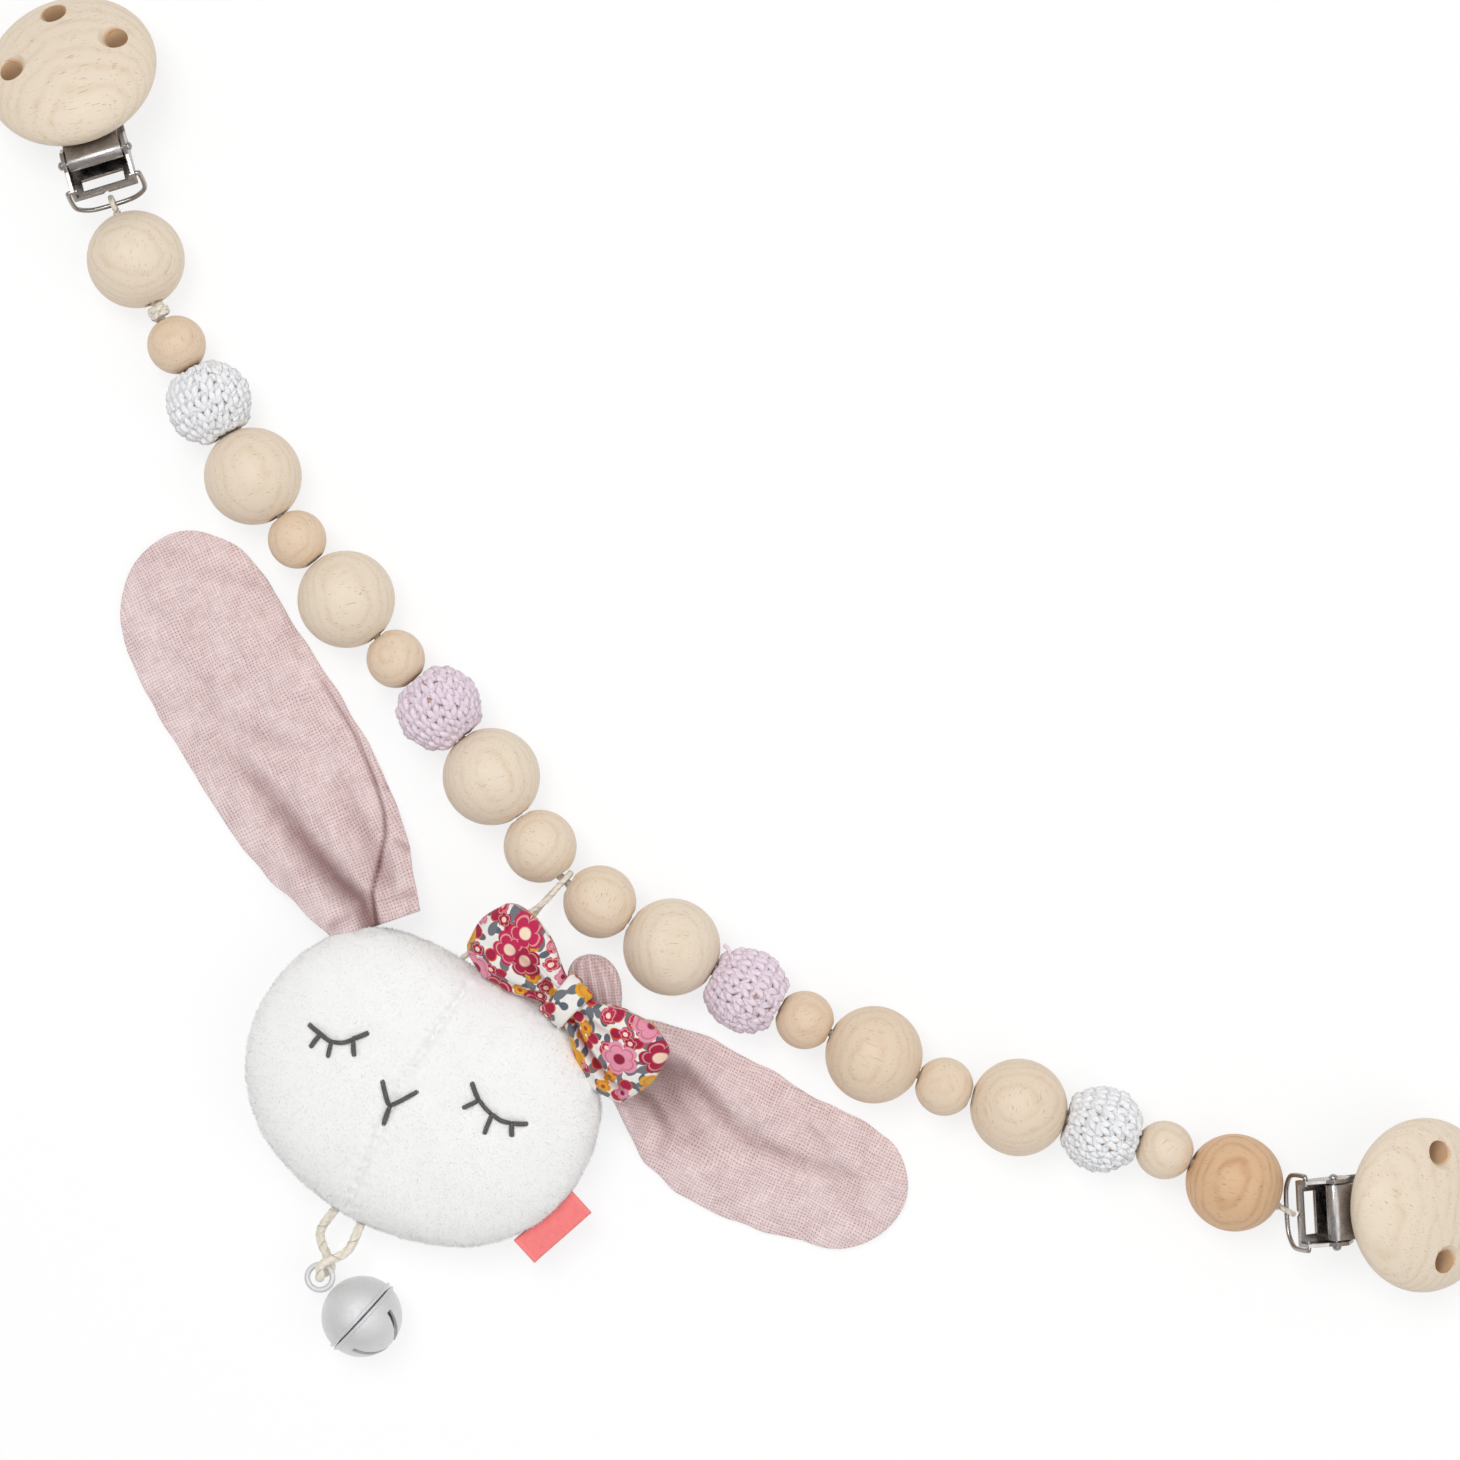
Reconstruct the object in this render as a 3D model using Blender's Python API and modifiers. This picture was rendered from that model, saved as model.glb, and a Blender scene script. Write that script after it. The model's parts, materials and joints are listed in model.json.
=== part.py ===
"""Pram chain toy: wooden and crocheted beads on a cord between two clips, with a hanging bunny and a bell.

It lies on a table as it does when it is laid out flat: X to the right, Y away, Z up, and the large
beads touch the table. The origin is the middle of the bounding box at the table. Units are metres.
Every moving piece hangs under an empty on its joint's axis. An empty's X axis points outwards, away
from the middle of the chain, so a lifting hinge turns about its Y axis.
"""

import math

import bmesh
import bpy
from mathutils import Vector

MM = 0.001

# Beads, which sit end to end on one cord
LARGE_BEAD_RADIUS = 10.0 * MM
MEDIUM_BEAD_RADIUS = 7.5 * MM
SMALL_BEAD_RADIUS = 6.0 * MM
CROCHET_BEAD_RADIUS = 8.75 * MM
CROCHET_WALL = 1.1 * MM
CROCHET_END_RADIUS = 3.7 * MM
CROCHET_END_SPACE = 0.35 * MM
CROCHET_CORE_CLEARANCE = 0.3 * MM
BEAD_HOLE_RADIUS = 1.9 * MM
BEAD_GAP = 0.4 * MM

# Chain cord, with a knot beside the first bead and an eye at each end
CORD_RADIUS = 0.9 * MM
CORD_END_CLEARANCE = 0.16 * MM
KNOT_GAP = 3.6 * MM
KNOT_RADIUS = 2.3 * MM
KNOT_LENGTH = 2.6 * MM
KNOT_WRAP_RADIUS = 0.75 * MM
KNOT_WRAP_OFFSET = 0.45 * MM
KNOT_LUMP_RADIUS = 1.85 * MM
KNOT_LEANS = (14.0, -20.0)
EYE_CORD_RADIUS = 0.6 * MM
EYE_CLEARANCE = 0.45 * MM
EYE_STEM = 0.3 * MM
EYE_STEM_OVERLAP = 0.3 * MM

# Hanger loop, which passes round the chain cord in the middle
HITCH_GAP = 2.6 * MM
HITCH_CORD_RADIUS = 0.65 * MM
HITCH_CLEARANCE = 0.45 * MM
HANGER_LENGTH = 24.2 * MM
HANGER_SIDE = 5.2 * MM
HANGER_DIP = 2.6 * MM
HANGER_NECK = 6.5 * MM
HANGER_SAG_SHARE = 0.4

# Clip: a wooden cap on a steel lever, which turns on a pin in a steel frame
CAP_RADIUS = 17.8 * MM
CAP_HEIGHT = 11.5 * MM
CAP_EDGE_HEIGHT = 3.6 * MM
CAP_UNDERSIDE_RADIUS = 15.2 * MM
CAP_CENTRE_FROM_PIN = 18.6 * MM
CAP_SEAT_CLEARANCE = 0.3 * MM
VENT_RADIUS = 2.2 * MM
VENT_CIRCLE_RADIUS = 11.3 * MM
PIN_RADIUS = 0.6 * MM
PIN_HEAD_RADIUS = 0.95 * MM
PIN_HEAD_LENGTH = 0.8 * MM
PIN_HEAD_CLEARANCE = 0.25 * MM
PIN_HOLE_CLEARANCE = 0.2 * MM
SHEET_THICKNESS = 0.8 * MM
FRAME_INNER_WIDTH = 12.0 * MM
FRAME_FLOOR_DEPTH = 4.9 * MM
FRAME_JAW_REACH = 27.0 * MM
FRAME_TAIL_REACH = 6.0 * MM
FRAME_EAR_REACH = 5.5 * MM
FRAME_EAR_TOP = 1.7 * MM
FRAME_TAIL_TOP_DEPTH = 1.5 * MM
FRAME_WINDOW_WIDTH = 8.8 * MM
FRAME_WINDOW_START = 1.7 * MM
CROSSBAR_WIDTH = 1.5 * MM
CROSSBAR_NOTCH = 0.5 * MM
CROSSBAR_NOTCH_WIDTH = 1.2 * MM
SHEET_OVERLAP = 0.15 * MM
LEVER_SIDE_CLEARANCE = 0.35 * MM
LEVER_CURL_CLEARANCE = 0.3 * MM
LEVER_REACH = 30.0 * MM
LEVER_DIMPLE_RADIUS = 0.55 * MM
LEVER_DIMPLE_PITCH = 3.0 * MM
LEVER_DIMPLE_FROM_PIN = 3.6 * MM
PAD_START = 9.5 * MM
PAD_THICKNESS = 1.4 * MM
PAD_TOOTH_HEIGHT = 0.6 * MM
PAD_TOOTH_PITCH = 2.2 * MM
PAD_SIDE_INSET = 0.7 * MM
PAD_SEAT_CLEARANCE = 0.3 * MM
TONGUE_START = 3.0 * MM
TONGUE_THICKNESS = 0.6 * MM
TONGUE_TIP_DROP = 0.5 * MM
TONGUE_SIDE_CLEARANCE = 0.8 * MM
TONGUE_LEVER_GAP = 0.7 * MM
TONGUE_FOOT_CLEARANCE = 0.3 * MM
WIRE_RADIUS = 0.5 * MM
WIRE_HOLE_CLEARANCE = 0.2 * MM
WIRE_HOLE_FROM_TAIL = 1.0 * MM
WIRE_HOLE_DEPTH = 2.8 * MM
WIRE_LOOP_LENGTH = 8.4 * MM
WIRE_BAR_LENGTH = 5.0 * MM
WIRE_SIDE_CLEARANCE = 0.3 * MM
WIRE_END_INSIDE = 0.5 * MM

# Bunny's head, seen from above: half of its width, and shares of it every 15 degrees from the top seam
HEAD_HALF_WIDTH = 37.3 * MM
HEAD_THICKNESS = 25.0 * MM
HEAD_SEAM_HEIGHT = 12.0 * MM
HEAD_OUTLINE_SHARES = (0.68, 0.71, 0.79, 0.89, 0.955, 0.985, 0.998, 1.0, 0.975, 0.935, 0.88, 0.845, 0.84)
HEAD_SWELL_SHARE = 0.85

# Ears: two layers of muslin, with rows of half widths from the base to the tip
EAR_THICKNESS = 2.4 * MM
EAR_HALF_WIDTH = 17.8 * MM
EAR_SEAM_CLEARANCE = 0.45 * MM
EAR_HINGE_FROM_BASE = 2.0 * MM
EAR_BASE_HEIGHT = 11.3 * MM
EAR_FOLD_HEIGHT = 1.5 * MM
EAR_TABLE_CLEARANCE = 0.15 * MM
LEFT_EAR_LENGTH = 92.0 * MM
RIGHT_EAR_LENGTH = 72.5 * MM
EAR_ROW_SHARES = (0.0, 0.08, 0.17, 0.28, 0.4, 0.52, 0.65, 0.78, 0.88, 0.95, 1.0)
LEFT_EAR_OUTER_SHARES = (0.5, 0.7, 0.92, 1.09, 1.18, 1.23, 1.3, 1.31, 1.18, 0.92, 0.44)
LEFT_EAR_INNER_SHARES = (0.48, 0.54, 0.6, 0.64, 0.64, 0.62, 0.58, 0.55, 0.44, 0.2, -0.14)
RIGHT_EAR_INNER_SHARES = (0.42, 0.42, 0.46, 0.5, 0.5, 0.46, 0.4, 0.4, 0.36, 0.2, -0.14)
RIGHT_EAR_OUTER_SHARES = (0.42, 0.55, 0.86, 1.16, 1.29, 1.32, 1.28, 1.18, 1.0, 0.78, 0.46)
EAR_ACROSS_SHARES = (-1.0, -0.82, -0.5, -0.17, 0.17, 0.5, 0.82, 1.0)
EAR_BEND_SHARE = 0.3
EAR_DROP_SHARE = 0.26
EAR_GATHER_SHARE = 0.55
EAR_FOLD_START_SHARE = 0.17
EAR_FOLD_TURN = 250.0

# Bow: one pinched piece with a wrap round its middle
BOW_HALF_LENGTH = 24.0 * MM
BOW_HALF_WIDTH = 9.0 * MM
BOW_HALF_THICKNESS = 4.6 * MM
BOW_HEIGHT = 19.5 * MM
BOW_FROM_SEAM = 4.2 * MM
BOW_LENGTH_SHARES = (-1.0, -0.9, -0.66, -0.4, -0.17, 0.0, 0.17, 0.4, 0.66, 0.9, 1.0)
BOW_WIDTH_SHARES = (0.5, 0.84, 0.98, 0.78, 0.42, 0.34, 0.44, 0.84, 1.08, 0.98, 0.6)
BOW_THICKNESS_SHARES = (0.25, 0.66, 0.98, 0.9, 0.6, 0.52, 0.6, 0.92, 1.0, 0.7, 0.28)
BOW_PLEAT_SHARE = 0.07
BOW_END_SHARE = 0.5
WRAP_WIDTH = 6.4 * MM
WRAP_THICKNESS = 1.0 * MM
WRAP_CLEARANCE = 0.3 * MM

# Tag: a folded ribbon in the seam
TAG_WIDTH = 15.6 * MM
TAG_REACH = 6.4 * MM
TAG_THICKNESS = 1.2 * MM
TAG_SEAM_CLEARANCE = -0.7 * MM

# Bell: two steel halves with a ring, a ball inside and a cord loop that holds it
BELL_RADIUS = 8.3 * MM
BELL_WALL = 0.7 * MM
BELL_HALVES_CLEARANCE = 0.3 * MM
BELL_LIP = 0.45 * MM
BELL_LIP_HEIGHT = 0.7 * MM
BELL_SLOT_WIDTH = 1.3 * MM
BELL_SLOT_DEPTH = 5.2 * MM
BELL_RING_HOLE_RADIUS = 2.0 * MM
BELL_RING_WIRE_RADIUS = 0.6 * MM
BELL_RING_CLEARANCE = 0.3 * MM
CLAPPER_RADIUS = 2.6 * MM
CLAPPER_CLEARANCE = 0.4 * MM
BELL_CORD_RADIUS = 1.0 * MM
BELL_DROP = 14.2 * MM
BELL_SIDE = 1.7 * MM
BELL_CORD_DROP_SHARES = (0.45, 0.8, 0.96)
BELL_CORD_SPREAD_SHARE = 1.1
BELL_CORD_RISE_SHARE = 0.65
SEAM_CLEARANCE = 0.35 * MM

# Angles in degrees. Headings are measured from the X axis, seen from above
HEAD_HEADING = 61.5
HITCH_LEFT_HEADING = 125.0
HITCH_RIGHT_HEADING = -31.0
LEFT_CLIP_HEADING = 107.0
RIGHT_CLIP_HEADING = 3.0
LEFT_LOOP_SLOPE = 65.0
RIGHT_LOOP_SLOPE = 68.0
HANGER_HEADING = 227.0
LEFT_EAR_HEAD_ANGLE = -45.0
LEFT_EAR_BASE_HEADING = 109.0
LEFT_EAR_HEADING = 117.0
RIGHT_EAR_HEAD_ANGLE = 52.0
RIGHT_EAR_BASE_HEADING = 6.0
RIGHT_EAR_HEADING = -25.5
BOW_HEAD_ANGLE = 31.0
BOW_HEADING = -44.0
BOW_TILT = 24.0
TAG_HEAD_ANGLE = 110.0
TAG_DROOP = 8.0
CAP_TURN = 4.0
HANGER_HEAD_ANGLES = (-12.0, 2.0)
BELL_HEAD_ANGLES = (176.0, -173.0)
BELL_HEADING = -43.0
BELL_SLOT_TURN = 45.0
QUARTER_TURN = 90.0
HALF_TURN = 180.0
SHARP_TURN = 35.0

# Faces on round pieces
ROUND_STEPS = 16
TUBE_STEPS = 8
KNOT_TUBE_STEPS = 6
BEAD_ARC_STEPS = 8
SMALL_ARC_STEPS = 6
CORE_STEPS = 12
CAP_STEPS = 24
THIN_STEPS = 12
CAP_ARC_STEPS = 5
PIN_ARC_STEPS = 3
BELL_ARC_STEPS = 5
BELL_ARC_TURN = 15.0
CURL_STEPS = 10
CURL_STEP_TURN = 21.0
HEAD_CAGE_STEPS = 20
HEAD_CAGE_LEVELS = 8
BOW_CAGE_STEPS = 10
WELD = 0.001 * MM

LARGE = "large"
MEDIUM = "medium"
SMALL = "small"
CROCHET_WHITE = "white crochet"
CROCHET_LILAC = "lilac crochet"
KNOT = "knot"

BEAD_RADII = {
    LARGE: LARGE_BEAD_RADIUS,
    MEDIUM: MEDIUM_BEAD_RADIUS,
    SMALL: SMALL_BEAD_RADIUS,
    CROCHET_WHITE: CROCHET_BEAD_RADIUS,
    CROCHET_LILAC: CROCHET_BEAD_RADIUS,
}

# The two beads on the middle stretch of cord, with their headings
CENTRE_BEADS = ((10, HITCH_LEFT_HEADING), (11, HITCH_RIGHT_HEADING))

# The chain's other stretches of cord, each with its beads and their headings, from the middle outwards
LEFT_STRETCHES = (
    ("cord_09_08", ((9, LARGE, 125.0), (8, CROCHET_LILAC, 131.0))),
    ("cord_07_06", ((7, SMALL, 131.0), (6, LARGE, 129.0))),
    ("cord_05_04", ((5, SMALL, 130.0), (4, LARGE, 122.0))),
    ("cord_03_02", ((3, CROCHET_WHITE, 119.0), (2, SMALL, 120.0))),
    ("cord_01_knotted", ((0, KNOT, 118.0), (1, LARGE, 112.0))),
)
RIGHT_STRETCHES = (
    ("cord_12_13", ((12, LARGE, -33.0), (13, CROCHET_LILAC, -27.0))),
    ("cord_14_16", ((14, SMALL, -26.0), (15, LARGE, -27.0), (16, SMALL, -20.0))),
    ("cord_17_18", ((17, LARGE, -13.0), (18, CROCHET_WHITE, -17.0))),
    ("cord_19_20", ((19, SMALL, -20.0), (20, LARGE, -28.0))),
)

COLOURS = {
    "beech": ((0.78, 0.63, 0.45, 1.0), 0.55, 0.0),
    "steel": ((0.62, 0.61, 0.6, 1.0), 0.28, 1.0),
    "bell_steel": ((0.66, 0.67, 0.7, 1.0), 0.35, 1.0),
    "jaw_plastic": ((0.85, 0.84, 0.8, 1.0), 0.4, 0.0),
    "white_yarn": ((0.87, 0.87, 0.9, 1.0), 0.9, 0.0),
    "lilac_yarn": ((0.73, 0.59, 0.73, 1.0), 0.9, 0.0),
    "cord": ((0.84, 0.79, 0.67, 1.0), 0.85, 0.0),
    "plush": ((0.87, 0.86, 0.84, 1.0), 0.95, 0.0),
    "muslin": ((0.62, 0.45, 0.44, 1.0), 0.9, 0.0),
    "bow_print": ((0.75, 0.62, 0.62, 1.0), 0.8, 0.0),
    "coral_ribbon": ((0.92, 0.24, 0.24, 1.0), 0.6, 0.0),
}


def clear_scene():
    """Remove the startup objects."""
    for obj in list(bpy.data.objects):
        bpy.data.objects.remove(obj, do_unlink=True)


def new_collection(name):
    collection = bpy.data.collections.new(name)
    bpy.context.scene.collection.children.link(collection)
    return collection


def material_for(name):
    """The Principled material of a colour in COLOURS, made once."""
    material = bpy.data.materials.get(name)
    if material is None:
        colour, roughness, metallic = COLOURS[name]
        material = bpy.data.materials.new(name)
        material.use_nodes = True
        shader = material.node_tree.nodes["Principled BSDF"]
        shader.inputs["Base Color"].default_value = colour
        shader.inputs["Roughness"].default_value = roughness
        shader.inputs["Metallic"].default_value = metallic
        material.diffuse_color = colour
    return material


def add_object(name, data, parent, colour=None, collection=None):
    """Link a new object under its parent empty."""
    obj = bpy.data.objects.new(name, data)
    (collection or PARTS).objects.link(obj)
    obj.parent = parent
    if colour:
        data.materials.append(material_for(colour))
    return obj


def add_frame(name, parent, location=(0, 0, 0), rotation_deg=(0, 0, 0)):
    """An empty that carries one body of the toy."""
    frame = add_object(name, None, parent)
    frame.location = location
    frame.rotation_euler = [math.radians(angle) for angle in rotation_deg]
    frame.empty_display_size = LARGE_BEAD_RADIUS
    return frame


def along(heading_deg, length=1.0):
    """A vector of this length in the table's plane."""
    heading = math.radians(heading_deg)
    return Vector((math.cos(heading), math.sin(heading), 0)) * length


def smooth(mesh):
    mesh.shade_smooth()
    mesh.set_sharp_from_angle(angle=math.radians(SHARP_TURN))


def mesh_from_bmesh(name, bm):
    """The mesh, facing out."""
    bmesh.ops.recalc_face_normals(bm, faces=bm.faces)
    if bm.calc_volume(signed=True) < 0:
        bmesh.ops.reverse_faces(bm, faces=bm.faces)
    mesh = bpy.data.meshes.new(name)
    bm.to_mesh(mesh)
    bm.free()
    smooth(mesh)
    return mesh


def turned(name, profile, parent, colour=None, steps=ROUND_STEPS, collection=None):
    """An object turned about its Z axis, from (radius, height) points that run down its outer side.

    A profile that starts away from the axis is closed into a ring.
    """
    edges = [(number, number + 1) for number in range(len(profile) - 1)]
    if profile[0][0] > 0:
        edges.append((len(profile) - 1, 0))
    mesh = bpy.data.meshes.new(name)
    mesh.from_pydata([(radius, 0, height) for radius, height in profile], edges, [])
    obj = add_object(name, mesh, parent, colour, collection)
    screw = obj.modifiers.new("Turn", "SCREW")
    screw.steps = steps
    screw.render_steps = steps
    screw.use_merge_vertices = True
    screw.merge_threshold = WELD
    screw.use_smooth_shade = True
    return obj


def ball(name, radius, steps=ROUND_STEPS):
    bm = bmesh.new()
    bmesh.ops.create_uvsphere(bm, u_segments=steps, v_segments=steps // 2, radius=radius)
    return mesh_from_bmesh(name, bm)


def box(name, low, high):
    """A box between two corners."""
    bm = bmesh.new()
    bmesh.ops.create_cube(bm, size=1.0)
    for vert in bm.verts:
        vert.co = [b if share > 0 else a for a, b, share in zip(low, high, vert.co)]
    return mesh_from_bmesh(name, bm)


def cylinder(name, radius, start, end, steps=THIN_STEPS):
    """A round bar from start to end."""
    start, end = Vector(start), Vector(end)
    bm = bmesh.new()
    bmesh.ops.create_cone(bm, cap_ends=True, segments=steps, radius1=radius, radius2=radius,
                          depth=(end - start).length)
    turn = Vector((0, 0, 1)).rotation_difference(end - start).to_matrix().to_4x4()
    turn.translation = (start + end) / 2
    bmesh.ops.transform(bm, matrix=turn, verts=bm.verts)
    return mesh_from_bmesh(name, bm)


def torus(name, ring_radius, tube_radius, ring_steps=ROUND_STEPS, tube_steps=TUBE_STEPS):
    """A ring about the local Z axis."""
    bpy.ops.mesh.primitive_torus_add(major_radius=ring_radius, minor_radius=tube_radius,
                                     major_segments=ring_steps, minor_segments=tube_steps)
    obj = bpy.context.object
    mesh = obj.data
    mesh.name = name
    bpy.data.objects.remove(obj)
    smooth(mesh)
    return mesh


def tube(name, points, radius, parent, colour, resolution=2):
    """A tube with flat ends through these points, as a curve object."""
    curve = bpy.data.curves.new(name, "CURVE")
    curve.dimensions = "3D"
    curve.bevel_depth = radius
    curve.bevel_resolution = resolution
    curve.use_fill_caps = True
    spline = curve.splines.new("POLY")
    spline.points.add(len(points) - 1)
    for point, co in zip(spline.points, points):
        point.co = (*co, 1)
    return add_object(name, curve, parent, colour)


def as_mesh(obj, collection=None):
    """The object's curve made a mesh with welded caps, in an object of the same name."""
    graph = bpy.context.evaluated_depsgraph_get()
    mesh = bpy.data.meshes.new_from_object(obj.evaluated_get(graph))
    bm = bmesh.new()
    bm.from_mesh(mesh)
    bmesh.ops.remove_doubles(bm, verts=bm.verts, dist=WELD)
    bmesh.ops.recalc_face_normals(bm, faces=bm.faces)
    bm.to_mesh(mesh)
    bm.free()
    name, parent, matrix = obj.name, obj.parent, obj.matrix_basis.copy()
    bpy.data.objects.remove(obj, do_unlink=True)
    made = add_tool(name, mesh, parent) if collection else add_object(name, mesh, parent)
    made.matrix_basis = matrix
    return made


def smooth_route(points, steps=4):
    """Points along a smooth curve through the route's own points."""
    points = [Vector(point) for point in points]
    padded = [2 * points[0] - points[1], *points, 2 * points[-1] - points[-2]]
    found = []
    for before, start, end, after in zip(padded, padded[1:], padded[2:], padded[3:]):
        for step in range(steps):
            t = step / steps
            found.append(0.5 * (2 * start + (end - before) * t
                                + (2 * before - 5 * start + 4 * end - after) * t ** 2
                                + (3 * start - before - 3 * end + after) * t ** 3))
    return found + [points[-1]]


def add_tool(name, data, parent, location=(0, 0, 0), rotation_deg=(0, 0, 0)):
    """A helper for a Boolean, which isn't one of the toy's pieces."""
    tool = add_object(name, data, parent, None, CUTTERS)
    tool.location = location
    tool.rotation_euler = [math.radians(angle) for angle in rotation_deg]
    tool.hide_render = True
    tool.display_type = "WIRE"
    return tool


def combine(obj, tools, operation):
    """Union tools into an object, or cut them from it."""
    for tool in tools:
        modifier = obj.modifiers.new(tool.name, "BOOLEAN")
        modifier.operation = operation
        modifier.object = tool


def bead_profile(radius, hole_radius, arc_steps):
    """A ball with a hole through it along Z, as (radius, height) points down its outer side."""
    first = math.asin(hole_radius / radius)
    sweep = math.pi - 2 * first
    angles = [first + sweep * step / arc_steps for step in range(arc_steps + 1)]
    return [(radius * math.sin(angle), radius * math.cos(angle)) for angle in angles]


def bead_half_length(radius):
    """From the bead's centre to the rim of its hole."""
    return math.sqrt(radius ** 2 - BEAD_HOLE_RADIUS ** 2)


def crochet_core_radius():
    return CROCHET_BEAD_RADIUS - CROCHET_WALL - CROCHET_CORE_CLEARANCE


def add_crochet_bead(name, parent, colour):
    """A crocheted jacket over a wooden ball, both open along the cord."""
    outer = bead_profile(CROCHET_BEAD_RADIUS, CROCHET_END_RADIUS, BEAD_ARC_STEPS)
    inner = bead_profile(CROCHET_BEAD_RADIUS - CROCHET_WALL, CROCHET_END_RADIUS, SMALL_ARC_STEPS)
    core = bead_profile(crochet_core_radius(), BEAD_HOLE_RADIUS, SMALL_ARC_STEPS)
    for layer, profile, layer_colour, steps in (
        ("cover", outer + inner[::-1], colour, ROUND_STEPS), ("core", core, "beech", CORE_STEPS),
    ):
        turned(f"{name}_{layer}", profile, parent, layer_colour, steps).rotation_euler = (0, math.pi / 2, 0)


def add_bead(number, kind, stretch, centre, heading_deg):
    """A bead on its own empty, whose X axis is the cord that it spins on."""
    name = f"bead_{number:02d}_{kind.split()[0]}"
    spin = add_frame(f"{name}_spin", stretch, centre, (0, 0, heading_deg))
    if kind in (CROCHET_WHITE, CROCHET_LILAC):
        add_crochet_bead(name, spin, "white_yarn" if kind == CROCHET_WHITE else "lilac_yarn")
        return
    arc_steps = BEAD_ARC_STEPS if kind == LARGE else SMALL_ARC_STEPS
    profile = bead_profile(BEAD_RADII[kind], BEAD_HOLE_RADIUS, arc_steps)
    turned(name, profile, spin, "beech").rotation_euler = (0, math.pi / 2, 0)


def half_length_of(kind):
    """From a bead's centre to its end on the cord. A neighbour sits a little way into a jacket's open end."""
    if kind == KNOT:
        return KNOT_GAP / 2
    if kind in (CROCHET_WHITE, CROCHET_LILAC):
        return bead_half_length(crochet_core_radius()) + CROCHET_END_SPACE
    return bead_half_length(BEAD_RADII[kind])


def add_stretch(name, parent, start, parent_heading, beads, tail):
    """One stretch of the chain: a cord with its beads, whose end runs on by its tail.

    Returns the stretch's empty, and its far end and turn there.
    """
    heading = beads[0][2]
    stretch = add_frame(f"{name}_bend", parent, start, (0, 0, heading - parent_heading))
    place = Vector((0, 0, 0))
    route = [along(0, CORD_END_CLEARANCE)]
    for number, kind, bead_heading in beads:
        turn = bead_heading - heading
        gap = 0 if kind == KNOT else BEAD_GAP
        centre = place + along(turn, gap / 2 + half_length_of(kind))
        place = centre + along(turn, gap / 2 + half_length_of(kind))
        route += [centre, place]
        if kind != KNOT:
            add_bead(number, kind, stretch, centre, turn)
        else:
            knot_place, knot_turn = centre, turn
    last_turn = beads[-1][2] - heading
    route[-1] = place + along(last_turn, tail)
    cord = tube(name, route, CORD_RADIUS, stretch, "cord")
    if beads[0][1] == KNOT:
        add_knot(cord, knot_place, knot_turn)
    return stretch, place, last_turn


def add_knot(cord, place, turn_deg):
    """Thicken the cord into its knot: a lump with two turns of cord round it."""
    cord = as_mesh(cord)
    lump = ball(f"{cord.name}_lump", KNOT_LENGTH / 2, THIN_STEPS)
    for vert in lump.vertices:
        vert.co.y *= KNOT_LUMP_RADIUS / KNOT_LENGTH * 2
        vert.co.z *= KNOT_LUMP_RADIUS / KNOT_LENGTH * 2
    wrap = torus(f"{cord.name}_wrap", KNOT_RADIUS - KNOT_WRAP_RADIUS, KNOT_WRAP_RADIUS,
                 THIN_STEPS, KNOT_TUBE_STEPS)
    tools = [add_tool(lump.name, lump, cord.parent, place, (0, 0, turn_deg))]
    for side, lean in zip((-1, 1), KNOT_LEANS):
        where = place + along(turn_deg, side * KNOT_WRAP_OFFSET)
        tools.append(add_tool(f"{wrap.name}_{side}", wrap, cord.parent, where, (lean, QUARTER_TURN, turn_deg)))
    combine(cord, tools, "UNION")


def add_end_eye(cord_name, stretch, end, turn_deg):
    """An eye at the end of the chain cord, round the bar of the clip's wire loop. Returns the bar's place."""
    cord = as_mesh(bpy.data.objects[cord_name])
    ring_radius = WIRE_RADIUS + EYE_CLEARANCE + EYE_CORD_RADIUS
    bar = end + along(turn_deg, EYE_STEM - EYE_STEM_OVERLAP + EYE_CORD_RADIUS + ring_radius)
    ring = torus(f"{cord_name}_eye", ring_radius, EYE_CORD_RADIUS)
    combine(cord, [add_tool(ring.name, ring, stretch, bar, (QUARTER_TURN, 0, turn_deg))], "UNION")
    return bar


def add_centre():
    """The middle stretch of cord, with a bead on each side of the hanger's hitch. It carries all the rest."""
    centre = add_frame("chain_centre", TOY, (0, 0, LARGE_BEAD_RADIUS))
    ends = []
    for number, heading in CENTRE_BEADS:
        reach = HITCH_GAP / 2 + bead_half_length(MEDIUM_BEAD_RADIUS)
        add_bead(number, MEDIUM, centre, along(heading, reach), heading)
        ends.append(along(heading, reach + bead_half_length(MEDIUM_BEAD_RADIUS) + BEAD_GAP / 2))
    left, right = (
        end - along(heading, CORD_END_CLEARANCE) for end, (_, heading) in zip(ends, CENTRE_BEADS)
    )
    tube("cord_10_11", [left, along(0, 0), right], CORD_RADIUS, centre, "cord")
    return centre, ends


def add_chain_half(centre, end, stretches, side):
    """Add one side's stretches, end to end, and its clip."""
    parent, place, parent_heading = centre, end, 0.0
    for name, beads in stretches:
        tail = EYE_STEM if name == stretches[-1][0] else -CORD_END_CLEARANCE
        stretch, place, turn = add_stretch(name, parent, place, parent_heading, beads, tail)
        parent, parent_heading = stretch, beads[0][2]
    bar = add_end_eye(name, parent, place, turn)
    clip_heading, slope = ((LEFT_CLIP_HEADING, LEFT_LOOP_SLOPE) if side == "left"
                           else (RIGHT_CLIP_HEADING, RIGHT_LOOP_SLOPE))
    add_clip(side, parent, bar, clip_heading - parent_heading, slope)


def clip_pitch(slope_deg):
    """How far the clip's nose points down, so that its jaw's tip rests on the table."""
    tail_height = LARGE_BEAD_RADIUS + WIRE_LOOP_LENGTH * math.sin(math.radians(slope_deg))
    reach = FRAME_JAW_REACH + wire_hole_reach()
    drop = FRAME_FLOOR_DEPTH - WIRE_HOLE_DEPTH
    return math.degrees(math.asin(tail_height / math.hypot(reach, drop)) - math.atan2(drop, reach))


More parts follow.
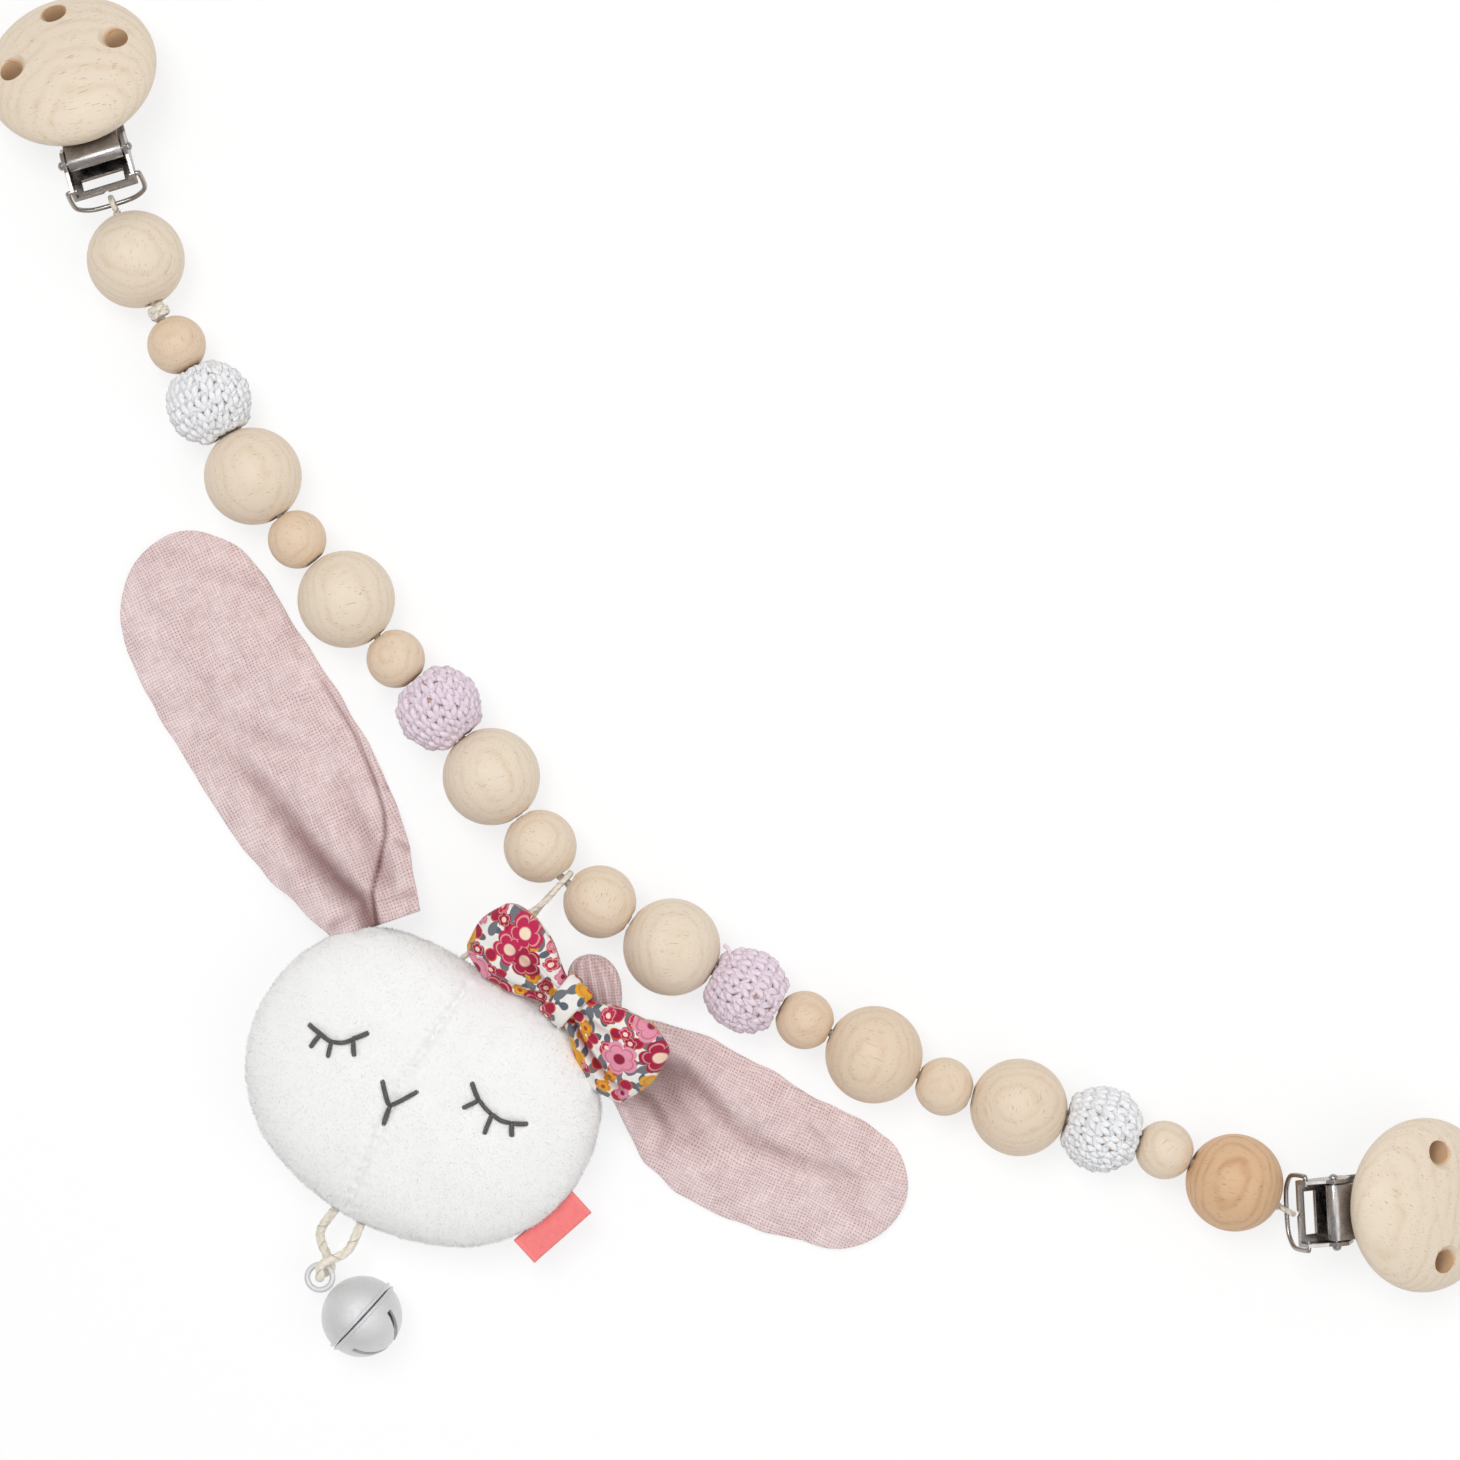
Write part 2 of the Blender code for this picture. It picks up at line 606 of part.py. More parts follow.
def wire_hole_reach():
    return FRAME_TAIL_REACH - WIRE_HOLE_FROM_TAIL


def add_clip(side, parent, bar, heading_deg, slope_deg):
    """One clip: a wire loop on the cord's eye, a frame on the loop, and a lever and a tongue on the frame."""
    name = f"clip_{side}"
    loop = add_frame(f"{name}_loop_swing", parent, bar, (0, -slope_deg, heading_deg))
    add_wire_loop(name, loop)
    pitch = clip_pitch(slope_deg)
    frame = add_frame(f"{name}_frame_swing", loop, (WIRE_LOOP_LENGTH, 0, 0), (0, slope_deg + pitch, 0))
    pin_place = (wire_hole_reach(), 0, WIRE_HOLE_DEPTH)
    body = add_frame(f"{name}_body", frame, pin_place)
    add_frame_plate(name, body)
    add_pin(name, body)
    add_jaw_pad(name, body)
    lever = add_frame(f"{name}_lever_open", body)
    add_lever(name, lever)
    add_cap(name, lever)
    foot_height = -FRAME_FLOOR_DEPTH + SHEET_THICKNESS + TONGUE_FOOT_CLEARANCE
    tongue = add_frame(f"{name}_tongue_lift", body, (TONGUE_START, 0, foot_height))
    add_tongue(name, tongue, foot_height)


def add_wire_loop(name, parent):
    """A spring steel wire with its bar at the origin and its ends in the frame's ears."""
    ear_face = FRAME_INNER_WIDTH / 2 + SHEET_THICKNESS
    outside = ear_face + WIRE_SIDE_CLEARANCE + WIRE_RADIUS
    bar_end = WIRE_BAR_LENGTH / 2
    half = [
        (WIRE_LOOP_LENGTH, FRAME_INNER_WIDTH / 2 - WIRE_END_INSIDE, 0),
        (WIRE_LOOP_LENGTH, ear_face, 0),
        (WIRE_LOOP_LENGTH, outside - WIRE_RADIUS / 2, 0),
        (WIRE_LOOP_LENGTH - WIRE_RADIUS, outside, 0),
        (WIRE_LOOP_LENGTH / 2, outside, 0),
        (WIRE_LOOP_LENGTH / 4, outside - WIRE_RADIUS, 0),
        (WIRE_RADIUS, (outside + bar_end) / 2, 0),
        (0, bar_end, 0),
    ]
    points = half + [(x, -y, z) for x, y, z in reversed(half)]
    tube(f"{name}_wire_loop", points, WIRE_RADIUS, parent, "steel")


def flat_plate(name, outline, holes, thickness):
    """A flat plate in the XY plane, cut from an outline with holes, centred on its thickness."""
    curve = bpy.data.curves.new(name, "CURVE")
    curve.dimensions = "2D"
    curve.fill_mode = "BOTH"
    curve.extrude = thickness / 2
    for points in (outline, *holes):
        spline = curve.splines.new("POLY")
        spline.points.add(len(points) - 1)
        for point, (x, y) in zip(spline.points, points):
            point.co = (x, y, 0, 1)
        spline.use_cyclic_u = True
    return curve


def add_frame_plate(name, parent):
    """The stamped frame: a floor with a window and a notched crossbar, and an upright ear on each side."""
    half = FRAME_INNER_WIDTH / 2 + SHEET_THICKNESS - SHEET_OVERLAP
    window = FRAME_WINDOW_WIDTH / 2
    tail = -FRAME_TAIL_REACH
    nose_taper = SHEET_THICKNESS * 2
    outline = [
        (tail, -half), (FRAME_JAW_REACH - nose_taper, -half), (FRAME_JAW_REACH, -half + nose_taper),
        (FRAME_JAW_REACH, half - nose_taper), (FRAME_JAW_REACH - nose_taper, half), (tail, half),
        (tail, CROSSBAR_NOTCH_WIDTH / 2), (tail + CROSSBAR_NOTCH, 0), (tail, -CROSSBAR_NOTCH_WIDTH / 2),
    ]
    hole = [(tail + CROSSBAR_WIDTH, -window), (tail + CROSSBAR_WIDTH, window),
            (-FRAME_WINDOW_START, window), (-FRAME_WINDOW_START, -window)]
    floor = add_object(f"{name}_frame", flat_plate(f"{name}_frame", outline, [hole], SHEET_THICKNESS),
                       parent, "steel")
    floor.location = (0, 0, -FRAME_FLOOR_DEPTH + SHEET_THICKNESS / 2)
    floor = as_mesh(floor)
    ear_foot = -FRAME_FLOOR_DEPTH + SHEET_OVERLAP
    side_outline = [
        (tail, ear_foot), (FRAME_EAR_REACH, ear_foot), (FRAME_EAR_REACH, -FRAME_TAIL_TOP_DEPTH),
        (PIN_HEAD_RADIUS * 2, FRAME_EAR_TOP), (-PIN_HEAD_RADIUS, FRAME_EAR_TOP),
        (-PIN_HEAD_RADIUS * 2, 0), (tail, -FRAME_TAIL_TOP_DEPTH),
    ]
    pin_hole = cylinder(f"{name}_pin_bore", PIN_RADIUS + PIN_HOLE_CLEARANCE,
                        (0, -CAP_RADIUS, 0), (0, CAP_RADIUS, 0))
    wire_place = (-wire_hole_reach(), -WIRE_HOLE_DEPTH)
    wire_hole = cylinder(f"{name}_wire_bore", WIRE_RADIUS + WIRE_HOLE_CLEARANCE,
                         (wire_place[0], -CAP_RADIUS, wire_place[1]),
                         (wire_place[0], CAP_RADIUS, wire_place[1]))
    ears = []
    for side, sign in (("left", 1), ("right", -1)):
        place = (0, sign * (FRAME_INNER_WIDTH + SHEET_THICKNESS) / 2, 0)
        plate = flat_plate(f"{name}_ear_{side}", side_outline, [], SHEET_THICKNESS)
        ear = add_object(plate.name, plate, parent)
        ear.location = place
        ear.rotation_euler = (math.pi / 2, 0, 0)
        ears.append(as_mesh(ear, CUTTERS))
    combine(floor, ears, "UNION")
    combine(floor, [add_tool(hole.name, hole, parent) for hole in (pin_hole, wire_hole)], "DIFFERENCE")


def add_pin(name, parent):
    """The pivot pin, with a round head outside each ear."""
    ear_face = FRAME_INNER_WIDTH / 2 + SHEET_THICKNESS
    head_start = ear_face + PIN_HEAD_CLEARANCE
    head_end = head_start + PIN_HEAD_LENGTH
    half = [(0.0, head_end)]
    for step in range(1, PIN_ARC_STEPS + 1):
        angle = math.radians(QUARTER_TURN * step / PIN_ARC_STEPS)
        half.append((PIN_HEAD_RADIUS * math.sin(angle), head_start + PIN_HEAD_LENGTH * math.cos(angle)))
    half.append((PIN_RADIUS, head_start))
    profile = half + [(radius, -height) for radius, height in reversed(half)]
    pin = turned(f"{name}_pivot_pin", profile, parent, "steel", THIN_STEPS)
    pin.rotation_euler = (math.pi / 2, 0, 0)


def strip(name, path, width, thickness, parent, colour):
    """A bent metal strip: a path of (x, z) points swept across Y, made solid on both sides of the path."""
    bm = bmesh.new()
    rows = [[bm.verts.new((x, side * width / 2, z)) for side in (-1, 1)] for x, z in path]
    for row, following in zip(rows, rows[1:]):
        bm.faces.new((row[0], row[1], following[1], following[0]))
    obj = add_object(name, mesh_from_bmesh(name, bm), parent, colour)
    solidify = obj.modifiers.new("Sheet", "SOLIDIFY")
    solidify.thickness = thickness
    solidify.offset = 0
    solidify.use_even_offset = True
    return obj


def lever_plate_height():
    """The middle of the lever's sheet above the pin."""
    return PIN_RADIUS + LEVER_CURL_CLEARANCE + SHEET_THICKNESS / 2


def add_lever(name, parent):
    """The lever's plate, whose end curls round the pin, with three dimples near the cap."""
    curl = lever_plate_height()
    path = [(LEVER_REACH, curl)]
    for step in range(CURL_STEPS + 1):
        angle = math.radians(QUARTER_TURN + CURL_STEP_TURN * step)
        path.append((curl * math.cos(angle), curl * math.sin(angle)))
    width = FRAME_INNER_WIDTH - 2 * LEVER_SIDE_CLEARANCE
    lever = strip(f"{name}_lever", path, width, SHEET_THICKNESS, parent, "steel")
    dimple = ball(f"{name}_dimple", LEVER_DIMPLE_RADIUS, TUBE_STEPS)
    top = curl + SHEET_THICKNESS / 2 + LEVER_DIMPLE_RADIUS / 2
    places = [(LEVER_DIMPLE_FROM_PIN, row * LEVER_DIMPLE_PITCH, top) for row in (-1, 0, 1)]
    tools = [add_tool(f"{dimple.name}_{row}", dimple, parent, place) for row, place in enumerate(places)]
    combine(lever, tools, "DIFFERENCE")


def add_cap(name, parent):
    """The wooden cap on the lever, with a vent on each side and one at the far end."""
    seat = lever_plate_height() + SHEET_THICKNESS / 2 + CAP_SEAT_CLEARANCE
    dome = CAP_HEIGHT - CAP_EDGE_HEIGHT
    profile = [(0.0, CAP_HEIGHT)]
    for step in range(1, CAP_ARC_STEPS + 1):
        angle = math.radians(QUARTER_TURN * step / CAP_ARC_STEPS)
        profile.append((CAP_RADIUS * math.sin(angle), CAP_EDGE_HEIGHT + dome * math.cos(angle)))
    edge = CAP_RADIUS - CAP_UNDERSIDE_RADIUS
    midway = math.sqrt(0.5)
    profile.append((CAP_UNDERSIDE_RADIUS + edge * midway, CAP_EDGE_HEIGHT * (1 - midway)))
    profile += [(CAP_UNDERSIDE_RADIUS, 0.0), (0.0, 0.0)]
    cap = turned(f"{name}_cap", profile, parent, "beech", CAP_STEPS)
    cap.location = (CAP_CENTRE_FROM_PIN, 0, seat)
    cap.rotation_euler = (0, 0, math.radians(CAP_TURN))
    vent = cylinder(f"{name}_vent", VENT_RADIUS, (0, 0, -CAP_HEIGHT), (0, 0, 2 * CAP_HEIGHT))
    combine(cap, [
        add_tool(f"{vent.name}_{place}", vent, parent, cap.location + along(angle, VENT_CIRCLE_RADIUS))
        for place, angle in (("right", -90.0), ("far", 0.0), ("left", 90.0))
    ], "DIFFERENCE")


def add_jaw_pad(name, parent):
    """The plastic pad on the frame's jaw, with a row of teeth across it."""
    bottom = -FRAME_FLOOR_DEPTH + SHEET_THICKNESS + PAD_SEAT_CLEARANCE
    top = bottom + PAD_THICKNESS
    end = FRAME_JAW_REACH - PAD_SIDE_INSET
    profile = [(PAD_START, bottom), (end, bottom), (end, top)]
    place = end
    while place - PAD_TOOTH_PITCH > PAD_START:
        profile += [(place - PAD_TOOTH_PITCH / 2, top + PAD_TOOTH_HEIGHT), (place - PAD_TOOTH_PITCH, top)]
        place -= PAD_TOOTH_PITCH
    profile.append((PAD_START, top))
    width = FRAME_INNER_WIDTH - 2 * PAD_SIDE_INSET
    plate = flat_plate(f"{name}_jaw_pad", profile, [], width)
    pad = add_object(plate.name, plate, parent, "jaw_plastic")
    pad.rotation_euler = (math.pi / 2, 0, 0)


def add_tongue(name, parent, foot_height):
    """The sprung inner jaw between the lever and the pad, with its foot on the frame."""
    level = (lever_plate_height() - SHEET_THICKNESS / 2 - TONGUE_LEVER_GAP - TONGUE_THICKNESS / 2) - foot_height
    reach = FRAME_JAW_REACH - TONGUE_START
    bend = SHEET_THICKNESS * 2
    path = [
        (reach, level - TONGUE_TIP_DROP), (reach - bend, level), (bend, level),
        (bend / 4, level - bend / 2), (0, TONGUE_THICKNESS / 2),
    ]
    width = FRAME_INNER_WIDTH - 2 * TONGUE_SIDE_CLEARANCE
    strip(f"{name}_tongue", path, width, TONGUE_THICKNESS, parent, "steel")


def head_radius(angle_deg):
    """The head's outline from its centre, at an angle from its top seam."""
    place = abs((angle_deg + 180.0) % 360.0 - 180.0) / 180.0 * (len(HEAD_OUTLINE_SHARES) - 1)
    first = min(int(place), len(HEAD_OUTLINE_SHARES) - 2)
    part = place - first
    return HEAD_HALF_WIDTH * (HEAD_OUTLINE_SHARES[first] * (1 - part) + HEAD_OUTLINE_SHARES[first + 1] * part)


def head_point(angle_deg, outside, height):
    """A point near the head's seam. The head's X axis points to its chin."""
    return along(180.0 - angle_deg, head_radius(angle_deg) + outside) + Vector((0, 0, height))


def add_subdivision(obj, levels=1):
    subdivision = obj.modifiers.new("Soft", "SUBSURF")
    subdivision.levels = levels
    subdivision.render_levels = levels


def add_head(parent):
    """The stuffed head: a ball that follows the outline at its seam, and swells over and under it."""
    bm = bmesh.new()
    bmesh.ops.create_uvsphere(bm, u_segments=HEAD_CAGE_STEPS, v_segments=HEAD_CAGE_LEVELS, radius=1.0)
    # A subdivided cage comes out smaller than the cage, so the cage is drawn larger by as much.
    growth = 4 / (3 + math.cos(math.tau / HEAD_CAGE_STEPS))
    for vert in bm.verts:
        unit = vert.co.copy()
        across = math.hypot(unit.x, unit.y)
        angle = HALF_TURN - math.degrees(math.atan2(unit.y, unit.x))
        side = HEAD_THICKNESS - HEAD_SEAM_HEIGHT if unit.z > 0 else HEAD_SEAM_HEIGHT
        vert.co = along(HALF_TURN - angle, head_radius(angle) * growth * across ** HEAD_SWELL_SHARE)
        vert.co.z = math.copysign(side * growth * abs(unit.z) ** HEAD_SWELL_SHARE, unit.z)
    head = add_object("bunny_head", mesh_from_bmesh("bunny_head", bm), parent, "plush")
    add_subdivision(head)


def ear_height(share, across, seam_height):
    """The middle of the ear's cloth above its base: it drops to the table and has folds near its base."""
    table = EAR_THICKNESS / 2 + EAR_TABLE_CLEARANCE - seam_height
    drop = min(1.0, share / EAR_DROP_SHARE)
    eased = drop * drop * (3 - 2 * drop)
    gather = max(0.0, 1 - share / EAR_GATHER_SHARE) ** 2 * min(1.0, share / EAR_FOLD_START_SHARE)
    ridge = math.cos(math.radians(EAR_FOLD_TURN) * across) ** 2
    return table * eased + EAR_FOLD_HEIGHT * gather * ridge


def add_ear(name, parent, length, seam_height, bend_deg, sides):
    """An ear of muslin: a sheet of rows along a line that leaves the head square to its seam."""
    rows, columns = len(EAR_ROW_SHARES) - 1, len(EAR_ACROSS_SHARES) - 1
    spine, last = [Vector((-EAR_HINGE_FROM_BASE, 0, 0))], 0.0
    turns = [bend_deg * (1 - max(0.0, 1 - share / EAR_BEND_SHARE) ** 2) for share in EAR_ROW_SHARES]
    for share, turn in zip(EAR_ROW_SHARES, turns):
        spine.append(spine[-1] + along(turn, (share - last) * length))
        last = share
    bm = bmesh.new()
    bmesh.ops.create_grid(bm, x_segments=rows, y_segments=columns, size=1.0)
    for vert in bm.verts:
        row = round((vert.co.x + 1) / 2 * rows)
        across = EAR_ACROSS_SHARES[round((vert.co.y + 1) / 2 * columns)]
        outer, inner = (EAR_HALF_WIDTH * shares[row] for shares in sides)
        place = (outer - inner) / 2 + across * (outer + inner) / 2
        vert.co = spine[row + 1] + along(turns[row] + 90.0, place)
        vert.co.z = ear_height(EAR_ROW_SHARES[row], across, seam_height)
    ear = add_object(name, mesh_from_bmesh(name, bm), parent, "muslin")
    solidify = ear.modifiers.new("Two layers", "SOLIDIFY")
    solidify.thickness = EAR_THICKNESS
    solidify.offset = 0


def share_at(place, places, shares):
    """The share at a place between those of a table."""
    for start, end, first, last in zip(places, places[1:], shares, shares[1:]):
        if place <= end:
            return first + (last - first) * (place - start) / (end - start)
    return shares[-1]


def add_bow(parent):
    """The bow's pinched piece: a long ball that narrows under the wrap, with pleats near it."""
    levels = 2 * len(BOW_LENGTH_SHARES) - 2
    bm = bmesh.new()
    bmesh.ops.create_uvsphere(bm, u_segments=BOW_CAGE_STEPS, v_segments=levels, radius=1.0)
    for vert in bm.verts:
        place = -math.degrees(math.asin(max(-1.0, min(1.0, vert.co.z)))) / 90.0
        angle = math.atan2(vert.co.y, vert.co.x)
        round_share = min(1.0, math.hypot(vert.co.x, vert.co.y) / BOW_END_SHARE)
        pleat = BOW_PLEAT_SHARE * (1 - abs(place)) * math.cos(BOW_CAGE_STEPS / 2 * angle)
        swell = round_share * (1 + pleat)
        half_width = BOW_HALF_WIDTH * share_at(place, BOW_LENGTH_SHARES, BOW_WIDTH_SHARES)
        half_height = BOW_HALF_THICKNESS * share_at(place, BOW_LENGTH_SHARES, BOW_THICKNESS_SHARES)
        vert.co.x = BOW_HALF_LENGTH * place
        vert.co.y = half_width * math.cos(angle) * swell
        vert.co.z = half_height * math.sin(angle) * swell
    add_object("bow_loops", mesh_from_bmesh("bow_loops", bm), parent, "bow_print")
    beside = len(BOW_LENGTH_SHARES) // 2 + 1
    half_width = BOW_HALF_WIDTH * BOW_WIDTH_SHARES[beside]
    half_thickness = BOW_HALF_THICKNESS * BOW_THICKNESS_SHARES[beside]
    add_wrap(parent, half_width, half_thickness)


def add_wrap(parent, half_width, half_thickness):
    """The band round the bow's middle."""
    grown = WRAP_CLEARANCE + BOW_PLEAT_SHARE * half_width
    bm = bmesh.new()
    bmesh.ops.create_cone(bm, cap_ends=False, segments=ROUND_STEPS, radius1=1.0, radius2=1.0, depth=WRAP_WIDTH)
    for vert in bm.verts:
        vert.co = (vert.co.z, vert.co.x * (half_width + grown), vert.co.y * (half_thickness + grown))
    wrap = add_object("bow_wrap", mesh_from_bmesh("bow_wrap", bm), parent, "bow_print")
    solidify = wrap.modifiers.new("Layer", "SOLIDIFY")
    solidify.thickness = WRAP_THICKNESS
    solidify.offset = 1


def add_tag(head):
    """A folded ribbon that leaves the head's seam."""
    frame = add_frame("tag_frame", head, head_point(TAG_HEAD_ANGLE, TAG_SEAM_CLEARANCE, 0),
                      (0, TAG_DROOP, HALF_TURN - TAG_HEAD_ANGLE))
    low = (0, -TAG_WIDTH / 2, -TAG_THICKNESS / 2)
    high = (TAG_REACH, TAG_WIDTH / 2, TAG_THICKNESS / 2)
    tag = add_object("side_tag", box("side_tag", low, high), frame, "coral_ribbon")
    bevel = tag.modifiers.new("Fold", "BEVEL")
    bevel.width = TAG_THICKNESS / 3
    bevel.segments = 2
    bevel.limit_method = "ANGLE"


def add_hanger(parent, head_place, head_turn_deg):
    """The cord from the head's top round the chain cord and back."""
    wrap = CORD_RADIUS + HITCH_CLEARANCE + HITCH_CORD_RADIUS
    seam = HEAD_SEAM_HEIGHT - LARGE_BEAD_RADIUS
    ends = []
    for angle in HANGER_HEAD_ANGLES:
        local = head_point(angle, SEAM_CLEARANCE, 0)
        turn = math.radians(head_turn_deg)
        x = local.x * math.cos(turn) - local.y * math.sin(turn)
        y = local.x * math.sin(turn) + local.y * math.cos(turn)
        ends.append(Vector((head_place[0] + x, head_place[1] + y, seam)))
    left, right = ends
    dip = Vector((0, 0, HANGER_DIP))
    over = Vector((HANGER_NECK, 0, wrap))
    under = Vector((HANGER_NECK, 0, -wrap))
    route = [
        left, left.lerp(over, HANGER_SAG_SHARE) - dip, over, Vector((wrap, 0, wrap)), Vector((0, 0, wrap)),
        Vector((-wrap, 0, 0)),
        Vector((0, 0, -wrap)), Vector((wrap, 0, -wrap)), under,
        right.lerp(under, HANGER_SAG_SHARE) - dip, right,
    ]
    tube("hanger_loop", smooth_route(route), HITCH_CORD_RADIUS, parent, "cord")


def add_bunny(centre):
    """The bunny on its hanger loop: head, ears, bow, tag and bell."""
    hanger = add_frame("bunny_swing", centre, (0, 0, 0), (0, 0, HANGER_HEADING))
    chin_heading = HEAD_HEADING + HALF_TURN
    turn = chin_heading - HANGER_HEADING
    top = along(turn, HANGER_LENGTH) - along(turn + QUARTER_TURN, HANGER_SIDE)
    centre_place = top + along(turn, head_radius(0.0) + SEAM_CLEARANCE)
    add_hanger(hanger, centre_place, turn)
    nod = add_frame("head_nod", hanger, (top.x, top.y, HEAD_SEAM_HEIGHT - LARGE_BEAD_RADIUS), (0, 0, turn))
    head = add_frame("head_centre", nod, (head_radius(0.0) + SEAM_CLEARANCE, 0, 0))
    add_head(head)
    add_ears(head, chin_heading)
    bow_place = head_point(BOW_HEAD_ANGLE, BOW_FROM_SEAM, BOW_HEIGHT - HEAD_SEAM_HEIGHT)
    bow = add_frame("bow_frame", head, bow_place, (BOW_TILT, 0, BOW_HEADING - chin_heading))
    add_bow(bow)
    add_tag(head)
    add_bell(head, chin_heading)


def add_ears(head, chin_heading):
    """The left ear lies beside the chain, and the right one leaves the head under the bow."""
    outside = EAR_SEAM_CLEARANCE + EAR_HINGE_FROM_BASE
    height = EAR_BASE_HEIGHT - HEAD_SEAM_HEIGHT
    ears = (
        ("left", LEFT_EAR_HEAD_ANGLE, LEFT_EAR_BASE_HEADING, LEFT_EAR_HEADING, LEFT_EAR_LENGTH,
         (LEFT_EAR_OUTER_SHARES, LEFT_EAR_INNER_SHARES)),
        ("right", RIGHT_EAR_HEAD_ANGLE, RIGHT_EAR_BASE_HEADING, RIGHT_EAR_HEADING, RIGHT_EAR_LENGTH,
         (RIGHT_EAR_INNER_SHARES, RIGHT_EAR_OUTER_SHARES)),
    )
    for side, angle, base_heading, heading, length, shares in ears:
        flop = add_frame(f"ear_{side}_flop", head, head_point(angle, outside, height),
                         (0, 0, base_heading - chin_heading))
        add_ear(f"ear_{side}", flop, length, EAR_BASE_HEIGHT, heading - base_heading, shares)


def bell_profile():
    """Half of the bell as a turned profile, with a lip where the halves meet."""
    inner = BELL_RADIUS - BELL_WALL
    start = BELL_HALVES_CLEARANCE / 2
    outer_arc, inner_arc = [], []
    for step in range(BELL_ARC_STEPS + 1):
        angle = math.radians(QUARTER_TURN - BELL_ARC_TURN * step)
        across = math.cos(angle) if step else 0.0
        outer_arc.append((BELL_RADIUS * across, BELL_RADIUS * math.sin(angle)))
        inner_arc.append((inner * across, inner * math.sin(angle)))
    lip = [(BELL_RADIUS + BELL_LIP, start + BELL_LIP_HEIGHT), (BELL_RADIUS + BELL_LIP, start)]
    return outer_arc + lip + [(inner, start)] + inner_arc[::-1]


def add_bell(head, chin_heading):
    """The bell's cord loop, and the bell on it."""
    chin = head_point(HALF_TURN, SEAM_CLEARANCE, 0)
    swing = add_frame("bell_loop_swing", head, chin)
    ring_height = BELL_RADIUS + BELL_LIP - HEAD_SEAM_HEIGHT
    first, second, last = (BELL_DROP * share for share in BELL_CORD_DROP_SHARES)
    ends = [head_point(angle, SEAM_CLEARANCE, 0) - chin for angle in BELL_HEAD_ANGLES]
    cord_high = ring_height + BELL_RING_WIRE_RADIUS + BELL_CORD_RADIUS + SEAM_CLEARANCE
    cord_low = ring_height - BELL_RING_WIRE_RADIUS - BELL_CORD_RADIUS - SEAM_CLEARANCE
    left, right = (end.y * BELL_CORD_SPREAD_SHARE for end in ends)
    route = [
        ends[0], (first, left, cord_high * BELL_CORD_RISE_SHARE), (second, -BELL_SIDE / 2, cord_high),
        (last, 0, cord_high), (BELL_DROP, 0, ring_height), (last, 0, cord_low),
        (second, BELL_SIDE / 2, cord_low), (first, right, cord_low * BELL_CORD_RISE_SHARE), ends[1],
    ]
    tube("bell_loop", smooth_route(route), BELL_CORD_RADIUS, swing, "cord")
    bell = add_frame("bell_swing", swing, (BELL_DROP, 0, ring_height), (0, 0, BELL_HEADING - chin_heading))
    ring_radius = BELL_RING_HOLE_RADIUS + BELL_RING_WIRE_RADIUS
    add_object("bell_ring", torus("bell_ring", ring_radius, BELL_RING_WIRE_RADIUS), bell, "bell_steel")
    reach = ring_radius + BELL_RING_WIRE_RADIUS + BELL_RING_CLEARANCE + BELL_RADIUS
    for name, sign in (("bell_upper_shell", 1), ("bell_lower_shell", -1)):
        shell = turned(name, bell_profile(), bell, "bell_steel")
        shell.location = (reach, 0, 0)
        shell.rotation_euler = (0, -sign * math.pi / 2, 0)
    half = BELL_SLOT_WIDTH / 2
    far = 2 * BELL_RADIUS
    slot = box("bell_slot", (BELL_RADIUS - BELL_SLOT_DEPTH, -far, -half), (far, far, half))
    place = (reach, 0, 0)
    combine(bpy.data.objects["bell_lower_shell"], [
        add_tool(f"{slot.name}_{side}", slot, bell, place, (turn, 0, 0))
        for side, turn in (("left", BELL_SLOT_TURN), ("right", -BELL_SLOT_TURN))
    ], "DIFFERENCE")
    clapper = add_frame("clapper_rattle", bell, (reach, 0, 0))
    rest = BELL_RADIUS - BELL_WALL - CLAPPER_RADIUS - CLAPPER_CLEARANCE
    ball_mesh = ball("bell_clapper", CLAPPER_RADIUS, THIN_STEPS)
    add_object(ball_mesh.name, ball_mesh, clapper, "bell_steel").location = (0, 0, -rest)


def settle_on_origin():
    """Move the toy so that its bounding box is centred over the origin, with its lowest point on the table."""
    bpy.context.view_layer.update()
    graph = bpy.context.evaluated_depsgraph_get()
    corners = []
    for obj in PARTS.objects:
        if obj.type != "EMPTY":
            evaluated = obj.evaluated_get(graph)
            mesh = evaluated.to_mesh()
            corners += [evaluated.matrix_world @ vert.co for vert in mesh.vertices]
            evaluated.to_mesh_clear()
    low = [min(corner[axis] for corner in corners) for axis in range(3)]
    high = [max(corner[axis] for corner in corners) for axis in range(3)]
    TOY.location = (-(low[0] + high[0]) / 2, -(low[1] + high[1]) / 2, -low[2])
    bpy.context.view_layer.update()


clear_scene()
PARTS = new_collection("pram_chain_toy")
CUTTERS = new_collection("cutters")
TOY = add_frame("pram_chain_toy", None)
chain_centre, chain_ends = add_centre()
add_chain_half(chain_centre, chain_ends[0], LEFT_STRETCHES, "left")
add_chain_half(chain_centre, chain_ends[1], RIGHT_STRETCHES, "right")
add_bunny(chain_centre)
settle_on_origin()
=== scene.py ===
"""Looks of a pram chain toy, laid on a table: wooden and crocheted beads on a cord between two sprung
clips, with a stuffed bunny's head and its bell hung from the middle.

Lengths are in metres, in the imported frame: X right, Y up in the picture, Z towards the camera, table at 0.
"""

import json
import logging
import math
from dataclasses import dataclass, field
from enum import Enum
from typing import Any, Iterable, Sequence

import bmesh
import bpy
import numpy as np
from mathutils import Euler, Matrix, Vector

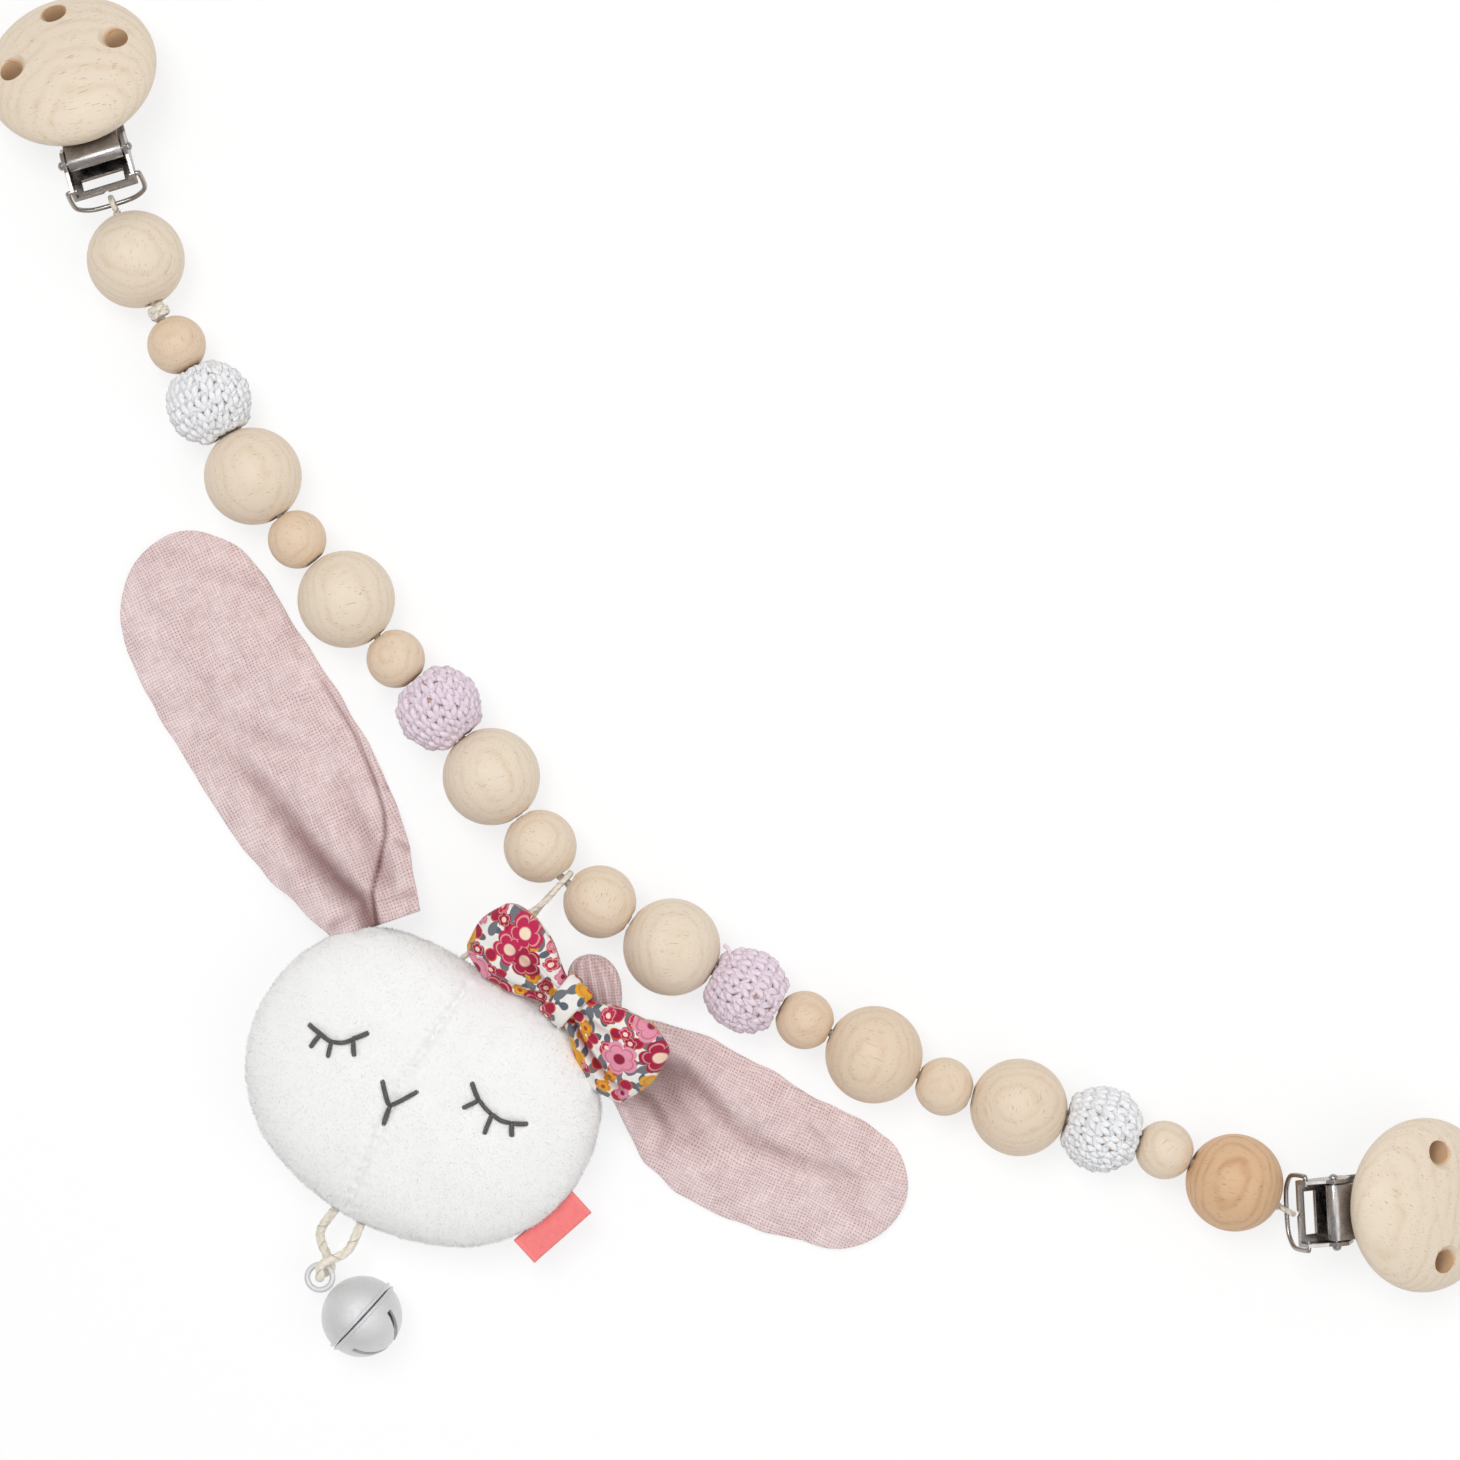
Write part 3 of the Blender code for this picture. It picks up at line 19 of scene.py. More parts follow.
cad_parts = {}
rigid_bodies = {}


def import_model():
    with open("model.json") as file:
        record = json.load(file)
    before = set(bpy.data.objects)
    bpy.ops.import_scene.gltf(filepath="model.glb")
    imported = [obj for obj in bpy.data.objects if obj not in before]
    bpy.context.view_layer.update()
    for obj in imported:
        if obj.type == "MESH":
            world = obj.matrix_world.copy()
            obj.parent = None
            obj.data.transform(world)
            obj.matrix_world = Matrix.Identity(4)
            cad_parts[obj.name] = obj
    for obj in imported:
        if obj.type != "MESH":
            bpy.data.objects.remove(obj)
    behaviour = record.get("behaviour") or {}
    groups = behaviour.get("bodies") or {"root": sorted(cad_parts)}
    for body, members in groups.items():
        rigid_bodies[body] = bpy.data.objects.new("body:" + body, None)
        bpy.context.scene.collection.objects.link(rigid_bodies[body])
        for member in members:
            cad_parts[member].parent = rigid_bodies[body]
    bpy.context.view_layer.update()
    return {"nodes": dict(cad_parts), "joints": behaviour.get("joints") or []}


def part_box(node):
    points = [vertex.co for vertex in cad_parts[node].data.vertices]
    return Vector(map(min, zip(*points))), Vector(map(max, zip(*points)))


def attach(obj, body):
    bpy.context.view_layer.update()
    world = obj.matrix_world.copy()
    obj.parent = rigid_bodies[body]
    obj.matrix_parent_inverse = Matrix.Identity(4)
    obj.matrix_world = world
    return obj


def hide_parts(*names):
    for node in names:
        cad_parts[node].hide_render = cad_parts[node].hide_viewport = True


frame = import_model()

MM = 0.001
LOG = logging.getLogger("pram_chain_toy")
Points = Sequence[Sequence[float]]


def along(heading_deg: float, length: float = 1.0) -> Vector:
    """A flat vector with this heading from the X axis."""
    turn = math.radians(heading_deg)
    return Vector((math.cos(turn) * length, math.sin(turn) * length, 0.0))


def frame_at(place: Sequence[float], turns_deg: Sequence[float] = (0.0, 0.0, 0.0)) -> Matrix:
    """A frame at a place, turned about X, Y and Z.

    Args:
        place: the frame's origin in its parent.
        turns_deg: turns about X, Y and Z in degrees.

    Returns:
        The frame's matrix.
    """
    turns = Euler([math.radians(angle) for angle in turns_deg])
    return Matrix.Translation(Vector(place)) @ turns.to_matrix().to_4x4()


def turned(x_deg: float, y_deg: float, z_deg: float) -> Matrix:
    """A frame turned about X, Y and Z, in degrees, at its parent's origin."""
    return frame_at((0, 0, 0), (x_deg, y_deg, z_deg))


def frame_of(origin: Vector, x_axis: Vector, y_axis: Vector) -> Matrix:
    """A frame from its origin and two of its axes.

    Args:
        origin: the frame's origin in the row frame.
        x_axis: its X direction.
        y_axis: its Y direction, square to X.

    Returns:
        The frame's matrix.
    """
    z_axis = x_axis.cross(y_axis)
    matrix = Matrix((x_axis, y_axis, z_axis)).transposed().to_4x4()
    return Matrix.Translation(origin) @ matrix


def smooth_route(points: Points, steps: int = 4) -> list[Vector]:
    """Points along a smooth curve through a route's own points.

    Args:
        points: the route's points.
        steps: how many stretches each part of the route is cut into.

    Returns:
        The curve's points, the route's own ones among them.
    """
    own = [Vector(point) for point in points]
    padded = [2 * own[0] - own[1], *own, 2 * own[-1] - own[-2]]
    found = []
    for before, start, end, after in zip(padded, padded[1:], padded[2:], padded[3:]):
        for step in range(steps):
            t = step / steps
            found.append(0.5 * (2 * start + (end - before) * t
                                + (2 * before - 5 * start + 4 * end - after) * t ** 2
                                + (3 * start - before - 3 * end + after) * t ** 3))
    return found + [own[-1]]


def placed(matrix: Matrix, points: Iterable[Sequence[float]]) -> list[Vector]:
    """Points of a frame, in the row frame."""
    return [matrix @ Vector(point) for point in points]


def length_of(points: Sequence[Vector]) -> float:
    """The length of a line through points."""
    return sum((end - start).length for start, end in zip(points, points[1:]))


def ripple(x: np.ndarray, y: np.ndarray, wavelength: float, seed: int, waves: int = 20) -> np.ndarray:
    """Smooth uneven bumps over a flat cloth, mostly from -1 to 1.

    Args:
        x: places along the cloth.
        y: places across it.
        wavelength: the usual distance from one bump to the next.
        seed: which bumps.
        waves: how many plain waves are added up.

    Returns:
        The bumps' heights.
    """
    chance = np.random.default_rng(seed)
    total = np.zeros(np.broadcast(x, y).shape)
    for _ in range(waves):
        turn, phase = chance.uniform(0, math.tau, 2)
        scale = math.tau / (wavelength * chance.uniform(0.7, 1.6))
        total += np.cos((x * math.cos(turn) + y * math.sin(turn)) * scale + phase)
    return total / math.sqrt(waves)


def eased(value: np.ndarray | float) -> np.ndarray | float:
    """0 below 0, 1 above 1 and a smooth step between."""
    kept = np.clip(value, 0.0, 1.0)
    return kept * kept * (3 - 2 * kept)


def table_at(place: np.ndarray, places: Sequence[float], values: Sequence[float],
             blur: float = 0.02) -> np.ndarray:
    """A table read along a cloth, with its corners rounded.

    Args:
        place: where to read it.
        places: the table's places.
        values: its values there.
        blur: how wide the rounding is.

    Returns:
        The values at those places.
    """
    shifts = np.linspace(-1.5, 1.5, 13)
    weights = np.exp(-shifts ** 2)
    reads = [np.interp(place + shift * blur, places, values) for shift in shifts]
    return np.tensordot(weights / weights.sum(), np.array(reads), 1)


def distance_to_line(x: np.ndarray, y: np.ndarray, line: Points) -> tuple[np.ndarray, np.ndarray]:
    """How far points of a flat cloth are from a line, and how far along it.

    Args:
        x: the points' first coordinates.
        y: their second coordinates.
        line: the line's corners.

    Returns:
        The distances, and the shares of the line's length at the nearest places.
    """
    best = np.full(x.shape, 1e9)
    share = np.zeros(x.shape)
    corners = np.array(line, float)[:, :2]
    lengths = np.linalg.norm(np.diff(corners, axis=0), axis=1)
    done = 0.0
    for start, end, length in zip(corners, corners[1:], lengths):
        way = (end - start) / length
        along_it = np.clip((x - start[0]) * way[0] + (y - start[1]) * way[1], 0.0, length)
        far = np.hypot(x - start[0] - along_it * way[0], y - start[1] - along_it * way[1])
        nearer = far < best
        best = np.where(nearer, far, best)
        share = np.where(nearer, (done + along_it) / lengths.sum(), share)
        done += length
    return best, share


# Meshes

BOX_FACES = ((0, 1, 2, 3), (7, 6, 5, 4), (0, 4, 5, 1), (1, 5, 6, 2), (2, 6, 7, 3), (3, 7, 4, 0))


def link(name: str, mesh: bpy.types.Mesh) -> bpy.types.Object:
    """A new object of a mesh, at the row frame's origin.

    Args:
        name: the object's name.
        mesh: its mesh.

    Returns:
        The new object, in the scene.
    """
    obj = bpy.data.objects.new(name, mesh)
    bpy.context.scene.collection.objects.link(obj)
    return obj


def turn_outwards(mesh: bpy.types.Mesh) -> None:
    """Turn a closed mesh's faces outwards.

    Args:
        mesh: the closed mesh.
    """
    bm = bmesh.new()
    bm.from_mesh(mesh)
    bmesh.ops.recalc_face_normals(bm, faces=bm.faces)
    if bm.calc_volume(signed=True) < 0:
        bmesh.ops.reverse_faces(bm, faces=bm.faces)
    bm.to_mesh(mesh)
    bm.free()


def make_mesh(name: str, points: Points | np.ndarray, faces: Sequence[Sequence[int]],
              matrix: Matrix | None = None, sharp_deg: float | None = None) -> bpy.types.Object:
    """An object of smooth faces, with its points in the row frame.

    Args:
        name: the piece's name.
        points: its points.
        faces: its faces, as numbers of points.
        matrix: the frame that the points are in.
        sharp_deg: the angle over which an edge stays sharp.

    Returns:
        The new object.
    """
    mesh = bpy.data.meshes.new(name)
    mesh.from_pydata([tuple(point) for point in points], [], [tuple(face) for face in faces])
    if matrix is not None:
        mesh.transform(matrix)
    turn_outwards(mesh)
    mesh.shade_smooth()
    if sharp_deg is not None:
        mesh.set_sharp_from_angle(angle=math.radians(sharp_deg))
    return link(name, mesh)


def store(mesh: bpy.types.Mesh, name: str, values: np.ndarray) -> None:
    """Keep a number or a vector for each point of a mesh, for its material to read.

    Args:
        mesh: the mesh that keeps them.
        name: the attribute's name.
        values: one row or one number for each point.
    """
    kind = "FLOAT_VECTOR" if values.ndim == 2 else "FLOAT"
    attribute = mesh.attributes.new(name, kind, "POINT")
    attribute.data.foreach_set("vector" if values.ndim == 2 else "value", values.astype(np.float32).ravel())


def points_of(mesh: bpy.types.Mesh) -> np.ndarray:
    """The mesh's points, one row each.

    Args:
        mesh: the mesh to read.

    Returns:
        Its points' places, in metres.
    """
    found = np.zeros(len(mesh.vertices) * 3)
    mesh.vertices.foreach_get("co", found)
    return found.reshape(-1, 3)


def round_turns(steps: int) -> np.ndarray:
    """Even turns all the way round, in radians."""
    return np.linspace(0, math.tau, steps, endpoint=False)


def grid_faces(names: np.ndarray, flip: bool = False) -> list[tuple[int, ...]]:
    """Faces between the rows and columns of a grid of points.

    Args:
        names: the points' numbers, in rows and columns.
        flip: whether the faces look the other way.

    Returns:
        The faces, row by row.
    """
    corners = np.stack([names[:-1, :-1], names[1:, :-1], names[1:, 1:], names[:-1, 1:]], axis=-1).reshape(-1, 4)
    return [tuple(face) for face in (corners[:, ::-1] if flip else corners).tolist()]


def band_faces(first: np.ndarray, second: np.ndarray) -> list[tuple[int, ...]]:
    """Faces between two lines of as many points.

    Args:
        first: the first line's points, by number.
        second: the second line's points.

    Returns:
        The faces, in order.
    """
    return list(zip(first, first[1:], second[1:], second))


def ring_faces(rings: int, around: int, closed: bool) -> list[tuple[int, int, int, int]]:
    """Faces between rings of points, each of which closes on itself.

    Args:
        rings: how many rings there are.
        around: how many points each has.
        closed: whether the last ring joins the first.

    Returns:
        The faces.
    """
    faces = []
    for ring in range(rings if closed else rings - 1):
        here, there = ring * around, (ring + 1) % rings * around
        for step in range(around):
            following = (step + 1) % around
            faces.append((here + step, here + following, there + following, there + step))
    return faces


def lathe(name: str, profile: Sequence[tuple[float, float]], matrix: Matrix, steps: int = 96,
          closed: bool = True, sharp_deg: float | None = None) -> bpy.types.Object:
    """A shape turned about its frame's Z axis.

    Args:
        name: the piece's name.
        profile: (radius, height) points. An open one starts and ends on the axis.
        matrix: the frame that it is turned in.
        steps: faces round the axis.
        closed: whether the profile's end joins its start.
        sharp_deg: the angle over which an edge stays sharp.

    Returns:
        The new object.
    """
    turns = round_turns(steps)
    rings = profile if closed else profile[1:-1]
    points = [(radius * math.cos(turn), radius * math.sin(turn), height)
              for radius, height in rings for turn in turns]
    faces: list[tuple[int, ...]] = list(ring_faces(len(rings), steps, closed))
    if not closed:
        for end, ring in ((profile[0], 0), (profile[-1], len(rings) - 1)):
            points.append((0.0, 0.0, end[1]))
            faces += [(ring * steps + step, ring * steps + (step + 1) % steps, len(points) - 1)
                      for step in range(steps)]
    return make_mesh(name, points, faces, matrix, sharp_deg)


def arc(centre: tuple[float, float], radius: float, start_deg: float, end_deg: float,
        steps: int) -> list[tuple[float, float]]:
    """Points of a round profile, with angles from the radius axis towards the height axis."""
    angles = np.radians(np.linspace(start_deg, end_deg, steps + 1))
    return [(centre[0] + radius * math.cos(angle), centre[1] + radius * math.sin(angle)) for angle in angles]


def cut(obj: bpy.types.Object, tools: Sequence[bpy.types.Object], operation: str = "DIFFERENCE") -> None:
    """Cut tools from an object for good, and remove them.

    Args:
        obj: the piece.
        tools: closed meshes.
        operation: the Boolean's operation.
    """
    for tool in tools:
        modifier = obj.modifiers.new(tool.name, "BOOLEAN")
        modifier.operation = operation
        modifier.solver = "EXACT"
        modifier.object = tool
    bake(obj)
    for tool in tools:
        bpy.data.objects.remove(tool, do_unlink=True)


def bake(obj: bpy.types.Object) -> None:
    """Make an object's modifiers part of its mesh.

    Args:
        obj: the object, whose modifiers are then gone.
    """
    graph = bpy.context.evaluated_depsgraph_get()
    mesh = bpy.data.meshes.new_from_object(obj.evaluated_get(graph), preserve_all_data_layers=True, depsgraph=graph)
    obj.modifiers.clear()
    obj.data = mesh


def dress(obj: bpy.types.Object, finish: "Finish", body: str, replaces: Sequence[str] = ()) -> bpy.types.Object:
    """Give a piece its finish and its body.

    Args:
        obj: the piece, in place.
        finish: what it is made of.
        body: the body that it rides on.
        replaces: the CAD nodes that it stands for.

    Returns:
        The same piece.
    """
    obj.data.materials.clear()
    obj.data.materials.append(finish.material())
    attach(obj, body)
    if replaces:
        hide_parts(*replaces)
    LOG.info("%s rides on %s, with %d faces", obj.name, body, len(obj.data.polygons))
    return obj


# Nodes

class NodeWriter:
    """Adds nodes to a tree and links them."""

    def __init__(self, tree: bpy.types.NodeTree) -> None:
        """Write into this tree."""
        self.tree = tree

    def add(self, kind: str, given: dict[str | int, Any] | None = None, **settings: Any) -> bpy.types.Node:
        """A new node with these inputs and settings.

        Args:
            kind: the node's type.
            given: what goes into its inputs, by their names or numbers.
            settings: its properties and their values.

        Returns:
            The new node.
        """
        node = self.tree.nodes.new(kind)
        for key, value in settings.items():
            setattr(node, key, value)
        for name, value in (given or {}).items():
            self.put(node.inputs[name], value)
        return node

    def put(self, target: bpy.types.NodeSocket, value: Any) -> None:
        """Link a socket to a node's input, or set a plain value there.

        Args:
            target: the input.
            value: a socket, a plain value, or None to leave the input alone.
        """
        if isinstance(value, bpy.types.NodeSocket):
            self.tree.links.new(value, target)
        elif value is not None:
            target.default_value = value

    def math(self, operation: str, *values: Any, clamp: bool = False) -> bpy.types.NodeSocket:
        """A Math node's result.

        Args:
            operation: what it works out.
            values: its inputs, in order.
            clamp: whether the result stays from 0 to 1.

        Returns:
            The result's socket.
        """
        node = self.add("ShaderNodeMath", operation=operation, use_clamp=clamp)
        for target, value in zip(node.inputs, values):
            self.put(target, value)
        return node.outputs[0]

    def times(self, *values: Any, clamp: bool = False) -> bpy.types.NodeSocket:
        """The product of two numbers."""
        return self.math("MULTIPLY", *values, clamp=clamp)

    def plus(self, *values: Any, clamp: bool = False) -> bpy.types.NodeSocket:
        """The sum of two numbers."""
        return self.math("ADD", *values, clamp=clamp)

    def minus(self, *values: Any) -> bpy.types.NodeSocket:
        """The first number less the second."""
        return self.math("SUBTRACT", *values)

    def vector(self, operation: str, *values: Any) -> bpy.types.NodeSocket:
        """A Vector Math node's vector, or its number where it gives one.

        Args:
            operation: what it works out.
            values: its inputs, in order.

        Returns:
            The result's socket.
        """
        node = self.add("ShaderNodeVectorMath", operation=operation)
        inputs = [node.inputs[0], node.inputs[3]] if operation == "SCALE" else node.inputs
        for target, value in zip(inputs, values):
            self.put(target, value)
        return node.outputs["Value" if operation in ("LENGTH", "DISTANCE", "DOT_PRODUCT") else "Vector"]

    def remap(self, value: Any, low: float, high: float, to_low: float = 0.0,
              to_high: float = 1.0, smooth: bool = False) -> bpy.types.NodeSocket:
        """A number moved from one range to another.

        Args:
            value: the number.
            low: the start of its range.
            high: the end of its range.
            to_low: the start of the new range.
            to_high: the end of the new range.
            smooth: whether it eases in and out.

        Returns:
            The new number's socket.
        """
        node = self.add("ShaderNodeMapRange", interpolation_type="SMOOTHSTEP" if smooth else "LINEAR")
        for target, given in zip(node.inputs, (value, low, high, to_low, to_high)):
            self.put(target, given)
        return node.outputs[0]

    def split(self, value: bpy.types.NodeSocket) -> tuple[bpy.types.NodeSocket, ...]:
        """A vector's three numbers.

        Args:
            value: the vector.

        Returns:
            The sockets of X, Y and Z.
        """
        node = self.add("ShaderNodeSeparateXYZ")
        self.put(node.inputs[0], value)
        return tuple(node.outputs)

    def join(self, x: Any, y: Any, z: Any = 0.0) -> bpy.types.NodeSocket:
        """A vector of three numbers.

        Args:
            x: its X.
            y: its Y.
            z: its Z.

        Returns:
            The vector's socket.
        """
        node = self.add("ShaderNodeCombineXYZ")
        for target, value in zip(node.inputs, (x, y, z)):
            self.put(target, value)
        return node.outputs[0]


class ShadeWriter(NodeWriter):
    """Writes a material's nodes."""

    def __init__(self, material: bpy.types.Material) -> None:
        """Write into this material, whose shader is there already."""
        super().__init__(material.node_tree)
        self.shader = material.node_tree.nodes["Principled BSDF"]

    def kept(self, name: str) -> bpy.types.Node:
        """An Attribute node that reads what the mesh keeps under a name."""
        return self.add("ShaderNodeAttribute", attribute_name=name)

    def place(self) -> bpy.types.NodeSocket:
        """The place on the object, in millimetres."""
        return self.vector("SCALE", self.add("ShaderNodeTexCoord").outputs["Object"], 1.0 / MM)

    def noise(self, at: Any, scale: float, detail: float = 2.0, roughness: float = 0.5,
              colour: bool = False) -> bpy.types.NodeSocket:
        """Noise at a place, as a number or as a colour.

        Args:
            at: the place.
            scale: how fine the noise is.
            detail: how many finer layers it has.
            roughness: how strong those are.
            colour: whether it gives a colour.

        Returns:
            The noise's socket.
        """
        node = self.add("ShaderNodeTexNoise")
        self.put(node.inputs["Vector"], at)
        self.put(node.inputs["Scale"], scale)
        self.put(node.inputs["Detail"], detail)
        self.put(node.inputs["Roughness"], roughness)
        return node.outputs["Color" if colour else 0]

    def wobble(self, at: bpy.types.NodeSocket, scale: float, reach: float) -> bpy.types.NodeSocket:
        """A place moved a little by noise."""
        shift = self.vector("SUBTRACT", self.noise(at, scale, colour=True), (0.5, 0.5, 0.5))
        return self.vector("ADD", at, self.vector("SCALE", shift, reach))

    def mix(self, amount: Any, first: Any, second: Any, blend: str = "MIX") -> bpy.types.NodeSocket:
        """Two colours mixed.

        Args:
            amount: the second colour's share.
            first: the first colour.
            second: the second colour.
            blend: how they are mixed.

        Returns:
            The mixed colour's socket.
        """
        node = self.add("ShaderNodeMix", data_type="RGBA", blend_type=blend)
        self.put(node.inputs[0], amount)
        self.put(node.inputs[6], first)
        self.put(node.inputs[7], second)
        return node.outputs[2]

    def ramp(self, value: Any, stops: Sequence[tuple[float, Sequence[float]]]) -> bpy.types.NodeSocket:
        """A colour read from a ramp of (place, colour) stops.

        Args:
            value: the number to look up.
            stops: the ramp's stops, in order.

        Returns:
            The colour's socket.
        """
        node = self.add("ShaderNodeValToRGB")
        self.put(node.inputs[0], value)
        elements = node.color_ramp.elements
        for _ in range(len(stops) - 2):
            elements.new(0.5)
        for element, (place, colour) in zip(elements, stops):
            element.position = place
            element.color = (*colour[:3], 1.0)
        return node.outputs[0]

    def bump(self, height: Any, distance: float, strength: float = 1.0, over: Any = None) -> bpy.types.NodeSocket:
        """A normal bent by a height that is `distance` metres where it is 1.

        Args:
            height: the height.
            distance: how far a height of 1 stands out, in metres.
            strength: how much of it shows.
            over: the normal that it starts from.

        Returns:
            The normal's socket.
        """
        node = self.add("ShaderNodeBump")
        self.put(node.inputs["Strength"], strength)
        self.put(node.inputs["Distance"], distance)
        self.put(node.inputs["Height"], height)
        self.put(node.inputs["Normal"], over)
        return node.outputs[0]

    def ridges(self, value: Any, scale: float) -> bpy.types.NodeSocket:
        """Rounded ridges side by side, 1 at their tops and 0 between them.

        Args:
            value: the place across them.
            scale: pi over their spacing.

        Returns:
            The height's socket.
        """
        return self.math("ABSOLUTE", self.math("SINE", self.times(value, scale)))

    def folded(self, colour: Any, fold_shade_colour: Sequence[float]) -> bpy.types.NodeSocket:
        """A cloth's colour, multiplied by a darker one as painted shade in its folds, where the mesh keeps
        "fold_shade".

        Args:
            colour: the cloth's colour.
            fold_shade_colour: the deeper colour.

        Returns:
            The colour's socket.
        """
        amount = self.times(self.kept("fold_shade").outputs["Fac"], 0.9, clamp=True)
        return self.mix(amount, colour, fold_shade_colour, "MULTIPLY")

    def set(self, socket: str, value: Any) -> None:
        """Set or link one of the shader's inputs."""
        self.put(self.shader.inputs[socket], value)


def linear(red: int, green: int, blue: int) -> tuple[float, float, float, float]:
    """A colour as a screen shows it, from 0 to 255, made linear.

    Args:
        red: its red.
        green: its green.
        blue: its blue.

    Returns:
        The linear colour, opaque.
    """
    def one(value: int) -> float:
        """One of its three numbers."""
        share = value / 255
        return share / 12.92 if share <= 0.04045 else ((share + 0.055) / 1.055) ** 2.4
    return one(red), one(green), one(blue), 1.0


@dataclass(frozen=True)
class Finish:
    """What a piece is made of. Each kind writes its own nodes."""

    name: str

    def material(self) -> bpy.types.Material:
        """The finish's material, made once.

        Returns:
            The material.
        """
        material = bpy.data.materials.get(self.name)
        if material is None:
            material = bpy.data.materials.new(self.name)
            material.use_nodes = True
            self.write(ShadeWriter(material))
        return material

    def write(self, nodes: ShadeWriter) -> None:
        """Write the finish's nodes."""
        raise NotImplementedError


@dataclass(frozen=True)
class Beech(Finish):
    """Raw sanded beech: faint growth rings and short dark flecks along the fibre.

    A mesh keeps its place in the tree as "grain", in millimetres with X along the fibre and the pith on
    that axis, and its own shade as "tone".
    """

    pale: tuple = linear(234, 219, 199)
    ring: tuple = linear(221, 199, 171)
    fleck: tuple = linear(186, 150, 112)
    warm: tuple = linear(236, 198, 158)
    bore: tuple = linear(206, 176, 142)
    ring_spacing: float = 1.5
    rough: float = 0.52

    def write(self, nodes: ShadeWriter) -> None:
        """Rings from the distance to the pith, flecks from stretched noise.

        Args:
            nodes: the writer of the material's nodes.
        """
        grain = nodes.kept("grain").outputs["Vector"]
        tone = nodes.kept("tone").outputs["Fac"]
        _, y, z = nodes.split(nodes.wobble(grain, 0.12, 2.2))
        from_pith = nodes.math("SQRT", nodes.plus(nodes.times(y, y), nodes.times(z, z)))
        turns = nodes.times(from_pith, math.tau / self.ring_spacing)
        wave = nodes.math("MULTIPLY_ADD", nodes.math("SINE", turns), 0.5, 0.5)
        late = nodes.math("POWER", wave, 3.0)
        patches = nodes.remap(nodes.noise(grain, 0.25, 3.0), 0.35, 0.65)
        rings = nodes.times(late, nodes.math("MULTIPLY_ADD", patches, 0.5, 0.12))
        thin = nodes.vector("MULTIPLY", nodes.wobble(grain, 0.5, 0.4), (0.26, 4.4, 4.4))
        flecks = nodes.remap(nodes.noise(thin, 1.0, 1.0), 0.67, 0.71, smooth=True)
        hair = nodes.remap(nodes.noise(nodes.vector("MULTIPLY", grain, (0.3, 7.0, 7.0)), 1.0, 2.0), 0.4, 0.75)
        late_wood = nodes.mix(nodes.remap(tone, 0.6, 1.0), self.ring, self.fleck)
        colour = nodes.mix(rings, self.pale, late_wood)
        colour = nodes.mix(nodes.times(hair, 0.22), colour, self.ring)
        colour = nodes.mix(nodes.times(flecks, 0.65), colour, self.fleck)
        warm = nodes.mix(0.9, colour, self.warm, "MULTIPLY")
        toned = nodes.mix(nodes.remap(tone, 1.0, 1.3), warm, self.bore)
        nodes.set("Base Color", nodes.mix(tone, colour, toned))
        nodes.set("Roughness", nodes.remap(hair, 0.0, 1.0, self.rough - 0.06, self.rough + 0.1))
        height = nodes.minus(nodes.times(hair, 0.3), flecks)
        nodes.set("Normal", nodes.bump(height, 0.03 * MM, 0.8))
        nodes.set("Specular IOR Level", 0.35)


@dataclass(frozen=True)
class Metal(Finish):
    """Plated steel with fine scuffs, and for the bell a duller, pitted skin."""

    colour: tuple = linear(172, 167, 164)
    stain: tuple = linear(120, 118, 118)
    rough: float = 0.16
    scuff: float = 0.2
    pits: float = 0.02

    def write(self, nodes: ShadeWriter) -> None:
        """Roughness and bump from noise of two sizes.

        Args:
            nodes: the writer of the material's nodes.
        """
        place = nodes.place()
        cloudy = nodes.remap(nodes.noise(place, 0.45, 4.0, 0.6), 0.38, 0.66)
        fine = nodes.noise(place, 3.2, 5.0, 0.7)
        brushed = nodes.noise(nodes.vector("MULTIPLY", place, (1.0, 6.0, 6.0)), 1.4, 3.0)
        nodes.set("Metallic", 1.0)
        dark = nodes.mix(0.45, self.colour, self.stain, "MULTIPLY")
        nodes.set("Base Color", nodes.mix(nodes.times(nodes.remap(fine, 0.3, 0.6), self.scuff),
                                          self.colour, dark))
        rough = nodes.plus(nodes.remap(cloudy, 0.0, 1.0, self.rough, self.rough + self.scuff),
                           nodes.remap(brushed, 0.3, 0.7, 0.0, 0.08))
        nodes.set("Roughness", rough)
        nodes.set("Normal", nodes.bump(nodes.plus(fine, nodes.times(cloudy, 0.5)),
                                       self.pits * MM, 0.7))


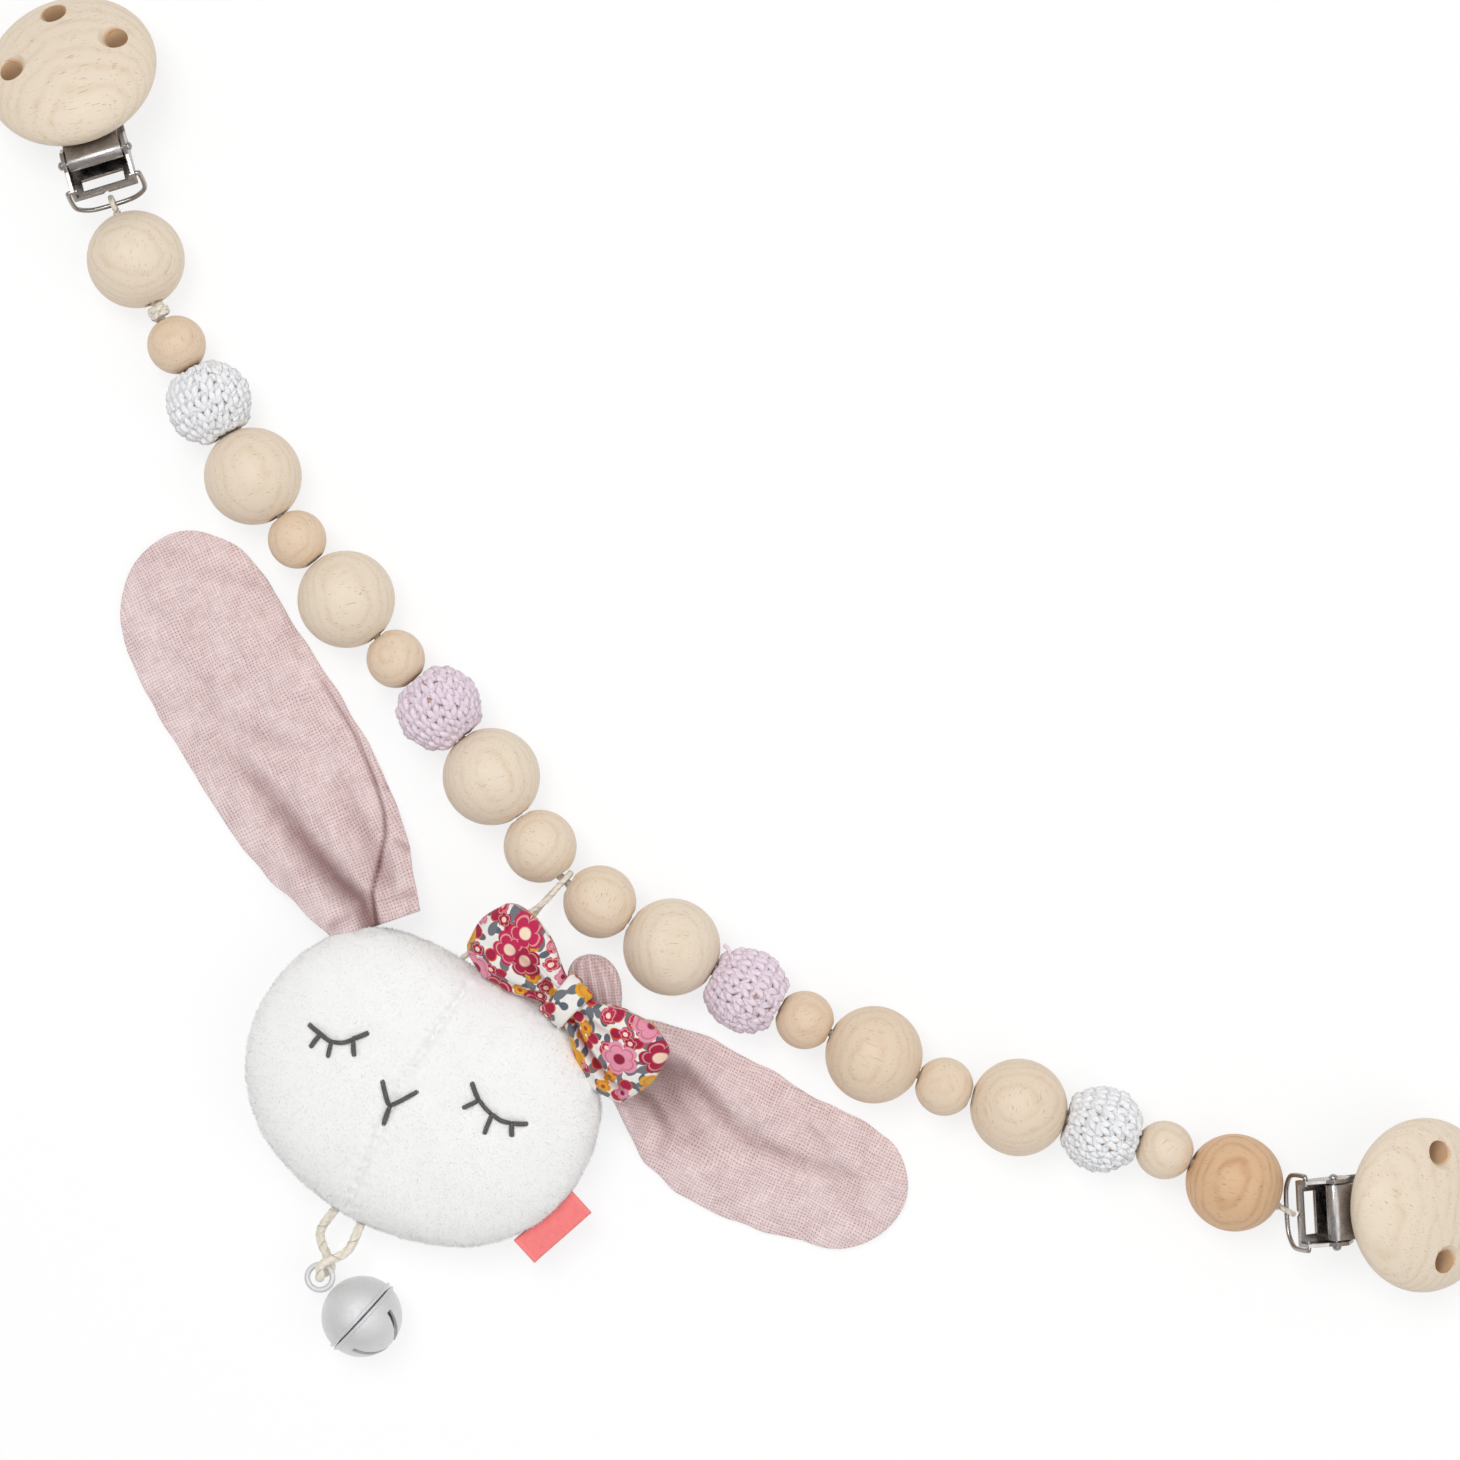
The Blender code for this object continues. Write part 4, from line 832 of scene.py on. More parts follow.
@dataclass(frozen=True)
class Yarn(Finish):
    """Twisted yarn, cord or thread. Its mesh keeps "along", in metres, and "round", as a share of a turn."""

    colour: tuple = linear(252, 252, 254)
    # shade: the darker colour, for painted shade in the grooves and for uneven fibres and specks
    shade: tuple = linear(249, 249, 251)
    pitch: float = 2.6
    lobes: int = 3
    fuzz: float = 0.3
    depth: float = 0.08
    soft: float = 0.15

    def write(self, nodes: ShadeWriter) -> None:
        """Grooves between the strands, with painted shade in them, and fibres along them.

        Args:
            nodes: the writer of the material's nodes.
        """
        along_it = nodes.times(nodes.kept("along").outputs["Fac"], 1.0 / (MM * self.pitch))
        round_it = nodes.kept("round").outputs["Fac"]
        turn = nodes.times(nodes.plus(round_it, along_it), math.tau * self.lobes)
        strand = nodes.math("MULTIPLY_ADD", nodes.math("COSINE", turn), 0.5, 0.5)
        fibre_place = nodes.join(nodes.times(along_it, 2.0), nodes.times(turn, 2.2), 0.0)
        fibre = nodes.noise(fibre_place, 1.6, 3.0, 0.7)
        speck = nodes.noise(nodes.place(), 1.7, 3.0, 0.6)
        # Painted shade: the colour darkens towards shade in the grooves between the strands; fibres and specks add
        # uneven tone of the yarn's own.
        groove = nodes.math("POWER", nodes.minus(1.0, strand), 1.8)
        amount = nodes.plus(nodes.times(groove, 0.55),
                            nodes.times(nodes.remap(fibre, 0.35, 0.7), self.fuzz), clamp=True)
        tinted = nodes.mix(amount, self.colour, self.shade)
        nodes.set("Base Color", nodes.mix(nodes.remap(speck, 0.35, 0.7, 0.0, 0.18), tinted, self.shade))
        nodes.set("Roughness", nodes.remap(fibre, 0.0, 1.0, 0.8, 0.97))
        nodes.set("Sheen Weight", 0.3)
        nodes.set("Sheen Roughness", 0.5)
        nodes.set("Specular IOR Level", 0.1)
        nodes.set("Subsurface Weight", self.soft)
        nodes.set("Subsurface Radius", (1.0, 0.9, 0.9))
        nodes.set("Subsurface Scale", 0.6 * MM)
        height = nodes.plus(strand, nodes.times(fibre, 0.45))
        nodes.set("Normal", nodes.bump(height, self.depth * MM, 0.9))


@dataclass(frozen=True)
class Velour(Finish):
    """Short white pile: soft clouds of light and shade, and a fine nap."""

    colour: tuple = linear(250, 250, 249)
    shade: tuple = linear(240, 239, 238)

    def write(self, nodes: ShadeWriter) -> None:
        """Clouds where the pile leans, and a nap as bump.

        Args:
            nodes: the writer of the material's nodes.
        """
        place = nodes.place()
        clouds = nodes.remap(nodes.noise(place, 0.16, 4.0, 0.6), 0.42, 0.62)
        nap = nodes.noise(nodes.wobble(place, 0.8, 0.5), 3.0, 4.0, 0.75)
        colour = nodes.mix(nodes.times(clouds, 0.15), self.colour, self.shade)
        nodes.set("Base Color", nodes.mix(nodes.remap(nap, 0.35, 0.7, 0.0, 0.25), colour, self.shade))
        nodes.set("Roughness", nodes.remap(nap, 0.2, 0.8, 0.85, 1.0))
        nodes.set("Sheen Weight", 0.45)
        nodes.set("Sheen Roughness", 0.45)
        nodes.set("Specular IOR Level", 0.15)
        nodes.set("Normal", nodes.bump(nodes.plus(nap, nodes.times(clouds, 0.3)), 0.12 * MM, 0.6))


@dataclass(frozen=True)
class Muslin(Finish):
    """Loose double muslin. Its mesh keeps its place on the cloth as "cloth", in millimetres."""

    colour: tuple = linear(242, 223, 222)
    thread: tuple = linear(218, 192, 192)
    # hole: the painted shade seen through the holes between the threads
    hole: tuple = linear(160, 126, 128)
    # the darker colour of the painted shade in the folds
    fold_shade_colour: tuple = linear(146, 112, 110)
    pitch: float = 0.66

    def write(self, nodes: ShadeWriter) -> None:
        """Two sets of threads with holes between them, drawn closer in places, and painted shade in the holes and the
        folds.

        Args:
            nodes: the writer of the material's nodes.
        """
        cloth = nodes.kept("cloth").outputs["Vector"]
        slow = nodes.wobble(cloth, 0.09, 3.0)
        u, v, _ = nodes.split(nodes.wobble(slow, 0.9, 0.35))
        warp, weft = (nodes.ridges(across, math.pi / self.pitch) for across in (u, v))
        gap = nodes.times(nodes.minus(1.0, warp), nodes.minus(1.0, weft))
        holes = nodes.remap(gap, 0.12, 0.55, smooth=True)
        patches = nodes.remap(nodes.noise(cloth, 0.14, 4.0, 0.65), 0.36, 0.66)
        streaks = nodes.noise(nodes.vector("MULTIPLY", cloth, (0.25, 2.4, 1.0)), 1.0, 2.0)
        cross = nodes.noise(nodes.vector("MULTIPLY", cloth, (2.4, 0.25, 1.0)), 1.0, 2.0)
        uneven = nodes.remap(nodes.plus(streaks, cross), 0.8, 1.2)
        base = nodes.mix(nodes.math("MULTIPLY_ADD", uneven, 0.6, nodes.times(patches, 0.4)),
                         self.colour, self.thread)
        # Painted shade in the holes between the threads, weaker in some patches.
        amount = nodes.times(holes, nodes.math("MULTIPLY_ADD", patches, 0.4, 0.45))
        woven = nodes.mix(amount, base, self.hole)
        # painted shade in the folds, from the mesh's fold_shade
        nodes.set("Base Color", nodes.folded(woven, self.fold_shade_colour))
        nodes.set("Roughness", nodes.remap(uneven, 0.0, 1.0, 0.86, 0.97))
        nodes.set("Sheen Weight", 0.35)
        nodes.set("Sheen Roughness", 0.5)
        nodes.set("Specular IOR Level", 0.15)
        height = nodes.plus(nodes.math("MAXIMUM", warp, weft), nodes.times(patches, 0.6))
        nodes.set("Normal", nodes.bump(height, 0.13 * MM, 0.85))


@dataclass(frozen=True)
class Floral(Finish):
    """White cotton lawn with a plain print of small flowers, berries and leaves, made for this toy.

    Its mesh keeps its place on the cloth as "cloth", in millimetres.
    """

    ground: tuple = linear(243, 239, 234)
    petals: tuple = (linear(168, 22, 66), linear(232, 150, 172), linear(232, 168, 44), linear(196, 34, 84))
    hearts: tuple = (linear(246, 214, 190), linear(150, 20, 60), linear(196, 70, 40), linear(250, 226, 200))
    leaf: tuple = linear(92, 100, 112)
    pale_leaf: tuple = linear(112, 116, 122)
    berry: tuple = linear(222, 92, 48)
    thread: tuple = linear(120, 104, 104)
    # the darker colour of the painted shade in the folds
    fold_shade_colour: tuple = linear(150, 70, 84)
    flower_size: float = 8.4
    weave: float = 12.0

    def cells(self, nodes: ShadeWriter, cloth: Any, size: float, offset: float) -> tuple[Any, Any, Any]:
        """Random places on the cloth.

        Args:
            nodes: the material's nodes.
            cloth: the place on the cloth.
            size: the usual distance between two places.
            offset: a shift that makes each set of places its own.

        Returns:
            The distance from the nearest place in shares of `size`, the direction from it and its own number.
        """
        shifted = nodes.vector("ADD", cloth, (offset, offset * 0.37, 0.0))
        flat = nodes.vector("MULTIPLY", shifted, (1.0 / size, 1.0 / size, 0.0))
        node = nodes.add("ShaderNodeTexVoronoi", voronoi_dimensions="2D", feature="F1")
        nodes.put(node.inputs["Vector"], flat)
        nodes.put(node.inputs["Scale"], 1.0)
        nodes.put(node.inputs["Randomness"], 0.72)
        x, y, _ = nodes.split(nodes.vector("SUBTRACT", flat, node.outputs["Position"]))
        own, _, _ = nodes.split(node.outputs["Color"])
        return node.outputs["Distance"], nodes.math("ARCTAN2", y, x), own

    def write(self, nodes: ShadeWriter) -> None:
        """Layers of leaves, small blossoms, berries and larger blossoms over the white ground.

        Args:
            nodes: the writer of the material's nodes.
        """
        cloth = nodes.kept("cloth").outputs["Vector"]
        colour: Any = self.ground
        colour = self.leaves(nodes, cloth, colour, 4.6, 11.3, self.leaf)
        colour = self.leaves(nodes, cloth, colour, 6.4, 47.9, self.pale_leaf)
        colour = self.berries(nodes, cloth, colour)
        colour = self.blossoms(nodes, cloth, colour, self.flower_size * 0.6, 71.0, 5, 0.33, 0.75)
        colour = self.blossoms(nodes, cloth, colour, self.flower_size, 3.7, 5, 0.47, 0.5)
        u, v, _ = nodes.split(cloth)
        weave = nodes.math("MAXIMUM", nodes.ridges(u, self.weave), nodes.ridges(v, self.weave))
        # Painted shade in the gaps between the threads of the weave.
        woven = nodes.mix(nodes.remap(weave, 0.2, 0.9, 0.12, 0.0), colour, self.thread)
        # painted shade in the folds, from the mesh's fold_shade
        nodes.set("Base Color", nodes.folded(woven, self.fold_shade_colour))
        nodes.set("Roughness", nodes.remap(weave, 0.0, 1.0, 0.9, 0.72))
        nodes.set("Sheen Weight", 0.15)
        nodes.set("Specular IOR Level", 0.25)
        nodes.set("Normal", nodes.bump(weave, 0.05 * MM, 0.7))

    def berries(self, nodes: ShadeWriter, cloth: Any, under: Any) -> Any:
        """Round crimson berries, each with an orange rim.

        Args:
            nodes: the writer of the material's nodes.
            cloth: the place on the cloth, in millimetres.
            under: the colour that the print lies on.

        Returns:
            The printed colour's socket.
        """
        distance, _, own = self.cells(nodes, cloth, 4.4, 29.0)
        shown = nodes.math("GREATER_THAN", own, 0.3)
        rim = nodes.times(nodes.remap(distance, 0.34, 0.31), shown)
        middle = nodes.times(nodes.remap(distance, 0.28, 0.25), shown)
        return nodes.mix(middle, nodes.mix(rim, under, self.berry), self.petals[0])

    def leaves(self, nodes: ShadeWriter, cloth: Any, under: Any, size: float, offset: float,
               leaf: tuple) -> Any:
        """Slim leaves, each turned its own way.

        Args:
            nodes: the writer of the material's nodes.
            cloth: the place on the cloth, in millimetres.
            under: the colour that the print lies on.
            size: the width of a place in the pattern, in millimetres.
            offset: a shift of the pattern, so that no two kinds line up.
            leaf: the leaves' colour.

        Returns:
            The printed colour's socket.
        """
        distance, turn, own = self.cells(nodes, cloth, size, offset)
        lean = nodes.times(own, math.tau)
        slim = nodes.math("ABSOLUTE", nodes.math("COSINE", nodes.plus(turn, lean)))
        reach = nodes.math("MULTIPLY_ADD", nodes.math("POWER", slim, 4.0), 0.42, 0.07)
        shown = nodes.remap(nodes.minus(distance, reach), 0.02, -0.02)
        return nodes.mix(shown, under, leaf)

    def blossoms(self, nodes: ShadeWriter, cloth: Any, under: Any, size: float, offset: float,
                 petals: int, reach: float, many: float) -> Any:
        """Round-petalled blossoms with a heart, each in one of the print's colours, in some of the places.

        Args:
            nodes: the writer of the material's nodes.
            cloth: the place on the cloth, in millimetres.
            under: the colour that the print lies on.
            size: the width of a place in the pattern, in millimetres.
            offset: a shift of the pattern, so that no two kinds line up.
            petals: how many petals each has.
            reach: a petal's length, as a share of a place.
            many: the share of places that hold one.

        Returns:
            The printed colour's socket.
        """
        distance, turn, own = self.cells(nodes, cloth, size, offset)
        waved = nodes.math("MULTIPLY_ADD", own, 7.0, nodes.times(turn, petals / 2))
        lobe = nodes.math("ABSOLUTE", nodes.math("COSINE", waved))
        rim = nodes.math("MULTIPLY_ADD", nodes.math("POWER", lobe, 0.5), reach * 0.4, reach * 0.62)
        inside = nodes.remap(nodes.minus(distance, rim), 0.015, -0.015)
        petal = self.choice(nodes, own, self.petals)
        heart = self.choice(nodes, own, self.hearts)
        line = nodes.remap(nodes.math("ABSOLUTE", nodes.minus(distance, nodes.times(rim, 0.78))),
                           0.03, 0.01)
        petal = nodes.mix(nodes.times(line, 0.45), petal, heart)
        petal = nodes.mix(nodes.remap(distance, reach * 0.36, reach * 0.28), petal, heart)
        chosen = nodes.math("LESS_THAN", nodes.math("FRACT", nodes.times(own, 7.31)), many)
        return nodes.mix(nodes.times(inside, chosen), under, petal)

    def choice(self, nodes: ShadeWriter, own: Any, colours: Sequence[tuple]) -> Any:
        """One of the colours, by a place's own number.

        Args:
            nodes: the writer of the material's nodes.
            own: the place's own number, from 0 to 1.
            colours: the colours to choose from.

        Returns:
            The chosen colour's socket.
        """
        found: Any = colours[0]
        for number, colour in enumerate(colours[1:], 1):
            found = nodes.mix(nodes.math("GREATER_THAN", own, number / len(colours)), found, colour)
        return found


@dataclass(frozen=True)
class Ribbon(Finish):
    """Woven coral ribbon with close ribs. Its mesh keeps "cloth", in millimetres."""

    colour: tuple = linear(252, 134, 132)
    shade: tuple = linear(240, 106, 108)
    rib_spacing: float = 0.42
    pick_spacing: float = 0.3

    def write(self, nodes: ShadeWriter) -> None:
        """Ribs along the ribbon with painted shade between them, and a tighter edge.

        Args:
            nodes: the writer of the material's nodes.
        """
        cloth = nodes.kept("cloth").outputs["Vector"]
        u, v, _ = nodes.split(cloth)
        rib = nodes.ridges(v, math.pi / self.rib_spacing)
        pick = nodes.ridges(u, math.pi / self.pick_spacing)
        uneven = nodes.noise(cloth, 0.8, 3.0)
        # Painted shade between the ribs, and uneven patches of the ribbon's own darker tone.
        amount = nodes.plus(nodes.remap(rib, 0.1, 0.7, 0.7, 0.0), nodes.remap(uneven, 0.4, 0.7, 0.0, 0.3),
                            clamp=True)
        edge = nodes.remap(nodes.math("ABSOLUTE", v), 6.9, 7.1)
        nodes.set("Base Color", nodes.mix(edge, nodes.mix(amount, self.colour, self.shade), self.colour))
        nodes.set("Roughness", nodes.remap(pick, 0.0, 1.0, 0.6, 0.45))
        nodes.set("Sheen Weight", 0.3)
        height = nodes.plus(rib, nodes.times(pick, 0.4))
        nodes.set("Normal", nodes.bump(height, 0.05 * MM, 0.8))


@dataclass(frozen=True)
class Moulded(Finish):
    """Milky moulded plastic."""

    colour: tuple = linear(236, 232, 222)
    cloud: tuple = linear(214, 208, 194)

    def write(self, nodes: ShadeWriter) -> None:
        """A little cloudiness and a fine mould skin.

        Args:
            nodes: the writer of the material's nodes.
        """
        place = nodes.place()
        cloud = nodes.noise(place, 0.6, 3.0)
        skin = nodes.noise(place, 6.0, 3.0)
        nodes.set("Base Color", nodes.mix(nodes.remap(cloud, 0.4, 0.65, 0.0, 0.5), self.colour, self.cloud))
        nodes.set("Roughness", nodes.remap(skin, 0.3, 0.7, 0.32, 0.45))
        nodes.set("Subsurface Weight", 0.15)
        nodes.set("Normal", nodes.bump(skin, 0.02 * MM, 0.5))


@dataclass(frozen=True)
class Tabletop(Finish):
    """A plain pale floor: white to the camera and in reflections, with the object's shadow on it."""

    shadow_share: float = 0.24

    def write(self, nodes: ShadeWriter) -> None:
        """Glow for the camera's and the reflected rays, mixed with a plain white that takes shadows.

        Args:
            nodes: the writer of the material's nodes.
        """
        rays = nodes.add("ShaderNodeLightPath")
        seen = nodes.math("MAXIMUM", rays.outputs["Is Camera Ray"], nodes.math(
            "MAXIMUM", rays.outputs["Is Glossy Ray"], rays.outputs["Is Transmission Ray"]))
        glow = nodes.add("ShaderNodeEmission")
        nodes.put(glow.inputs["Strength"], 1.0)
        nodes.set("Base Color", (1.0, 1.0, 1.0, 1.0))
        nodes.set("Roughness", 1.0)
        nodes.set("Specular IOR Level", 0.0)
        blend = nodes.add("ShaderNodeMixShader")
        nodes.put(blend.inputs[0], nodes.times(seen, 1.0 - self.shadow_share))
        nodes.put(blend.inputs[1], nodes.shader.outputs[0])
        nodes.put(blend.inputs[2], glow.outputs[0])
        nodes.put(nodes.tree.nodes["Material Output"].inputs["Surface"], blend.outputs[0])


BEECH = Beech("Sanded beech")
STEEL = Metal("Nickel plated steel")
BELL_METAL = Metal("Scuffed bell steel", colour=linear(236, 236, 237), rough=0.62, scuff=0.12, pits=0.08)
WHITE_YARN = Yarn("White crochet cotton")
LILAC_YARN = Yarn("Lilac crochet cotton", colour=linear(248, 232, 242), shade=linear(238, 216, 230))
COTTON_CORD = Yarn("Cream cotton cord", colour=linear(247, 241, 228), shade=linear(222, 211, 188), pitch=4.0,
                   fuzz=0.2, depth=0.1)
FACE_THREAD = Yarn("Dark grey thread", colour=linear(122, 118, 117), shade=linear(66, 64, 65), pitch=3.0, soft=0.0)
PILE = Velour("White velour")
EAR_MUSLIN = Muslin("Dusty pink muslin")
BOW_COTTON = Floral("Flower print cotton")
CORAL = Ribbon("Coral ribbon")
JAW_PLASTIC = Moulded("Milky jaw plastic")


# Geometry Nodes

class SweptTree:
    """A Geometry Nodes tree with named inputs, whose result becomes a plain mesh."""

    title = "Tree"
    inputs: dict[str, str] = {}

    def __init__(self) -> None:
        """Make the tree once."""
        self.group = bpy.data.node_groups.new(self.title, "GeometryNodeTree")
        self.nodes = NodeWriter(self.group)
        interface = self.group.interface
        interface.new_socket("Geometry", in_out="INPUT", socket_type="NodeSocketGeometry")
        for name, kind in self.inputs.items():
            interface.new_socket(name, in_out="INPUT", socket_type=f"NodeSocket{kind}")
        interface.new_socket("Geometry", in_out="OUTPUT", socket_type="NodeSocketGeometry")
        self.given = self.nodes.add("NodeGroupInput").outputs
        self.finish_tree(self.build())

    def build(self) -> bpy.types.NodeSocket:
        """Add the tree's own nodes, and return the geometry that they make."""
        raise NotImplementedError

    def finish_tree(self, geometry: bpy.types.NodeSocket) -> None:
        """End the tree in real geometry with its material.

        Args:
            geometry: the tree's geometry so far.
        """
        real = self.nodes.add("GeometryNodeRealizeInstances", {"Geometry": geometry})
        smooth = self.nodes.add("GeometryNodeSetShadeSmooth", {"Geometry": real.outputs[0]})
        painted = self.nodes.add("GeometryNodeSetMaterial",
                                 {"Geometry": smooth.outputs[0], "Material": self.given["Material"]})
        self.nodes.add("NodeGroupOutput", {0: painted.outputs[0]})

    def grow(self, obj: bpy.types.Object, values: dict[str, Any]) -> bpy.types.Object:
        """Run the tree on an object, and keep what it makes as the object's mesh.

        Args:
            obj: the object whose mesh the tree starts from.
            values: the tree's inputs by name.

        Returns:
            The same object, with the result as a plain mesh.
        """
        modifier = obj.modifiers.new(self.title, "NODES")
        modifier.node_group = self.group
        for item in self.group.interface.items_tree:
            if item.item_type == "SOCKET" and item.in_out == "INPUT" and item.name in values:
                modifier[item.identifier] = values[item.name]
        bake(obj)
        return obj


class StrandTree(SweptTree):
    """Sweeps a twisted strand along each line of a mesh of edges."""

    title = "Twisted strand"
    inputs = {"Radius": "Float", "Lobes": "Int", "Depth": "Float", "Pitch": "Float", "Step": "Float",
              "Sides": "Int", "Material": "Material"}

    def build(self) -> bpy.types.NodeSocket:
        """Resample the lines, tilt them along their length and sweep a lobed ring along them.

        Returns:
            The geometry's socket.
        """
        nodes, given = self.nodes, self.given
        lines = nodes.add("GeometryNodeMeshToCurve", {0: given["Geometry"]})
        even = nodes.add("GeometryNodeResampleCurve", {"Curve": lines.outputs[0], "Length": given["Step"]},
                         mode="LENGTH")
        place = nodes.add("GeometryNodeSplineParameter")
        tilt = nodes.times(nodes.math("DIVIDE", place.outputs["Length"], given["Pitch"]), math.tau)
        tilted = nodes.add("GeometryNodeSetCurveTilt", {"Curve": even.outputs[0], "Tilt": tilt})
        path = self.remember(tilted.outputs[0], "along", place.outputs["Length"])
        ring = nodes.add("GeometryNodeCurvePrimitiveCircle",
                         {"Resolution": given["Sides"], "Radius": given["Radius"]}, mode="RADIUS")
        angle = nodes.times(nodes.times(place.outputs["Factor"], math.tau), given["Lobes"])
        swell = nodes.times(nodes.minus(nodes.math("COSINE", angle), 1.0), given["Depth"])
        out = nodes.vector("SCALE", nodes.add("GeometryNodeInputPosition").outputs[0], swell)
        lobed = nodes.add("GeometryNodeSetPosition", {"Geometry": ring.outputs[0], "Offset": out})
        profile = self.remember(lobed.outputs[0], "round", place.outputs["Factor"])
        swept = nodes.add("GeometryNodeCurveToMesh", {"Curve": path, "Profile Curve": profile, "Fill Caps": True})
        return swept.outputs[0]

    def remember(self, geometry: bpy.types.NodeSocket, name: str, value: Any) -> bpy.types.NodeSocket:
        """Keep a number for each point, for the material to read.

        Args:
            geometry: the curve so far.
            name: the attribute's name.
            value: the number.

        Returns:
            The geometry's socket.
        """
        kept = self.nodes.add("GeometryNodeStoreNamedAttribute",
                              {"Geometry": geometry, "Name": name, "Value": value},
                              data_type="FLOAT", domain="POINT")
        return kept.outputs[0]


class StitchTree(SweptTree):
    """Puts one stitch on each point, turned and stretched as the points say."""

    title = "Stitches on points"
    inputs = {"Stitch": "Object", "Material": "Material"}

    def build(self) -> bpy.types.NodeSocket:
        """Read each point's turn and stretch, and put the stitch there.

        Returns:
            The geometry's socket.
        """
        nodes, given = self.nodes, self.given
        stitch = nodes.add("GeometryNodeObjectInfo", {"Object": given["Stitch"], "As Instance": True})
        turn, stretch = (nodes.add("GeometryNodeInputNamedAttribute", {"Name": name}, data_type="FLOAT_VECTOR")
                         for name in ("turn", "stretch"))
        spread = nodes.add("GeometryNodeInstanceOnPoints", {
            "Points": given["Geometry"], "Instance": stitch.outputs["Geometry"],
            "Rotation": turn.outputs["Attribute"], "Scale": stretch.outputs["Attribute"],
        })
        return spread.outputs[0]


class PileTree(SweptTree):
    """Grows short fibres from the faces of a surface."""

    title = "Short pile"
    least_size = 0.55
    most_size = 1.1
    inputs = {"Density": "Float", "Length": "Float", "Thickness": "Float", "Lean": "Float", "Seed": "Int",
              "Material": "Material"}

    def build(self) -> bpy.types.NodeSocket:
        """Scatter points, and put a slim spike on each that leans a little its own way.

        Returns:
            The geometry's socket.
        """
        nodes, given = self.nodes, self.given
        scatter = nodes.add("GeometryNodeDistributePointsOnFaces", {
            "Mesh": given["Geometry"], "Density": given["Density"], "Seed": given["Seed"],
        }, distribute_method="RANDOM")
        spike = nodes.add("GeometryNodeMeshCone", {
            "Vertices": 3, "Radius Top": 0.0, "Radius Bottom": given["Thickness"], "Depth": given["Length"],
        }, fill_type="NONE")
        back = nodes.times(given["Lean"], -1.0)
        least, most = nodes.join(back, back, 0.0), nodes.join(given["Lean"], given["Lean"], math.tau)
        lean = self.chance("FLOAT_VECTOR", {0: least, 1: most})
        leaned = nodes.add("FunctionNodeRotateRotation", {0: scatter.outputs["Rotation"], 1: lean.outputs[0]},
                           rotation_space="LOCAL")
        size = self.chance("FLOAT", {2: self.least_size, 3: self.most_size})
        spread = nodes.add("GeometryNodeInstanceOnPoints", {
            "Points": scatter.outputs["Points"], "Instance": spike.outputs["Mesh"],
            "Rotation": leaned.outputs[0], "Scale": size.outputs[1],
        })
        return spread.outputs[0]

    def chance(self, kind: str, limits: dict[int, Any]) -> bpy.types.Node:
        """A random value for each fibre.

        Args:
            kind: the value's type.
            limits: its least and greatest value, by the numbers of their inputs.

        Returns:
            The node that gives it.
        """
        return self.nodes.add("FunctionNodeRandomValue", {**limits, "Seed": self.given["Seed"]}, data_type=kind)


@dataclass(frozen=True)
class Strand:
    """The size and twist of a yarn, a cord, a thread or a plain wire."""

    finish: Finish
    radius: float
    lobes: int = 3
    depth: float = 0.09
    pitch: float = 4.0 * MM
    step: float = 0.35 * MM
    sides: int = 18


def plain_wire(finish: Finish, radius: float, step: float, sides: int) -> Strand:
    """A round wire without a twist."""
    return Strand(finish, radius, lobes=1, depth=0.0, pitch=1.0, step=step, sides=sides)


class Maker:
    """The Geometry Nodes trees, and the pieces that they make."""

    def __init__(self) -> None:
        """Make each tree once."""
        self.strands = StrandTree()
        self.stitches = StitchTree()
        self.pile = PileTree()

    def sweep(self, name: str, lines: Sequence[Sequence[Vector]], strand: Strand,
              closed: bool = False) -> bpy.types.Object:
        """A strand swept along lines.

        Args:
            name: the piece's name.
            lines: each line's points, in the row frame.
            strand: the strand's size and twist.
            closed: whether each line's end joins its start.

        Returns:
            The piece as one plain mesh.
        """
        points: list[tuple[float, ...]] = []
        edges: list[tuple[int, int]] = []
        for line in lines:
            first = len(points)
            points += [tuple(point) for point in line]
            edges += [(number, number + 1) for number in range(first, len(points) - 1)]
            if closed:
                edges.append((len(points) - 1, first))
        mesh = bpy.data.meshes.new(name)
        mesh.from_pydata(points, edges, [])
        return self.strands.grow(link(name, mesh), {
            "Radius": strand.radius, "Lobes": strand.lobes, "Depth": strand.depth, "Pitch": strand.pitch,
            "Step": strand.step, "Sides": strand.sides, "Material": strand.finish.material(),
        })

    def stitch(self, name: str, places: np.ndarray, turns: np.ndarray, stretches: np.ndarray,
               stitch: bpy.types.Object, finish: Finish) -> bpy.types.Object:
        """One stitch put on many places.

        Args:
            name: the piece's name.
            places: the places, one row each.
            turns: each place's turn as XYZ angles.
            stretches: each place's stretch along the stitch's own axes.
            stitch: the stitch, at the origin.
            finish: what it is made of.

        Returns:
            The piece as one plain mesh.
        """
        mesh = bpy.data.meshes.new(name)
        mesh.from_pydata([tuple(place) for place in places], [], [])
        store(mesh, "turn", turns)
        store(mesh, "stretch", stretches)
        return self.stitches.grow(link(name, mesh), {"Stitch": stitch, "Material": finish.material()})


# The chain

class BeadSize(Enum):
    """A wooden bead's radius."""

    LARGE = 10.0 * MM
    MEDIUM = 7.5 * MM
    SMALL = 6.0 * MM


def joint_place(name: str) -> Vector:
    """Where a joint is, in the row frame."""
    return Vector(next(joint["pos_m"] for joint in frame["joints"] if joint["name"] == name))


def joint_axis(name: str) -> Vector:
    """A joint's axis, in the row frame."""
    return Vector(next(joint["axis"] for joint in frame["joints"] if joint["name"] == name)).normalized()


def bead_frame(number: int) -> Matrix:
    """The frame of a bead, whose X axis is the cord that it spins on."""
    axis = joint_axis(f"bead_{number:02d}_spin")
    return frame_of(joint_place(f"bead_{number:02d}_spin"), axis, Vector((0, 0, 1)).cross(axis))


